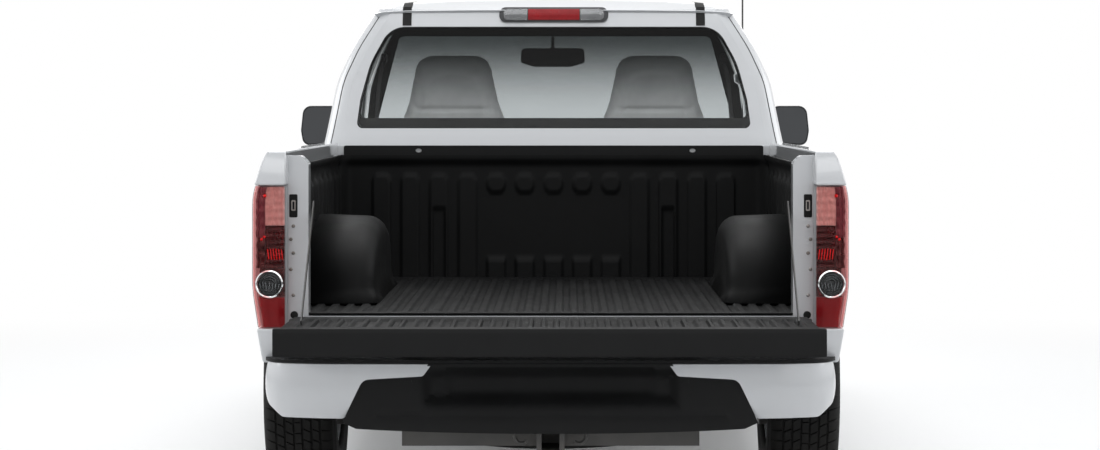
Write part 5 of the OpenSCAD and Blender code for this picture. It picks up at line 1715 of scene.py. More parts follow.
# %% [markdown]
# The grille is a plain frame with level slats in front of the radiator: it lets air in and
# stones out. The slats bow with the nose, so they are straight bars bent by a function of x.

# %% Grille
GRILLE_LOW, GRILLE_HIGH = 0.655, 0.880


def grille_y(x):
    return NOSE - 0.070 - 0.045 * (x / 0.4) ** 2


frame_out = box_loop(-0.400, GRILLE_LOW, 0.400, GRILLE_HIGH, 0.02)
frame_in = box_loop(-0.368, GRILLE_LOW + 0.026, 0.368, GRILLE_HIGH - 0.026, 0.015)
panel("grille_frame", frame_out, lambda x, z, d: (x, grille_y(x) + 0.012 - 0.055 * d, z), 0.016, trim_plastic,
      holes=[frame_in], bevel=0.004, replaces=("grille",), slot="trim_plastic")
slat = bar_mesh("slat", (0.74, 0.030, 0.009), 0.003)
long_slat = bmesh.new()
long_slat.from_mesh(slat)
bmesh.ops.bisect_plane(long_slat, geom=long_slat.verts[:] + long_slat.edges[:] + long_slat.faces[:],
                       plane_co=(0, 0, 0), plane_no=(1, 0, 0))
for cut in np.linspace(-0.33, 0.33, 11):
    bmesh.ops.bisect_plane(long_slat, geom=long_slat.verts[:] + long_slat.edges[:] + long_slat.faces[:],
                           plane_co=(cut, 0, 0), plane_no=(1, 0, 0))
long_slat.to_mesh(slat)
long_slat.free()
slats = repeated("grille_slats", slat, 6, (0, 0, 0.0288), (0, 0, 0), trim_plastic)
moved(slats, lambda p: Vector((p.x, p.y + grille_y(p.x) - 0.010, p.z + GRILLE_LOW + 0.0405)))
finish_piece("grille_slats", slats, trim_plastic, slot="trim_plastic")
mesh_bar = bar_mesh("post", (0.005, 0.006, 0.19), 0.0)
posts = repeated("grille_posts", mesh_bar, 19, (0.0405, 0, 0), (0, 0, 0), trim_plastic)
moved(posts, lambda p: Vector((p.x - 0.3645, p.y + grille_y(p.x - 0.3645) - 0.022, p.z + 0.7675)))
finish_piece("grille_posts", posts, trim_plastic, slot="trim_plastic")
low_slat = bar_mesh("low_slat", (0.012, 0.010, 0.118), 0.002)
low_slats = repeated("intake_bars", low_slat, 15, (0.0495, 0, 0), (0, 0, 0), trim_plastic)
moved(low_slats, lambda p: Vector((p.x - 0.3465, p.y + front_bend(p.x - 0.3465, 0.048)[1], p.z + 0.488)))
finish_piece("intake_bars", low_slats, trim_plastic, slot="trim_plastic")
fins = repeated("radiator_fins", bar_mesh("fin", (0.78, 0.002, 0.0022), 0), 46, (0, 0, 0.0064), (0, 0, 0),
                chassis_steel)
moved(fins, lambda p: Vector((p.x, p.y + high("radiator")[1] + 0.0012, p.z + 0.585)))
finish_piece("radiator_fins", fins, chassis_steel, slot="radiator_black")
print("grille made")

# %% [markdown]
# A headlamp is a clear moulded cover over a bright housing with two bowls: a large one for the
# main lamp, a small amber one for the turn signal. The housing is a height field whose bowls
# are paraboloids; the cover follows the nose round the corner.

# %% Headlamps
HEAD_PLAN = rounded([(0.4035, NOSE - 0.118), (0.50, NOSE - 0.120), (0.64, NOSE - 0.135), (0.745, NOSE - 0.18),
                     (0.776, NOSE - 0.214)], 0.10)
HEAD_RUN = np.r_[0, np.cumsum(np.linalg.norm(np.diff(HEAD_PLAN, axis=0), axis=1))]


def head_point(u, set_in):
    x, y = (np.interp(u, HEAD_RUN, HEAD_PLAN[:, k]) for k in (0, 1))
    turn = 0.9 * ease((u - HEAD_RUN[-1] * 0.5) / (HEAD_RUN[-1] * 0.5))
    return x - set_in * np.sin(turn), y - set_in * np.cos(turn)


amber = finish("amber_reflector", (0.80, 0.25, 0.02), 0.2, other=(0.7, 0.2, 0.015), metallic=0.6,
               cloud_scale=30.0)


def head_housing(s, u, z):
    bowl = np.clip(1 - ((u - 0.105) ** 2 + (z - 0.795) ** 2) / 0.078 ** 2, 0, 1)
    small = np.clip(1 - ((u - 0.275) ** 2 + (z - 0.795) ** 2) / 0.062 ** 2, 0, 1)
    bulb = 0.030 * np.exp(-((u - 0.105) ** 2 + (z - 0.795) ** 2) / 0.014 ** 2)
    set_in = 0.016 + 0.052 * bowl ** 0.6 + 0.040 * small ** 0.6 - bulb
    edge = np.minimum.reduce([u - 0.004, HEAD_RUN[-1] - 0.004 - u, z - 0.709, 0.881 - z])
    set_in = set_in - 0.014 * ease((0.006 - edge) / 0.006)
    x, y = head_point(u, set_in)
    return s * x, y, z


for sign, side in SIDES:
    height_sheet("headlamp_housing_" + side, np.linspace(0.002, HEAD_RUN[-1] - 0.002, 110),
                 np.linspace(0.707, 0.883, 52), lambda u, z, s=sign: head_housing(s, u, z), (0, -0.004, 0),
                 chrome, replaces=("headlights",), slot="lamp_clear", angle=50)
    head_loop = box_loop(0.002, 0.706, HEAD_RUN[-1] - 0.002, 0.884, 0.012)

    def cover_place(u, z, depth, s=sign):
        x, y = head_point(u, 0.003 * depth)
        return (s * float(x), float(y) - 0.012 * ((z - 0.795) / 0.09) ** 2 * (1 if z > 0.795 else 0.3), z)

    panel("headlamp_cover_" + side, head_loop, cover_place, 0.014, lamp_clear, slot="lamp_clear")
    signal = [(0.275 + 0.044 * math.cos(t), 0.795 + 0.044 * math.sin(t))
              for t in np.linspace(0, 2 * math.pi, 33)[:-1]]
    panel("turn_signal_" + side, signal,
          lambda u, z, d, s=sign: (s * float(head_point(u, 0.030 + 0.004 * d)[0]),
                                   float(head_point(u, 0.030 + 0.004 * d)[1]), z), 0.009, amber,
          slot="lamp_clear")
    fog_plan = front_bend(0.545, 0.045)
    fog = lathe("fog_lamp_" + side, [(0, 0.001), (0.004, 0.020), (0.012, 0.036), (0.024, 0.0445),
                                     (0.030, 0.0455),
                                     (0.030, 0.049), (-0.010, 0.049), (-0.010, 0.001)], 40, (0, 0, 0))
    moved(fog, lambda p, s=sign: Vector((s * (fog_plan[0] + p.y), fog_plan[1] + p.x, 0.487 + p.z)))
    finish_piece("fog_lamp_" + side, fixed_normals(fog), chrome, slot="lamp_clear")
    glass = lathe("fog_glass_" + side, [(0, 0.0005), (0, 0.020), (-0.002, 0.036), (-0.005, 0.044),
                                        (-0.008, 0.044),
                                        (-0.005, 0.036), (-0.003, 0.020), (-0.003, 0.0005)], 40, (0, 0, 0))
    moved(glass, lambda p, s=sign: Vector((s * (fog_plan[0] + p.y), fog_plan[1] + 0.032 + p.x, 0.487 + p.z)))
    finish_piece("fog_glass_" + side, fixed_normals(glass), lamp_clear, slot="lamp_clear")
print("lamps made")

# %% [markdown]
# A tyre is a turned carcass with a tread cut into its crown. The carcass is a closed section
# spun about the axle. The tread is one pitch of seven blocks, a slanted row across the crown,
# repeated round the wheel; the gaps between the copies are the grooves.

# %% Tyre carcass and tread pitch
PITCHES = 62
HALF_SECTION = [(0.0985, 0.2048), (0.1040, 0.2120), (0.1085, 0.2220), (0.1088, 0.2300), (0.1062, 0.2350),
                (0.1098, 0.2480), (0.1118, 0.2640), (0.1122, 0.2850), (0.1108, 0.3020), (0.1112, 0.3045),
                (0.1090, 0.3075), (0.1070, 0.3230), (0.1035, 0.3360), (0.0975, 0.3460), (0.0880, 0.3515),
                (0.0700, 0.3545), (0.0350, 0.3562), (0.0, 0.3568)]


def crown_radius(x):
    return float(np.interp(abs(x), [0, 0.035, 0.060, 0.078, 0.090, 0.098, 0.104],
                           [TYRE_R - 0.0005, TYRE_R - 0.0008, TYRE_R - 0.0018, TYRE_R - 0.0045,
                            TYRE_R - 0.0095, TYRE_R - 0.0165, TYRE_R - 0.027]))


def tread_pitch():
    made = bmesh.new()
    length = 2 * math.pi * TYRE_R / PITCHES
    rows = [(-0.104, -0.071, 0.20), (-0.065, -0.044, 0.5), (-0.038, -0.0155, 0.5), (-0.0105, 0.0105, 0.0),
            (0.0155, 0.038, 0.5), (0.044, 0.065, 0.5), (0.071, 0.104, 0.20)]
    for number, (x0, x1, lean) in enumerate(rows):
        count = 5 if abs(x0) > 0.07 or abs(x1) > 0.07 else 2
        low_ring, high_ring = [], []
        gap = 0.0052 if count == 5 else (0.0035 if number == 3 else 0.0042)
        shift = (number % 2) * 0.35 * length
        for x in np.linspace(x0, x1, count):
            slant = lean * abs(x) * (1 if number > 3 else -1)
            row_high, row_low = [], []
            for t in (-0.5, 0.5):
                y = t * (length - gap) + slant + shift
                r = crown_radius(x)
                row_high.append(made.verts.new((x, r * math.sin(y / r), r * math.cos(y / r))))
                q = r - 0.0105
                row_low.append(made.verts.new((x, q * math.sin(y / r), q * math.cos(y / r))))
            high_ring.append(row_high)
            low_ring.append(row_low)
        for k in range(count - 1):
            made.faces.new((high_ring[k][0], high_ring[k + 1][0], high_ring[k + 1][1], high_ring[k][1]))
            made.faces.new((low_ring[k][1], low_ring[k + 1][1], low_ring[k + 1][0], low_ring[k][0]))
            for t in (0, 1):
                made.faces.new((high_ring[k][t], low_ring[k][t], low_ring[k + 1][t], high_ring[k + 1][t]))
        for k in (0, count - 1):
            made.faces.new((high_ring[k][0], high_ring[k][1], low_ring[k][1], low_ring[k][0]))
    bmesh.ops.recalc_face_normals(made, faces=made.faces)
    top = [e for e in made.edges if len(e.link_faces) == 2 and e.calc_face_angle(0) > 0.7]
    bmesh.ops.bevel(made, geom=top, offset=0.0013, segments=1, affect="EDGES")
    mesh = bpy.data.meshes.new("tread_pitch")
    made.to_mesh(mesh)
    made.free()
    return mesh


def placed(mesh, name, s, y):
    """A copy of a wheel piece, made about the origin for the right side, at one wheel."""
    copy = mesh.copy()
    copy.name = name
    moved(copy, lambda p: Vector((s * (WHEEL_X + p.x), y + p.y, AXLE_Z + p.z)))
    return fixed_normals(copy) if s < 0 else copy


section = HALF_SECTION + [(-x, r) for x, r in HALF_SECTION[-2::-1]] + [(-0.085, 0.2046), (0.085, 0.2046)]
carcass_mesh = lathe("carcass", section, 96, (0, 0, 0))
tread_mesh = repeated("tread", tread_pitch(), PITCHES, (0, 0, 0), (2 * math.pi / PITCHES, 0, 0), tyre_rubber)
tick = bar_mesh("tick", (0.0016, 0.0020, 0.0150), 0.0004, 1)
moved(tick, lambda p: Vector((0.1086 + p.x - 0.0011 * (p.z > 0), p.y, 0.3165 + p.z)))
tick_mesh = repeated("sidewall_ticks", tick, 120, (0, 0, 0), (2 * math.pi / 120, 0, 0), tyre_rubber)
print("tread faces on one tyre:", len(tread_mesh.polygons))

# %% [markdown]
# The wheel is cast in one piece: a dished face with six broad spokes, a barrel that carries
# the tyre, and a hub with six nuts under a small cap. The face is a disc with six windows,
# pressed into its dish by a function of the radius and the angle.

# %% Cast wheel
SPOKES = 6


def face_height(y, z):
    r, turn = math.hypot(y, z), math.atan2(z, y)
    dish = float(np.interp(r, [0, 0.034, 0.045, 0.070, 0.090, 0.150, 0.172, 0.181, 0.188],
                           [0.040, 0.040, 0.036, 0.036, 0.046, 0.062, 0.066, 0.074, 0.086]))
    spoke = math.cos(SPOKES * turn) * 0.5 + 0.5
    hollow = -0.010 * math.exp(-((spoke - 1.0) / 0.10) ** 2) * float(ease(np.array((r - 0.085) / 0.03))
                                                                     * ease(np.array((0.172 - r) / 0.03)))
    return dish + hollow


def wheel_window(k):
    middle = (k + 0.5) * 2 * math.pi / SPOKES
    corners = []
    for r, half in ((0.082, 0.20), (0.168, 0.345)):
        side = [(r * math.cos(middle + t), r * math.sin(middle + t)) for t in np.linspace(-half, half, 7)]
        corners.append(side)
    loop = corners[0] + corners[1][::-1]
    return round_corners([loop[0], loop[6], loop[7], *loop[8:13], loop[13]],
                         [0.012, 0.012, 0.016, *[0] * 5, 0.016], 5)


face_loop = [(0.187 * math.cos(t), 0.187 * math.sin(t)) for t in np.linspace(0, 2 * math.pi, 73)[:-1]]
face_piece = panel("wheel_face", face_loop, lambda y, z, d: (face_height(y, z) - d * 0.017, y, z), 0.010,
                   wheel_alloy, holes=[wheel_window(k) for k in range(SPOKES)])
face_mesh = face_piece.data.copy()
bpy.data.objects.remove(face_piece)
barrel_mesh = lathe("barrel", [(0.086, 0.1835), (0.0945, 0.1900), (0.0962, 0.1960), (0.0950, 0.2036),
                               (0.0900, 0.2040),
                               (0.0700, 0.1955), (0.0500, 0.1900), (-0.080, 0.1960), (-0.0950, 0.2038),
                               (-0.0962, 0.1960), (-0.080, 0.1880), (0.030, 0.1790), (0.060, 0.1790)], 96,
                    (0, 0, 0))
hub_mesh = lathe("hub_cap", [(0.0385, 0.0010), (0.0535, 0.0010), (0.0530, 0.0180), (0.0500, 0.0280),
                             (0.0440, 0.0318), (0.0385, 0.0320)], 48, (0, 0, 0))
nut = lathe("nut", [(0.0340, 0.0005), (0.0520, 0.0005), (0.0520, 0.0060), (0.0500, 0.0098), (0.0340, 0.0105)],
            6, (0, 0, 0))
moved(nut, lambda p: Vector((p.x, p.y, p.z + 0.0555)))
nut_mesh = repeated("wheel_nuts", nut, SPOKES, (0, 0, 0), (2 * math.pi / SPOKES, 0, 0), chassis_steel)
valve_mesh = lathe("valve", [(0.060, 0.0005), (0.092, 0.0005), (0.092, 0.0032), (0.084, 0.0036),
                             (0.080, 0.0048), (0.060, 0.0052)], 14, (0, 0, 0))
moved(valve_mesh, lambda p: Vector((p.x, p.y, p.z + 0.1765)))
# name, mesh, material, slot, the construction piece it stands for, and what else it needs
wheel_pieces = (
    ("tyre_carcass", carcass_mesh, tyre_rubber, "tyre_rubber", "tyre", {"angle": 60}),
    ("tread", tread_mesh, tyre_rubber, "tyre_rubber", None, {"angle": 30}),
    ("sidewall_ticks", tick_mesh, tyre_rubber, "tyre_rubber", None, {}),
    ("wheel_face", face_mesh, wheel_alloy, "wheel_alloy", "rim", {"bevel": 0.0022}),
    ("wheel_barrel", barrel_mesh, wheel_alloy, "wheel_alloy", None, {}),
    ("hub_cap", hub_mesh, wheel_alloy, "wheel_alloy", None, {"bevel": 0.001}),
    ("wheel_nuts", nut_mesh, chassis_steel, "chassis_steel", None, {}),
    ("valve", valve_mesh, seal_rubber, "tyre_rubber", None, {}),
)
for axle, end in ((FRONT_AXLE, "front"), (REAR_AXLE, "rear")):
    for sign, side in SIDES:
        tag = "_" + end + "_" + side
        for label, mesh, material, slot, stands_for, more in wheel_pieces:
            if stands_for:
                more = dict(more, replaces=(stands_for + tag,))
            finish_piece(label + tag, placed(mesh, label + tag, sign, axle), material, body="wheel" + tag,
                         slot=slot, **more)
print("wheels made")

# %% [markdown]
# Inside each arch a thin plastic liner keeps stones off the body. It is a strip bent round
# the wheel with turned-down edges, wide enough to reach the flare.

# %% Arch liners
def arch_liner(name, axle, start, end, s, inner, outer_at):
    stations = np.radians(np.linspace(start, end, 41))
    points, faces = [], []
    for t in stations:
        y, z = math.cos(t), math.sin(t)
        outer = outer_at(axle + (ARCH_R + 0.02) * y, AXLE_Z + (ARCH_R + 0.02) * z)
        for x, r in ((outer, ARCH_R + 0.014), (outer - 0.03, ARCH_R + 0.026),
                     ((inner + outer) / 2, ARCH_R + 0.030),
                     (inner, ARCH_R + 0.026), (inner, ARCH_R + 0.030), ((inner + outer) / 2, ARCH_R + 0.034),
                     (outer - 0.03, ARCH_R + 0.030), (outer, ARCH_R + 0.018)):
            points.append((s * x, axle + r * y, AXLE_Z + r * z))
    for k in range(len(stations) - 1):
        for j in range(8):
            faces.append((k * 8 + j, k * 8 + (j + 1) % 8, (k + 1) * 8 + (j + 1) % 8, (k + 1) * 8 + j))
    faces += [tuple(range(8)), tuple(range(len(points) - 8, len(points)))[::-1]]
    mesh = bpy.data.meshes.new(name)
    mesh.from_pydata(points, [], faces)
    finish_piece(name, fixed_normals(mesh), liner_plastic, slot="trim_plastic", angle=50)


for sign, side in SIDES:
    arch_liner("rear_arch_liner_" + side, REAR_AXLE, 18, 162, sign, 0.585,
               lambda y, z: bed_x(min(z, 1.0)) - 0.012)
    arch_liner("front_arch_liner_" + side, FRONT_AXLE, 14, 168, sign, 0.55,
               lambda y, z: bed_x(min(z, 1.0)) - nose_cut(y) - 0.012)
print("arch liners made")

# %% [markdown]
# Seat cloth is a plain weave: fine threads cross at a right angle, and each thread stands a
# little proud. Two wave patterns make the threads, and a slow cloud varies the shade as wear
# and pile do. The soft sheen at grazing angles comes from the shader's own sheen.

# %% Seat cloth
def make_weave_group():
    tree, source, result = new_group("cloth_weave",
                                     [("Scale", "NodeSocketFloat", 260.0), ("Depth", "NodeSocketFloat", 0.5)],
                                     [("Mask", "NodeSocketFloat"), ("Normal", "NodeSocketVector")])
    place = tree.nodes.new("ShaderNodeTexCoord")
    waves = []
    for direction in ("X", "Z"):
        wave = tree.nodes.new("ShaderNodeTexWave")
        wave.bands_direction = direction
        wave.inputs["Distortion"].default_value = 0.6
        tree.links.new(place.outputs["Object"], wave.inputs["Vector"])
        tree.links.new(source.outputs["Scale"], wave.inputs["Scale"])
        waves.append(wave)
    both = tree.nodes.new("ShaderNodeMath")
    both.operation = "MAXIMUM"
    tree.links.new(waves[0].outputs["Fac"], both.inputs[0])
    tree.links.new(waves[1].outputs["Fac"], both.inputs[1])
    bump = tree.nodes.new("ShaderNodeBump")
    bump.inputs["Distance"].default_value = 0.0012
    tree.links.new(source.outputs["Depth"], bump.inputs["Strength"])
    tree.links.new(both.outputs[0], bump.inputs["Height"])
    tree.links.new(both.outputs[0], result.inputs["Mask"])
    tree.links.new(bump.outputs["Normal"], result.inputs["Normal"])
    return tree


WEAVE = make_weave_group()


def cloth_finish(name, color, other, scale, sheen):
    material = bpy.data.materials.new(name)
    material.use_nodes = True
    tree = material.node_tree
    shader = tree.nodes["Principled BSDF"]
    shader.inputs["Roughness"].default_value = 0.9
    shader.inputs["Sheen Weight"].default_value = sheen
    shader.inputs["Specular IOR Level"].default_value = 0.25
    weave = tree.nodes.new("ShaderNodeGroup")
    weave.node_tree = WEAVE
    weave.inputs["Scale"].default_value = scale
    weave.inputs["Depth"].default_value = 0.5
    cloud = tree.nodes.new("ShaderNodeTexNoise")
    cloud.inputs["Scale"].default_value = 14.0
    place = tree.nodes.new("ShaderNodeTexCoord")
    tree.links.new(place.outputs["Object"], cloud.inputs["Vector"])
    shade = tree.nodes.new("ShaderNodeMath")
    shade.operation = "MULTIPLY"
    tree.links.new(weave.outputs["Mask"], shade.inputs[0])
    tree.links.new(cloud.outputs["Fac"], shade.inputs[1])
    mix = tree.nodes.new("ShaderNodeMix")
    mix.data_type = "RGBA"
    mix.inputs[6].default_value = (*other, 1)
    mix.inputs[7].default_value = (*color, 1)
    tree.links.new(shade.outputs[0], mix.inputs[0])
    tree.links.new(mix.outputs[2], shader.inputs["Base Color"])
    tree.links.new(weave.outputs["Normal"], shader.inputs["Normal"])
    return material


seat_cloth = cloth_finish("seat_cloth", (0.80, 0.805, 0.81), (0.50, 0.505, 0.51), 260.0, 0.3)
belt_webbing = cloth_finish("belt_webbing", (0.075, 0.075, 0.078), (0.025, 0.025, 0.027), 420.0, 0.1)

# %% [markdown]
# A seat is foam in a sewn cloth cover. Its cover is stretched by the foam, so it crowns in the
# middle and pulls in at the seams. The pad starts as a slightly small closed form, is remeshed
# evenly, and a short cloth simulation with inner pressure swells it. Only the outward part of
# that movement is kept, so that the cover never pulls the outline narrower. Then the seam lines
# are pressed in. One seat is swollen, and the other side is its mirror image.

# %% Seat pads
SEAT_Y = CAB + 0.13
SEAT_X = (0.13 + 0.59) / 2


def slab_form(name, outline, place, thickness_at, step=0.02):
    """A closed form over a flat outline, thick in the middle and rounded at its rim."""
    loop = fine(outline, step)
    least, most = loop.min(axis=0), loop.max(axis=0)
    a, b = np.meshgrid(np.arange(least[0], most[0], step), np.arange(least[1], most[1], step))
    grid = np.column_stack([a.ravel(), b.ravel()]) + step * 0.4
    grid = grid[inside(grid, loop) & (edge_distance(grid, loop) > step * 0.45)]
    ring = [(k, (k + 1) % len(loop)) for k in range(len(loop))]
    joined = delaunay_2d_cdt([Vector(p) for p in np.vstack([loop, grid])], ring, [], 0, 1e-9)
    flat = np.array([tuple(p) for p in joined[0]])
    triangles = np.array(joined[2])
    triangles = triangles[inside(flat[triangles].mean(axis=1), loop)]
    near = np.minimum(edge_distance(flat, loop) / 0.035, 1.0)
    bulge = 0.12 + 0.88 * np.sqrt(1 - (1 - near) ** 2)
    verts = [place(p[0], p[1], side * 0.5 * thickness_at(p[0], p[1]) * grow)
             for side in (1, -1) for p, grow in zip(flat, bulge)]
    n = len(flat)
    used = {(t[k], t[(k + 1) % 3]) for t in triangles for k in range(3)}
    faces = [tuple(t) for t in triangles] + [tuple(t[::-1] + n) for t in triangles]
    faces += [(q, p, p + n, q + n) for p, q in used if (q, p) not in used]
    mesh = bpy.data.meshes.new(name)
    mesh.from_pydata(verts, [], [tuple(int(k) for k in f) for f in faces])
    return fixed_normals(mesh)


def cushion_place(x, y, h):
    return (x, y, 0.775 + 0.10 * (y - SEAT_Y - 0.12) + h)


def back_place(x, z, h):
    lean = (1.43 - z) * 0.17
    return (x, SEAT_Y + 0.055 + lean * 0.85 + h - 0.030 * max(0.0, (z - 1.22) / 0.2), z)


cushion_outline = round_corners([(-0.225, SEAT_Y + 0.09), (0.225, SEAT_Y + 0.09), (0.232, SEAT_Y + 0.575),
                                 (-0.232, SEAT_Y + 0.575)], 0.06)
back_outline = round_corners([(-0.215, 0.800), (0.215, 0.800), (0.222, 1.00), (0.190, 1.15), (0.150, 1.26),
                              (0.118, 1.418), (-0.118, 1.418), (-0.150, 1.26), (-0.190, 1.15),
                              (-0.222, 1.00)],
                             [0.05, 0.05, 0.08, 0.08, 0.08, 0.052, 0.052, 0.08, 0.08, 0.08])
cushion_form = slab_form("cushion_form", cushion_outline, cushion_place, lambda x, y: 0.110)
back_form = slab_form("back_form", back_outline, back_place,
                      lambda x, z: float(np.interp(z, [0.8, 0.95, 1.2, 1.3, 1.42],
                                                   [0.130, 0.120, 0.090, 0.070, 0.062])))

# %% [markdown]
# The pad is remeshed and swelled by the cloth simulation. Grooves are then pressed along the seam lines.

# %% Swelling and seams
def swollen(name, mesh, cap):
    """The same pad after remeshing and a short swelling under pressure."""
    pad = add_object(name, mesh)
    even = pad.modifiers.new("even", "REMESH")
    even.mode = "VOXEL"
    even.voxel_size = 0.009
    bpy.context.view_layer.update()
    made = bpy.data.meshes.new_from_object(pad.evaluated_get(bpy.context.evaluated_depsgraph_get()))
    pad.modifiers.remove(even)
    pad.data = made
    rest = np.array([v.co[:] for v in made.vertices])
    outward = np.array([v.normal[:] for v in made.vertices])
    cover = pad.modifiers.new("cover", "CLOTH")
    cover.settings.use_pressure = True
    cover.settings.uniform_pressure_force = 4.0
    cover.settings.effector_weights.gravity = 0.0
    cover.settings.quality = 4
    cover.settings.mass = 0.3
    cover.point_cache.frame_start, cover.point_cache.frame_end = 1, 20
    for step in range(1, 21):
        bpy.context.scene.frame_set(step)
    done = pad.evaluated_get(bpy.context.evaluated_depsgraph_get()).to_mesh()
    now = np.array([v.co[:] for v in done.vertices])
    pad.modifiers.remove(cover)
    bpy.context.scene.frame_set(1)
    size = ((now - rest) * outward).sum(axis=1)
    result = rest + outward * np.clip(size, 0.010, cap)[:, None]
    out = made.copy()
    out.name = name
    out.vertices.foreach_set("co", result.ravel())
    out.update()
    bpy.data.objects.remove(pad)
    print(name, "swelled by up to", round(float(size.max()) * 1000, 1), "mm")
    return out


def seam_pull(mesh, lines, depth, width):
    """Presses a sewn groove into a mesh along polylines given in two of its coordinates."""
    pts = np.array([v.co[:] for v in mesh.vertices])
    normals = np.array([v.normal[:] for v in mesh.vertices])
    pull = np.zeros(len(pts))
    for axes, line, test in lines:
        flat = pts[:, axes]
        best = np.full(len(pts), 9.0)
        for a, b in zip(line[:-1], line[1:]):
            a, b = np.array(a), np.array(b)
            t = np.clip(((flat - a) @ (b - a)) / max(((b - a) ** 2).sum(), 1e-9), 0, 1)
            best = np.minimum(best, np.linalg.norm(flat - (a + t[:, None] * (b - a)), axis=1))
        pull = np.maximum(pull, np.exp(-(best / width) ** 2) * test(pts, normals))
    pts = pts - normals * (pull * depth)[:, None]
    mesh.vertices.foreach_set("co", pts.ravel())
    mesh.update()
    return mesh


front_side = lambda p, n: (n[:, 1] > 0.2).astype(float)
top_side = lambda p, n: (n[:, 2] > 0.2).astype(float)
cushion_mesh = swollen("seat_cushion", cushion_form, 0.026)
back_mesh = swollen("seat_back", back_form, 0.024)
channel = lambda x0, y0, x1, y1: [(x0, y0), (x1, y1)]
seam_pull(cushion_mesh, [([0, 1], [(-0.150, SEAT_Y + 0.12), (-0.158, SEAT_Y + 0.52), (0.158, SEAT_Y + 0.52),
                                   (0.150, SEAT_Y + 0.12)], top_side)]
          + [([0, 1], channel(-0.152, SEAT_Y + y, 0.152, SEAT_Y + y), top_side) for y in (0.22, 0.32, 0.42)],
          0.0075, 0.0065)
seam_pull(back_mesh, [([0, 2], [(-0.145, 0.84), (-0.150, 1.02), (-0.105, 1.20), (0.105, 1.20), (0.150, 1.02),
                                (0.145, 0.84)], front_side)]
          + [([0, 2], channel(-0.140, z, 0.140, z), front_side) for z in (0.93, 1.02, 1.11)]
          + [([0, 2], channel(-0.13, 1.235, 0.13, 1.235), lambda p, n: np.ones(len(p)))], 0.0075, 0.0065)

# %% [markdown]
# The sewn edge draws the rim in where front and back covers meet. Then the finished pads are
# copied to both sides.

# %% Sewn edges and both seats
def edge_ring(mesh, axis, middle):
    """The sewn edge: the rim is drawn in a little where front and back covers meet."""
    pts = np.array([v.co[:] for v in mesh.vertices])
    normals = np.array([v.normal[:] for v in mesh.vertices])
    line = middle(pts)
    pull = np.exp(-((pts[:, axis] - line) / 0.006) ** 2) * (np.abs(normals[:, axis]) < 0.6)
    pts -= normals * (pull * 0.005)[:, None]
    mesh.vertices.foreach_set("co", pts.ravel())
    mesh.update()


edge_ring(cushion_mesh, 2, lambda p: 0.775 + 0.10 * (p[:, 1] - SEAT_Y - 0.12))
for sign, side in SIDES:
    for kind, mesh in (("cushion", cushion_mesh), ("back", back_mesh)):
        copy = mesh.copy()
        copy.name = "seat_%s_%s" % (kind, side)
        moved(copy, lambda p, s=sign: Vector((s * (SEAT_X + p.x), p.y, p.z)))
        if sign < 0:
            fixed_normals(copy)
        pad = finish_piece(copy.name, copy, seat_cloth, replaces=("seats",), slot="seat_fabric", angle=180)
    base_loop = round_corners([(SEAT_Y + 0.06, 0.612), (SEAT_Y + 0.52, 0.612), (SEAT_Y + 0.575, 0.735),
                               (SEAT_Y + 0.10, 0.700), (SEAT_Y + 0.06, 0.66)], 0.02)
    for edge in (0.142, 0.548):
        panel("seat_skirt_%s_%d" % (side, round(edge * 1000)), base_loop,
              lambda y, z, d, s=sign, e=edge: (s * (e + 0.022 * d + 0.006 * math.sin(8 * y)), y, z), 0.03,
              cabin_plastic, bevel=0.003, slot="cabin_plastic")
    for y in (SEAT_Y + 0.10, SEAT_Y + 0.50):
        rail = bar_mesh("seat_crossbar", (0.39, 0.035, 0.05), 0.006)
        finish_piece("seat_crossbar_%s_%d" % (side, round(y * 1000 + 5000)),
                     moved(rail, lambda p, s=sign, v=y: Vector((s * SEAT_X + p.x, p.y + v, p.z + 0.655))),
                     chassis_black, slot="chassis_black")
print("seats made")

# %% [markdown]
# Inside the cab: the headliner under the roof, trim on the back wall, an inner mirror on the
# windscreen, a hooded instrument panel, vents, and the belts that hang by the pillars. They are
# seen only through glass, but they give the window its depth.

# %% Cabin trim
def head_lining(x, y, d):
    side = abs(x) / 0.60
    front = max(0.0, (y - SCREEN_TOP + 0.22) / 0.22)
    back = max(0.0, (CAB + 0.34 - y) / 0.14)
    return (x, y, ROOF_Z - 0.043 - 0.022 * side ** 3 - 0.012 * front ** 2 - 0.012 * back ** 2 - 0.006 * d)


panel("headliner", round_corners([(-0.595, CAB + 0.215), (0.595, CAB + 0.215), (0.585, SCREEN_TOP - 0.012),
                                  (-0.585, SCREEN_TOP - 0.012)], 0.05), head_lining, 0.04, headliner,
      slot="cabin_plastic")
panel("cab_back_trim", round_corners([(-0.700, 0.64), (0.700, 0.64), (0.672, 1.178), (-0.672, 1.178)], 0.02),
      lambda x, z, d: (x, back_y(z) + 0.034 + 0.008 * d + 0.004 * math.cos(x * 9), z), 0.05, cabin_plastic,
      bevel=0.003, slot="cabin_plastic")
panel("parcel_trim", box_loop(-0.600, CAB + 0.050, 0.600, CAB + 0.100, 0.01),
      lambda x, y, d: (x, y, 1.196 - 0.012 * d + 0.002 * math.sin(x * 11) - 0.10 * max(0, y - CAB - 0.07)),
      0.03, trim_plastic, bevel=0.003, slot="trim_plastic")

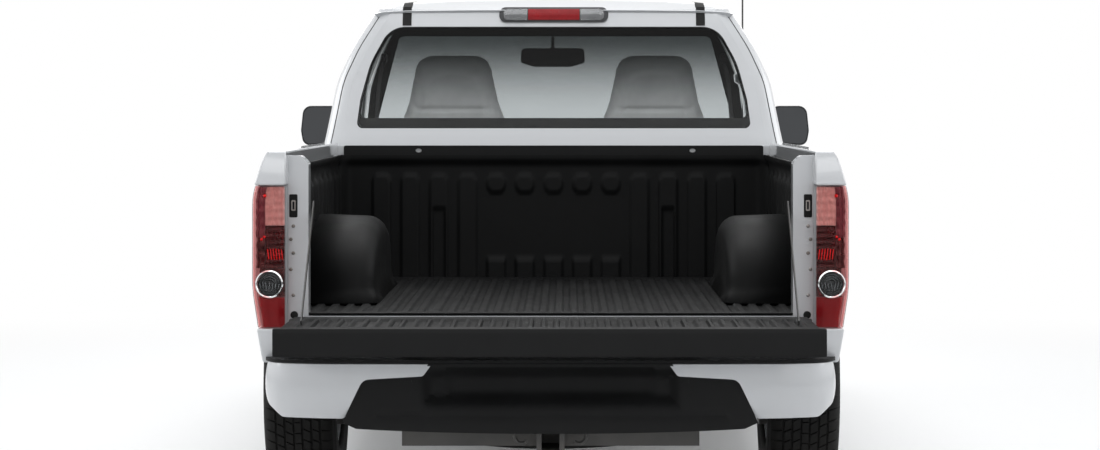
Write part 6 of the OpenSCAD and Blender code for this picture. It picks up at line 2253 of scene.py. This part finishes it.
mirror_loop = round_corners([(-0.122, 0.030), (-0.108, 0.038), (0.108, 0.038), (0.122, 0.030),
                             (0.124, -0.018), (0.072, -0.034), (-0.072, -0.034), (-0.124, -0.018)], 0.012)
MIRROR_Y = SCREEN_TOP + 0.105
panel("inner_mirror", mirror_loop,
      lambda x, z, d: (x - 0.008, MIRROR_Y + 0.010 * d * 2 - 0.10 * z, 1.432 + z), 0.02, trim_plastic,
      bevel=0.004, slot="trim_plastic")
stem = lathe("mirror_stem", [(0, 0.0005), (0.060, 0.0005), (0.060, 0.006), (0.045, 0.0065), (0.012, 0.0065),
                             (0.006, 0.011), (0, 0.012)], 18, (0, 0, 0))
moved(stem, lambda p: Vector((p.y - 0.008, MIRROR_Y + 0.014 + 0.55 * p.x, 1.462 + 0.83 * p.x + p.z)))
finish_piece("mirror_stem", fixed_normals(stem), trim_plastic, slot="trim_plastic")

# %% [markdown]
# The dashboard is a padded top with a hood over the instruments, a centre panel, a glove box lid,
# round vents with vanes, knobs and keys.

# %% Dashboard
WHEEL_Y, WHEEL_Z, DRIVER_X = COWL - 0.440, 0.975, -0.360


def hood_over(x, y, d):
    rise = math.exp(-((x - DRIVER_X) / 0.19) ** 4) * float(ease(np.array((COWL - 0.05 - y) / 0.06)))
    reach = 0.055 * rise * float(ease(np.array((COWL - 0.19 - y) / 0.09)))
    return (x, y - reach, 1.034 + 0.034 * rise - 0.006 * ((y - COWL + 0.13) / 0.1) ** 2 - 0.009 * d)


panel("dash_pad", box_loop(-0.735, COWL - 0.262, 0.735, COWL - 0.012, 0.03), hood_over, 0.022, cabin_plastic,
      bevel=0.003, slot="cabin_plastic")
face_y = lambda z: COWL - 0.290 + (0.0 if z < 0.98 else (z - 0.98) * 1.1) + max(0, 0.98 - z) * 0.143
panel("dash_centre", round_corners([(-0.125, 0.800), (0.125, 0.800), (0.150, 1.000), (-0.150, 1.000)], 0.02),
      lambda x, z, d: (x, face_y(z) - 0.016 + 0.014 * d, z), 0.02, trim_plastic, bevel=0.004,
      slot="trim_plastic")
panel("glove_box_lid", box_loop(0.24, 0.855, 0.66, 0.965, 0.02),
      lambda x, z, d: (x, face_y(z) - 0.008 + 0.007 * d, z), 0.03, cabin_plastic, bevel=0.003,
      slot="cabin_plastic")
vent_ring = lathe("vent_ring", [(0, 0.030), (0.010, 0.030), (0.012, 0.034), (0.010, 0.039), (0, 0.040)], 28,
                  (0, 0, 0))
vane = bar_mesh("vane", (0.056, 0.010, 0.003), 0.0006, 1)
vanes = repeated("vent_vanes", vane, 5, (0, 0, 0.0105), (0, 0, 0), trim_plastic)
for number, x in enumerate((-0.655, -0.075, 0.075, 0.655)):
    ring = moved(vent_ring.copy(), lambda p, v=x: Vector((v + p.y, face_y(0.975) - 0.018 - p.x, 0.965 + p.z)))
    finish_piece("vent_ring_%d" % number, fixed_normals(ring), trim_plastic, slot="trim_plastic")
    blades = moved(vanes.copy(), lambda p, v=x: Vector((v + p.x, face_y(0.975) - 0.018 + p.y, 0.944 + p.z)))
    finish_piece("vent_vanes_%d" % number, blades, trim_plastic, slot="trim_plastic")
knob = lathe("knob", [(0, 0.0005), (0.016, 0.0005), (0.018, 0.010), (0.016, 0.0135), (0.004, 0.0150),
                      (0, 0.0175)], 24,
             (0, 0, 0))
knobs = repeated("heater_knobs", moved(knob, lambda p: Vector((p.y, -p.x, p.z))), 3, (0.075, 0, 0), (0, 0, 0),
                 cabin_plastic)
finish_piece("heater_knobs", fixed_normals(moved(knobs,
                                                 lambda p: Vector((p.x - 0.075, face_y(0.85) - 0.016 + p.y,
                                                                         p.z + 0.850)))), cabin_plastic,
             slot="cabin_plastic")
key = repeated("radio_keys", bar_mesh("key", (0.020, 0.005, 0.011), 0.0012, 1), 7, (0.028, 0, 0), (0, 0, 0),
               cabin_plastic)
finish_piece("radio_keys", moved(key, lambda p: Vector((p.x - 0.084, face_y(0.905) - 0.017 + p.y,
                                                        p.z + 0.905))),
             cabin_plastic, slot="cabin_plastic")

# %% [markdown]
# The steering wheel leans on its column, so its pad is shaped in the wheel's own frame and then
# turned into place.

# %% Steering wheel pad
tilt = math.radians(62)


def on_wheel(x, y, z):
    """A point in the steering wheel's own frame, put where the column holds it."""
    return (DRIVER_X + x, WHEEL_Y + y * math.cos(tilt) - z * math.sin(tilt),
            WHEEL_Z + y * math.sin(tilt) + z * math.cos(tilt))


pad_loop = round_corners([(-0.088, -0.055), (0.088, -0.055), (0.096, 0.030), (0.060, 0.058), (-0.060, 0.058),
                          (-0.096, 0.030)], 0.02)
panel("wheel_pad", pad_loop,
      lambda x, y, d: on_wheel(x, y, (0.016 + 0.018 * math.cos(x / 0.10 * 1.4) * math.cos(y / 0.065 * 1.3))
                               * (1 - d)
                               + 0.0145 * d), 0.012, cabin_plastic, bevel=0.004, slot="cabin_plastic")

# %% [markdown]
# Belts are flat webbing along a path.

# %% Belts
def strap(name, path, width_axis, width, thick):
    """Flat webbing along a path; the width lies along width_axis at each point."""
    points, faces = [], []
    path = [Vector(p) for p in path]
    for k, p in enumerate(path):
        run = (path[min(k + 1, len(path) - 1)] - path[max(k - 1, 0)]).normalized()
        across = Vector(width_axis)
        across = (across - run * across.dot(run)).normalized()
        up = run.cross(across)
        for a, b in ((-0.5, -0.5), (0.5, -0.5), (0.5, 0.5), (-0.5, 0.5)):
            points.append(p + across * a * width + up * b * thick)
    for k in range(len(path) - 1):
        for j in range(4):
            faces.append((k * 4 + j, k * 4 + (j + 1) % 4, (k + 1) * 4 + (j + 1) % 4, (k + 1) * 4 + j))
    faces += [(0, 1, 2, 3), tuple(range(len(points) - 4, len(points)))[::-1]]
    mesh = bpy.data.meshes.new(name)
    mesh.from_pydata(points, [], faces)
    length = sum((b - a).length for a, b in zip(path[:-1], path[1:]))
    return fixed_normals(mesh), length


for sign, side in SIDES:
    route = rounded([(0.600, 1.425), (0.622, 1.36), (0.640, 1.15), (0.652, 0.90), (0.660, 0.68)], 0.10, 40)
    path = [(sign * x, CAB + 0.135 + 0.012 * math.sin((1.43 - z) * 4), z) for x, z in route]
    mesh, length = strap("belt_" + side, path, (0.35 * sign, 1, 0), 0.047, 0.0016)
    belt = finish_piece("belt_" + side, mesh, belt_webbing, slot="seat_fabric")
    loop_mesh = bar_mesh("belt_guide", (0.020, 0.062, 0.034), 0.006)
    moved(loop_mesh, lambda p, s=sign: Vector((s * 0.606 + p.x, CAB + 0.137 + p.y, 1.418 + p.z)))
    finish_piece("belt_guide_" + side, loop_mesh, trim_plastic, slot="trim_plastic")
print("cabin made")

# %% [markdown]
# The door mirrors are moulded shells on a short foot, with a flat glass let into the face that
# looks back. The shell is built as rings that grow out of the glass's frame and close over
# the front; each rides on its door.

# %% Door mirrors
MIRROR_BACK = DOOR_FRONT - 0.169
MIRROR_OUT = high("mirror_right")[0] - 0.001
mirror_glass = finish("mirror_glass", (0.07, 0.073, 0.077), 0.06, other=(0.06, 0.062, 0.066), cloud_scale=3.0,
                      metallic=1.0)
mirror_edge = round_corners([(W + 0.004, 1.100), (MIRROR_OUT - 0.010, 1.091), (MIRROR_OUT, 1.150),
                             (MIRROR_OUT - 0.010, 1.2475), (W - 0.012, 1.2475), (W - 0.006, 1.17)],
                            [0.022, 0.030, 0.05, 0.034, 0.028, 0.02], 8)
for sign, side in SIDES:
    loop = fine(mirror_edge, 0.012)
    centre = loop.mean(axis=0) + (-0.004, 0.004)
    rings = [(0.93, 0.004), (0.955, 0.0005), (0.985, 0.0005), (1.0, 0.006), (1.0, 0.030), (0.97, 0.055),
             (0.88, 0.078), (0.70, 0.095), (0.45, 0.104), (0.15, 0.107)]
    points, faces = [], []
    for grow, back in rings:
        for p in loop:
            q = centre + (p - centre) * grow
            points.append((sign * q[0], MIRROR_BACK + back, q[1]))
    n = len(loop)
    for j in range(len(rings) - 1):
        for k in range(n):
            faces.append((j * n + k, j * n + (k + 1) % n, (j + 1) * n + (k + 1) % n, (j + 1) * n + k))
    faces += [tuple(range(n)), tuple(range((len(rings) - 1) * n, len(rings) * n))]
    shell_mesh = bpy.data.meshes.new("mirror_shell_" + side)
    shell_mesh.from_pydata(points, [], faces)
    finish_piece("mirror_shell_" + side, fixed_normals(shell_mesh), mirror_plastic, body="door_" + side,
                 replaces=("mirror_" + side,), slot="mirror_plastic", angle=50)
    small = [tuple(centre + (p - centre) * 0.925) for p in loop]
    panel("mirror_glass_" + side, small, lambda x, z, d, s=sign: (s * x, MIRROR_BACK + 0.0015 + 0.003 * d, z),
          0.02, mirror_glass, body="door_" + side, slot="mirror_plastic")
    foot = bar_mesh("mirror_foot_" + side, (0.120, 0.060, 0.030), 0.010, 3)
    moved(foot, lambda p, s=sign: Vector((s * (W - 0.012 + p.x), MIRROR_BACK + 0.050 + p.y, 1.118 + p.z)))
    finish_piece("mirror_foot_" + side, fixed_normals(foot), mirror_plastic, body="door_" + side,
                 slot="mirror_plastic")
print("mirrors made")

# %% [markdown]
# Each door has a handle over a shallow cup, a rubber wiper along the window's sill and a key
# lock. Inside there is a trim panel with an armrest, a pull and a window winder.

# %% Door fittings
def on_door(s, y, z, out):
    crease = 0.006 * math.exp(-((z - 0.945) / 0.010) ** 2)
    return (s * (cab_x(z) - crease + out), y, z)


HANDLE_Y, HANDLE_Z = DOOR_REAR + 0.135, 0.985
for sign, side in SIDES:
    door = "door_" + side
    cup = box_loop(HANDLE_Y - 0.075, HANDLE_Z - 0.026, HANDLE_Y + 0.075, HANDLE_Z + 0.026, 0.024)
    panel("handle_cup_" + side, cup,
          lambda y, z, d, s=sign: on_door(s, y, z, 0.0035 - 0.003 * (1 - min(1, (((y - HANDLE_Y) / 0.075) ** 2
                                          + ((z - HANDLE_Z) / 0.026) ** 2))) - 0.006 * d), 0.008,
          trim_plastic, body=door, bevel=0.001, slot="trim_plastic")
    grip = box_loop(HANDLE_Y - 0.066, HANDLE_Z - 0.004, HANDLE_Y + 0.066, HANDLE_Z + 0.019, 0.010)
    panel("door_grip_" + side, grip,
          lambda y, z, d, s=sign: on_door(s, y, z,
                                          0.010 + 0.008 * math.cos((y - HANDLE_Y) / 0.07 * 1.35) - 0.010 * d),
          0.008, trim_plastic, body=door, bevel=0.002, slot="trim_plastic")
    lock = lathe("lock", [(0, 0.0005), (0.004, 0.0005), (0.004, 0.0065), (0.0025, 0.0085), (0, 0.0090)], 20,
                 (0, 0, 0))
    spot = on_door(sign, HANDLE_Y + 0.098, HANDLE_Z - 0.008, 0.001)
    moved(lock, lambda p, s=sign, m=spot: Vector((m[0] + s * p.x, m[1] + p.y, m[2] + p.z)))
    finish_piece("door_lock_" + side, fixed_normals(lock), chrome, body=door, slot="wheel_alloy")
    sill = round_corners([(DOOR_REAR + 0.062, BELT + 0.004), (DOOR_FRONT - 0.118, BELT + 0.004),
                          (DOOR_FRONT - 0.122, BELT + 0.026), (DOOR_REAR + 0.066, BELT + 0.026)], 0.004)
    panel("sill_wiper_" + side, sill, lambda y, z, d, s=sign: on_door(s, y, z,
                                                                      0.003 - 0.012 * d - 0.2
                                                                      * max(0, z - BELT - 0.012)),
          0.03, seal_rubber, body=door, slot="trim_plastic")
    panel("glass_run_" + side, round_corners([(DOOR_REAR + 0.071, BELT + 0.018),
                                              (DOOR_FRONT - 0.124, BELT + 0.018),
                                              (SCREEN_TOP - 0.019, SEAM - 0.068),
                                              (DOOR_REAR + 0.101, SEAM - 0.068)],
                                             [0.045, 0.03, 0.045, 0.045], 8),
          lambda y, z, d, s=sign: (s * (cab_x(z) - 0.012 - 0.012 * d), y, z), 0.03, seal_rubber,
          holes=[round_corners([(DOOR_REAR + 0.086, BELT + 0.030), (DOOR_FRONT - 0.146, BELT + 0.030),
                                (SCREEN_TOP - 0.028, SEAM - 0.084), (DOOR_REAR + 0.116, SEAM - 0.084)],
                               [0.040, 0.025, 0.040, 0.040], 8)], body=door, slot="trim_plastic")
    trim = box_loop(DOOR_REAR + 0.035, 0.50, DOOR_FRONT - 0.050, 1.075, 0.03)

    def trim_place(y, z, d, s=sign):
        middle = (DOOR_REAR + DOOR_FRONT) / 2
        rest = math.exp(-((z - 0.835) / 0.030) ** 4) * float(ease(np.array((0.33 - abs(y - middle + 0.10))
                                                                           / 0.06)))
        pocket = math.exp(-((z - 0.60) / 0.06) ** 4) * float(ease(np.array((0.36 - abs(y - middle)) / 0.04)))
        return (s * (INNER - 0.0015 - 0.007 * (1 - d) - (0.034 * rest + 0.012 * pocket) * (1 - d)), y, z)

    panel("door_trim_" + side, trim, trim_place, 0.022, cabin_plastic, body=door, slot="cabin_plastic")
    crank = lathe("crank", [(0, 0.0005), (0.014, 0.0005), (0.016, 0.010), (0.012, 0.017), (0, 0.019)], 24,
                  (0, 0, 0))
    moved(crank, lambda p, s=sign: Vector((s * (INNER - 0.0085 - p.x), DOOR_FRONT - 0.36 + p.y, 0.720 + p.z)))
    finish_piece("winder_boss_" + side, fixed_normals(crank), trim_plastic, body=door, slot="trim_plastic")
    arm = bar_mesh("winder_arm", (0.007, 0.105, 0.018), 0.003)
    moved(arm, lambda p, s=sign: Vector((s * (INNER - 0.026 + p.x), DOOR_FRONT - 0.31 + p.y,
                                         0.720 + 0.25 * p.y + p.z)))
    finish_piece("winder_arm_" + side, fixed_normals(arm), trim_plastic, body=door, slot="trim_plastic")
print("door fittings made")

# %% [markdown]
# The windscreen's glass is bonded in like the rear one, so it has the same black band. Two
# wipers lie along its foot: an arm from a spindle in the cowl, and a thin blade carried by it.

# %% Windscreen band and wipers
screen_run = math.hypot(SCREEN_BASE - SCREEN_TOP, 0.52)


def on_screen(x, t, out):
    """A point of the windscreen: t runs up the glass from its foot."""
    y = SCREEN_BASE - (SCREEN_BASE - SCREEN_TOP) * t
    z = 1.080 + 0.52 * t
    return (x, y + 0.8 * out, z + (SCREEN_BASE - SCREEN_TOP) / screen_run * out)


def screen_half(t):
    return cab_x(1.080 + 0.52 * t) - 0.048


band_foot, band_head = 0.028, 0.905
outer = [(screen_half(t), t) for t in np.linspace(band_foot, band_head, 9)]
screen_out = outer + [(-x, t) for x, t in outer[::-1]]
inner = [(screen_half(t) - 0.030, t) for t in np.linspace(band_foot + 0.05, band_head - 0.05, 9)]
screen_in = round_corners([inner[0], inner[8], (-inner[8][0], inner[8][1]), (-inner[0][0], inner[0][1])],
                          0.03, 6)
panel("screen_band", screen_out, lambda x, t, d: on_screen(x, t, -0.011 - 0.0012 * d), 0.03, seal_rubber,
      holes=[screen_in], slot="trim_plastic")
panel("screen_visor_band", [(-0.50, 0.868), (0.50, 0.868), (0.50, 0.9), (-0.50, 0.9)],
      lambda x, t, d: on_screen(x, t, -0.013 - 0.001 * d), 0.03, seal_rubber, slot="trim_plastic")


def tube(name, path, radius, segments=10):
    points, faces = [], []
    path = [Vector(p) for p in path]
    for k, p in enumerate(path):
        run = (path[min(k + 1, len(path) - 1)] - path[max(k - 1, 0)]).normalized()
        side_way = run.cross(Vector((0.1, 0.2, 1))).normalized()
        up = run.cross(side_way)
        r = radius[k] if isinstance(radius, (list, tuple)) else radius
        points += [p + (side_way * math.cos(a) + up * math.sin(a)) * r
                   for a in np.linspace(0, 2 * math.pi, segments + 1)[:-1]]
    for k in range(len(path) - 1):
        for j in range(segments):
            a, b = k * segments + j, k * segments + (j + 1) % segments
            faces.append((a, b, b + segments, a + segments))
    faces += [tuple(range(segments)), tuple(range(len(points) - segments, len(points)))]
    mesh = bpy.data.meshes.new(name)
    mesh.from_pydata(points, [], faces)
    return fixed_normals(mesh)


for number, start in enumerate((0.62, 0.02)):
    root = on_screen(start, -0.010, 0.014)
    knee = on_screen(start - 0.05, 0.05, 0.030)
    tip = on_screen(start - 0.36, 0.11, 0.016)
    arm = tube("wiper_arm_%d" % number, [root, tuple((np.array(root) + knee) / 2), knee,
                                         tuple((np.array(knee) + tip) / 2), tip],
               [0.010, 0.009, 0.007, 0.006, 0.004])
    finish_piece("wiper_arm_%d" % number, arm, trim_plastic, slot="trim_plastic")
    blade = strap("blade", [on_screen(start - 0.10 - 0.52 * t, 0.055 + 0.075 * t, 0.0085)
                            for t in np.linspace(0, 1, 9)],
                  (0, 0.55, 0.8), 0.009, 0.011)[0]
    finish_piece("wiper_blade_%d" % number, blade, seal_rubber, slot="trim_plastic")
print("wipers made")

# %% [markdown]
# Small fittings finish the outside: the fuel door on the left side of the bed, the antenna's
# rubber foot, the tailgate's pull handle in its outer skin, the collar round the hitch tube
# with its two chain loops, and the cables' folding stays.

# %% Small outside fittings
FUEL_Y, FUEL_Z = CAB - 0.30, 0.90
flap = box_loop(FUEL_Y - 0.075, FUEL_Z - 0.075, FUEL_Y + 0.075, FUEL_Z + 0.075, 0.022)
flap_gap = box_loop(FUEL_Y - 0.078, FUEL_Z - 0.078, FUEL_Y + 0.078, FUEL_Z + 0.078, 0.025)
panel("fuel_flap", flap, lambda y, z, d: (-(bed_x(z) + 0.0016 - 0.001 * d), y, z), 0.02, paint, bevel=0.0008,
      slot="body_paint")
panel("fuel_flap_gap", flap_gap, lambda y, z, d: (-(bed_x(z) + 0.0005 - 0.001 * d), y, z), 0.02, seal_rubber,
      slot="trim_plastic")
mast = Vector([(a + b) / 2 for a, b in zip(low("antenna"), high("antenna"))])
base_z = low("antenna")[2]
boot = lathe("boot", [(0, 0.006), (0.004, 0.022), (0.012, 0.021), (0.024, 0.012), (0.040, 0.0075),
                      (0.044, 0.006)], 28,
             (0, 0, 0))
moved(boot, lambda p: Vector((mast.x + p.y, mast.y + p.z, base_z + 0.002 + p.x)))
finish_piece("antenna_foot", fixed_normals(boot), seal_rubber, slot="antenna_black")

GATE_LOW = low("tailgate")[2]
GATE_FAR = GATE_END + 0.10
recess = box_loop(-0.105, GATE_FAR + 0.02, 0.105, GATE_FAR + 0.095, 0.012)
panel("gate_handle_cup", recess,
      lambda x, y, d: (x, y, GATE_LOW + 0.0005 + 0.004 * d + 0.003 * math.cos(x * 12)), 0.012, trim_plastic,
      bevel=0.0008, body="tailgate", slot="trim_plastic")
grip = bar_mesh("gate_grip", (0.165, 0.034, 0.010), 0.004, 3)
moved(grip, lambda p: Vector((p.x, GATE_FAR + 0.060 + p.y, GATE_LOW + 0.0065 + p.z)))
finish_piece("gate_grip", fixed_normals(grip), trim_plastic, body="tailgate", slot="trim_plastic")

hy, hz = TAIL - 0.020, 0.290
panel("hitch_collar", box_loop(-0.040, hz - 0.040, 0.040, hz + 0.040, 0.008),
               lambda x, z, d: (x, hy - 0.003 + 0.014 * d, z), 0.01, chassis_black,
               holes=[box_loop(-0.026, hz - 0.026, 0.026, hz + 0.026, 0.004)], bevel=0.0015,
      slot="chassis_black")
for sign, side in SIDES:
    ring = [(sign * (0.083 + 0.020 * math.cos(a)), hy + 0.030, hz + 0.012 + 0.022 * math.sin(a))
            for a in np.linspace(-2.4, 2.4, 19)]
    finish_piece("chain_loop_" + side, tube("chain_loop_" + side, ring, 0.0055), chassis_black,
                 slot="chassis_black")

STAY_X = high("tailgate_cables")[0] - 0.0025
for sign, side in SIDES:
    stay_path = [(sign * STAY_X, JAMB_Y + 0.042 + (TAIL - 0.276 - JAMB_Y - 0.042) * t,
                  0.965 + (GATE_TOP + 0.001 - 0.965) * t)
                 for t in np.linspace(0, 1, 41)]
    stay, _ = strap("stay_" + side, stay_path, (0, 1, 1), 0.017, 0.0036)
    piece = finish_piece("stay_" + side, stay, chassis_black, body=None, replaces=("tailgate_cables",),
                         slot="stay_black")
    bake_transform(piece)
print("small fittings made")
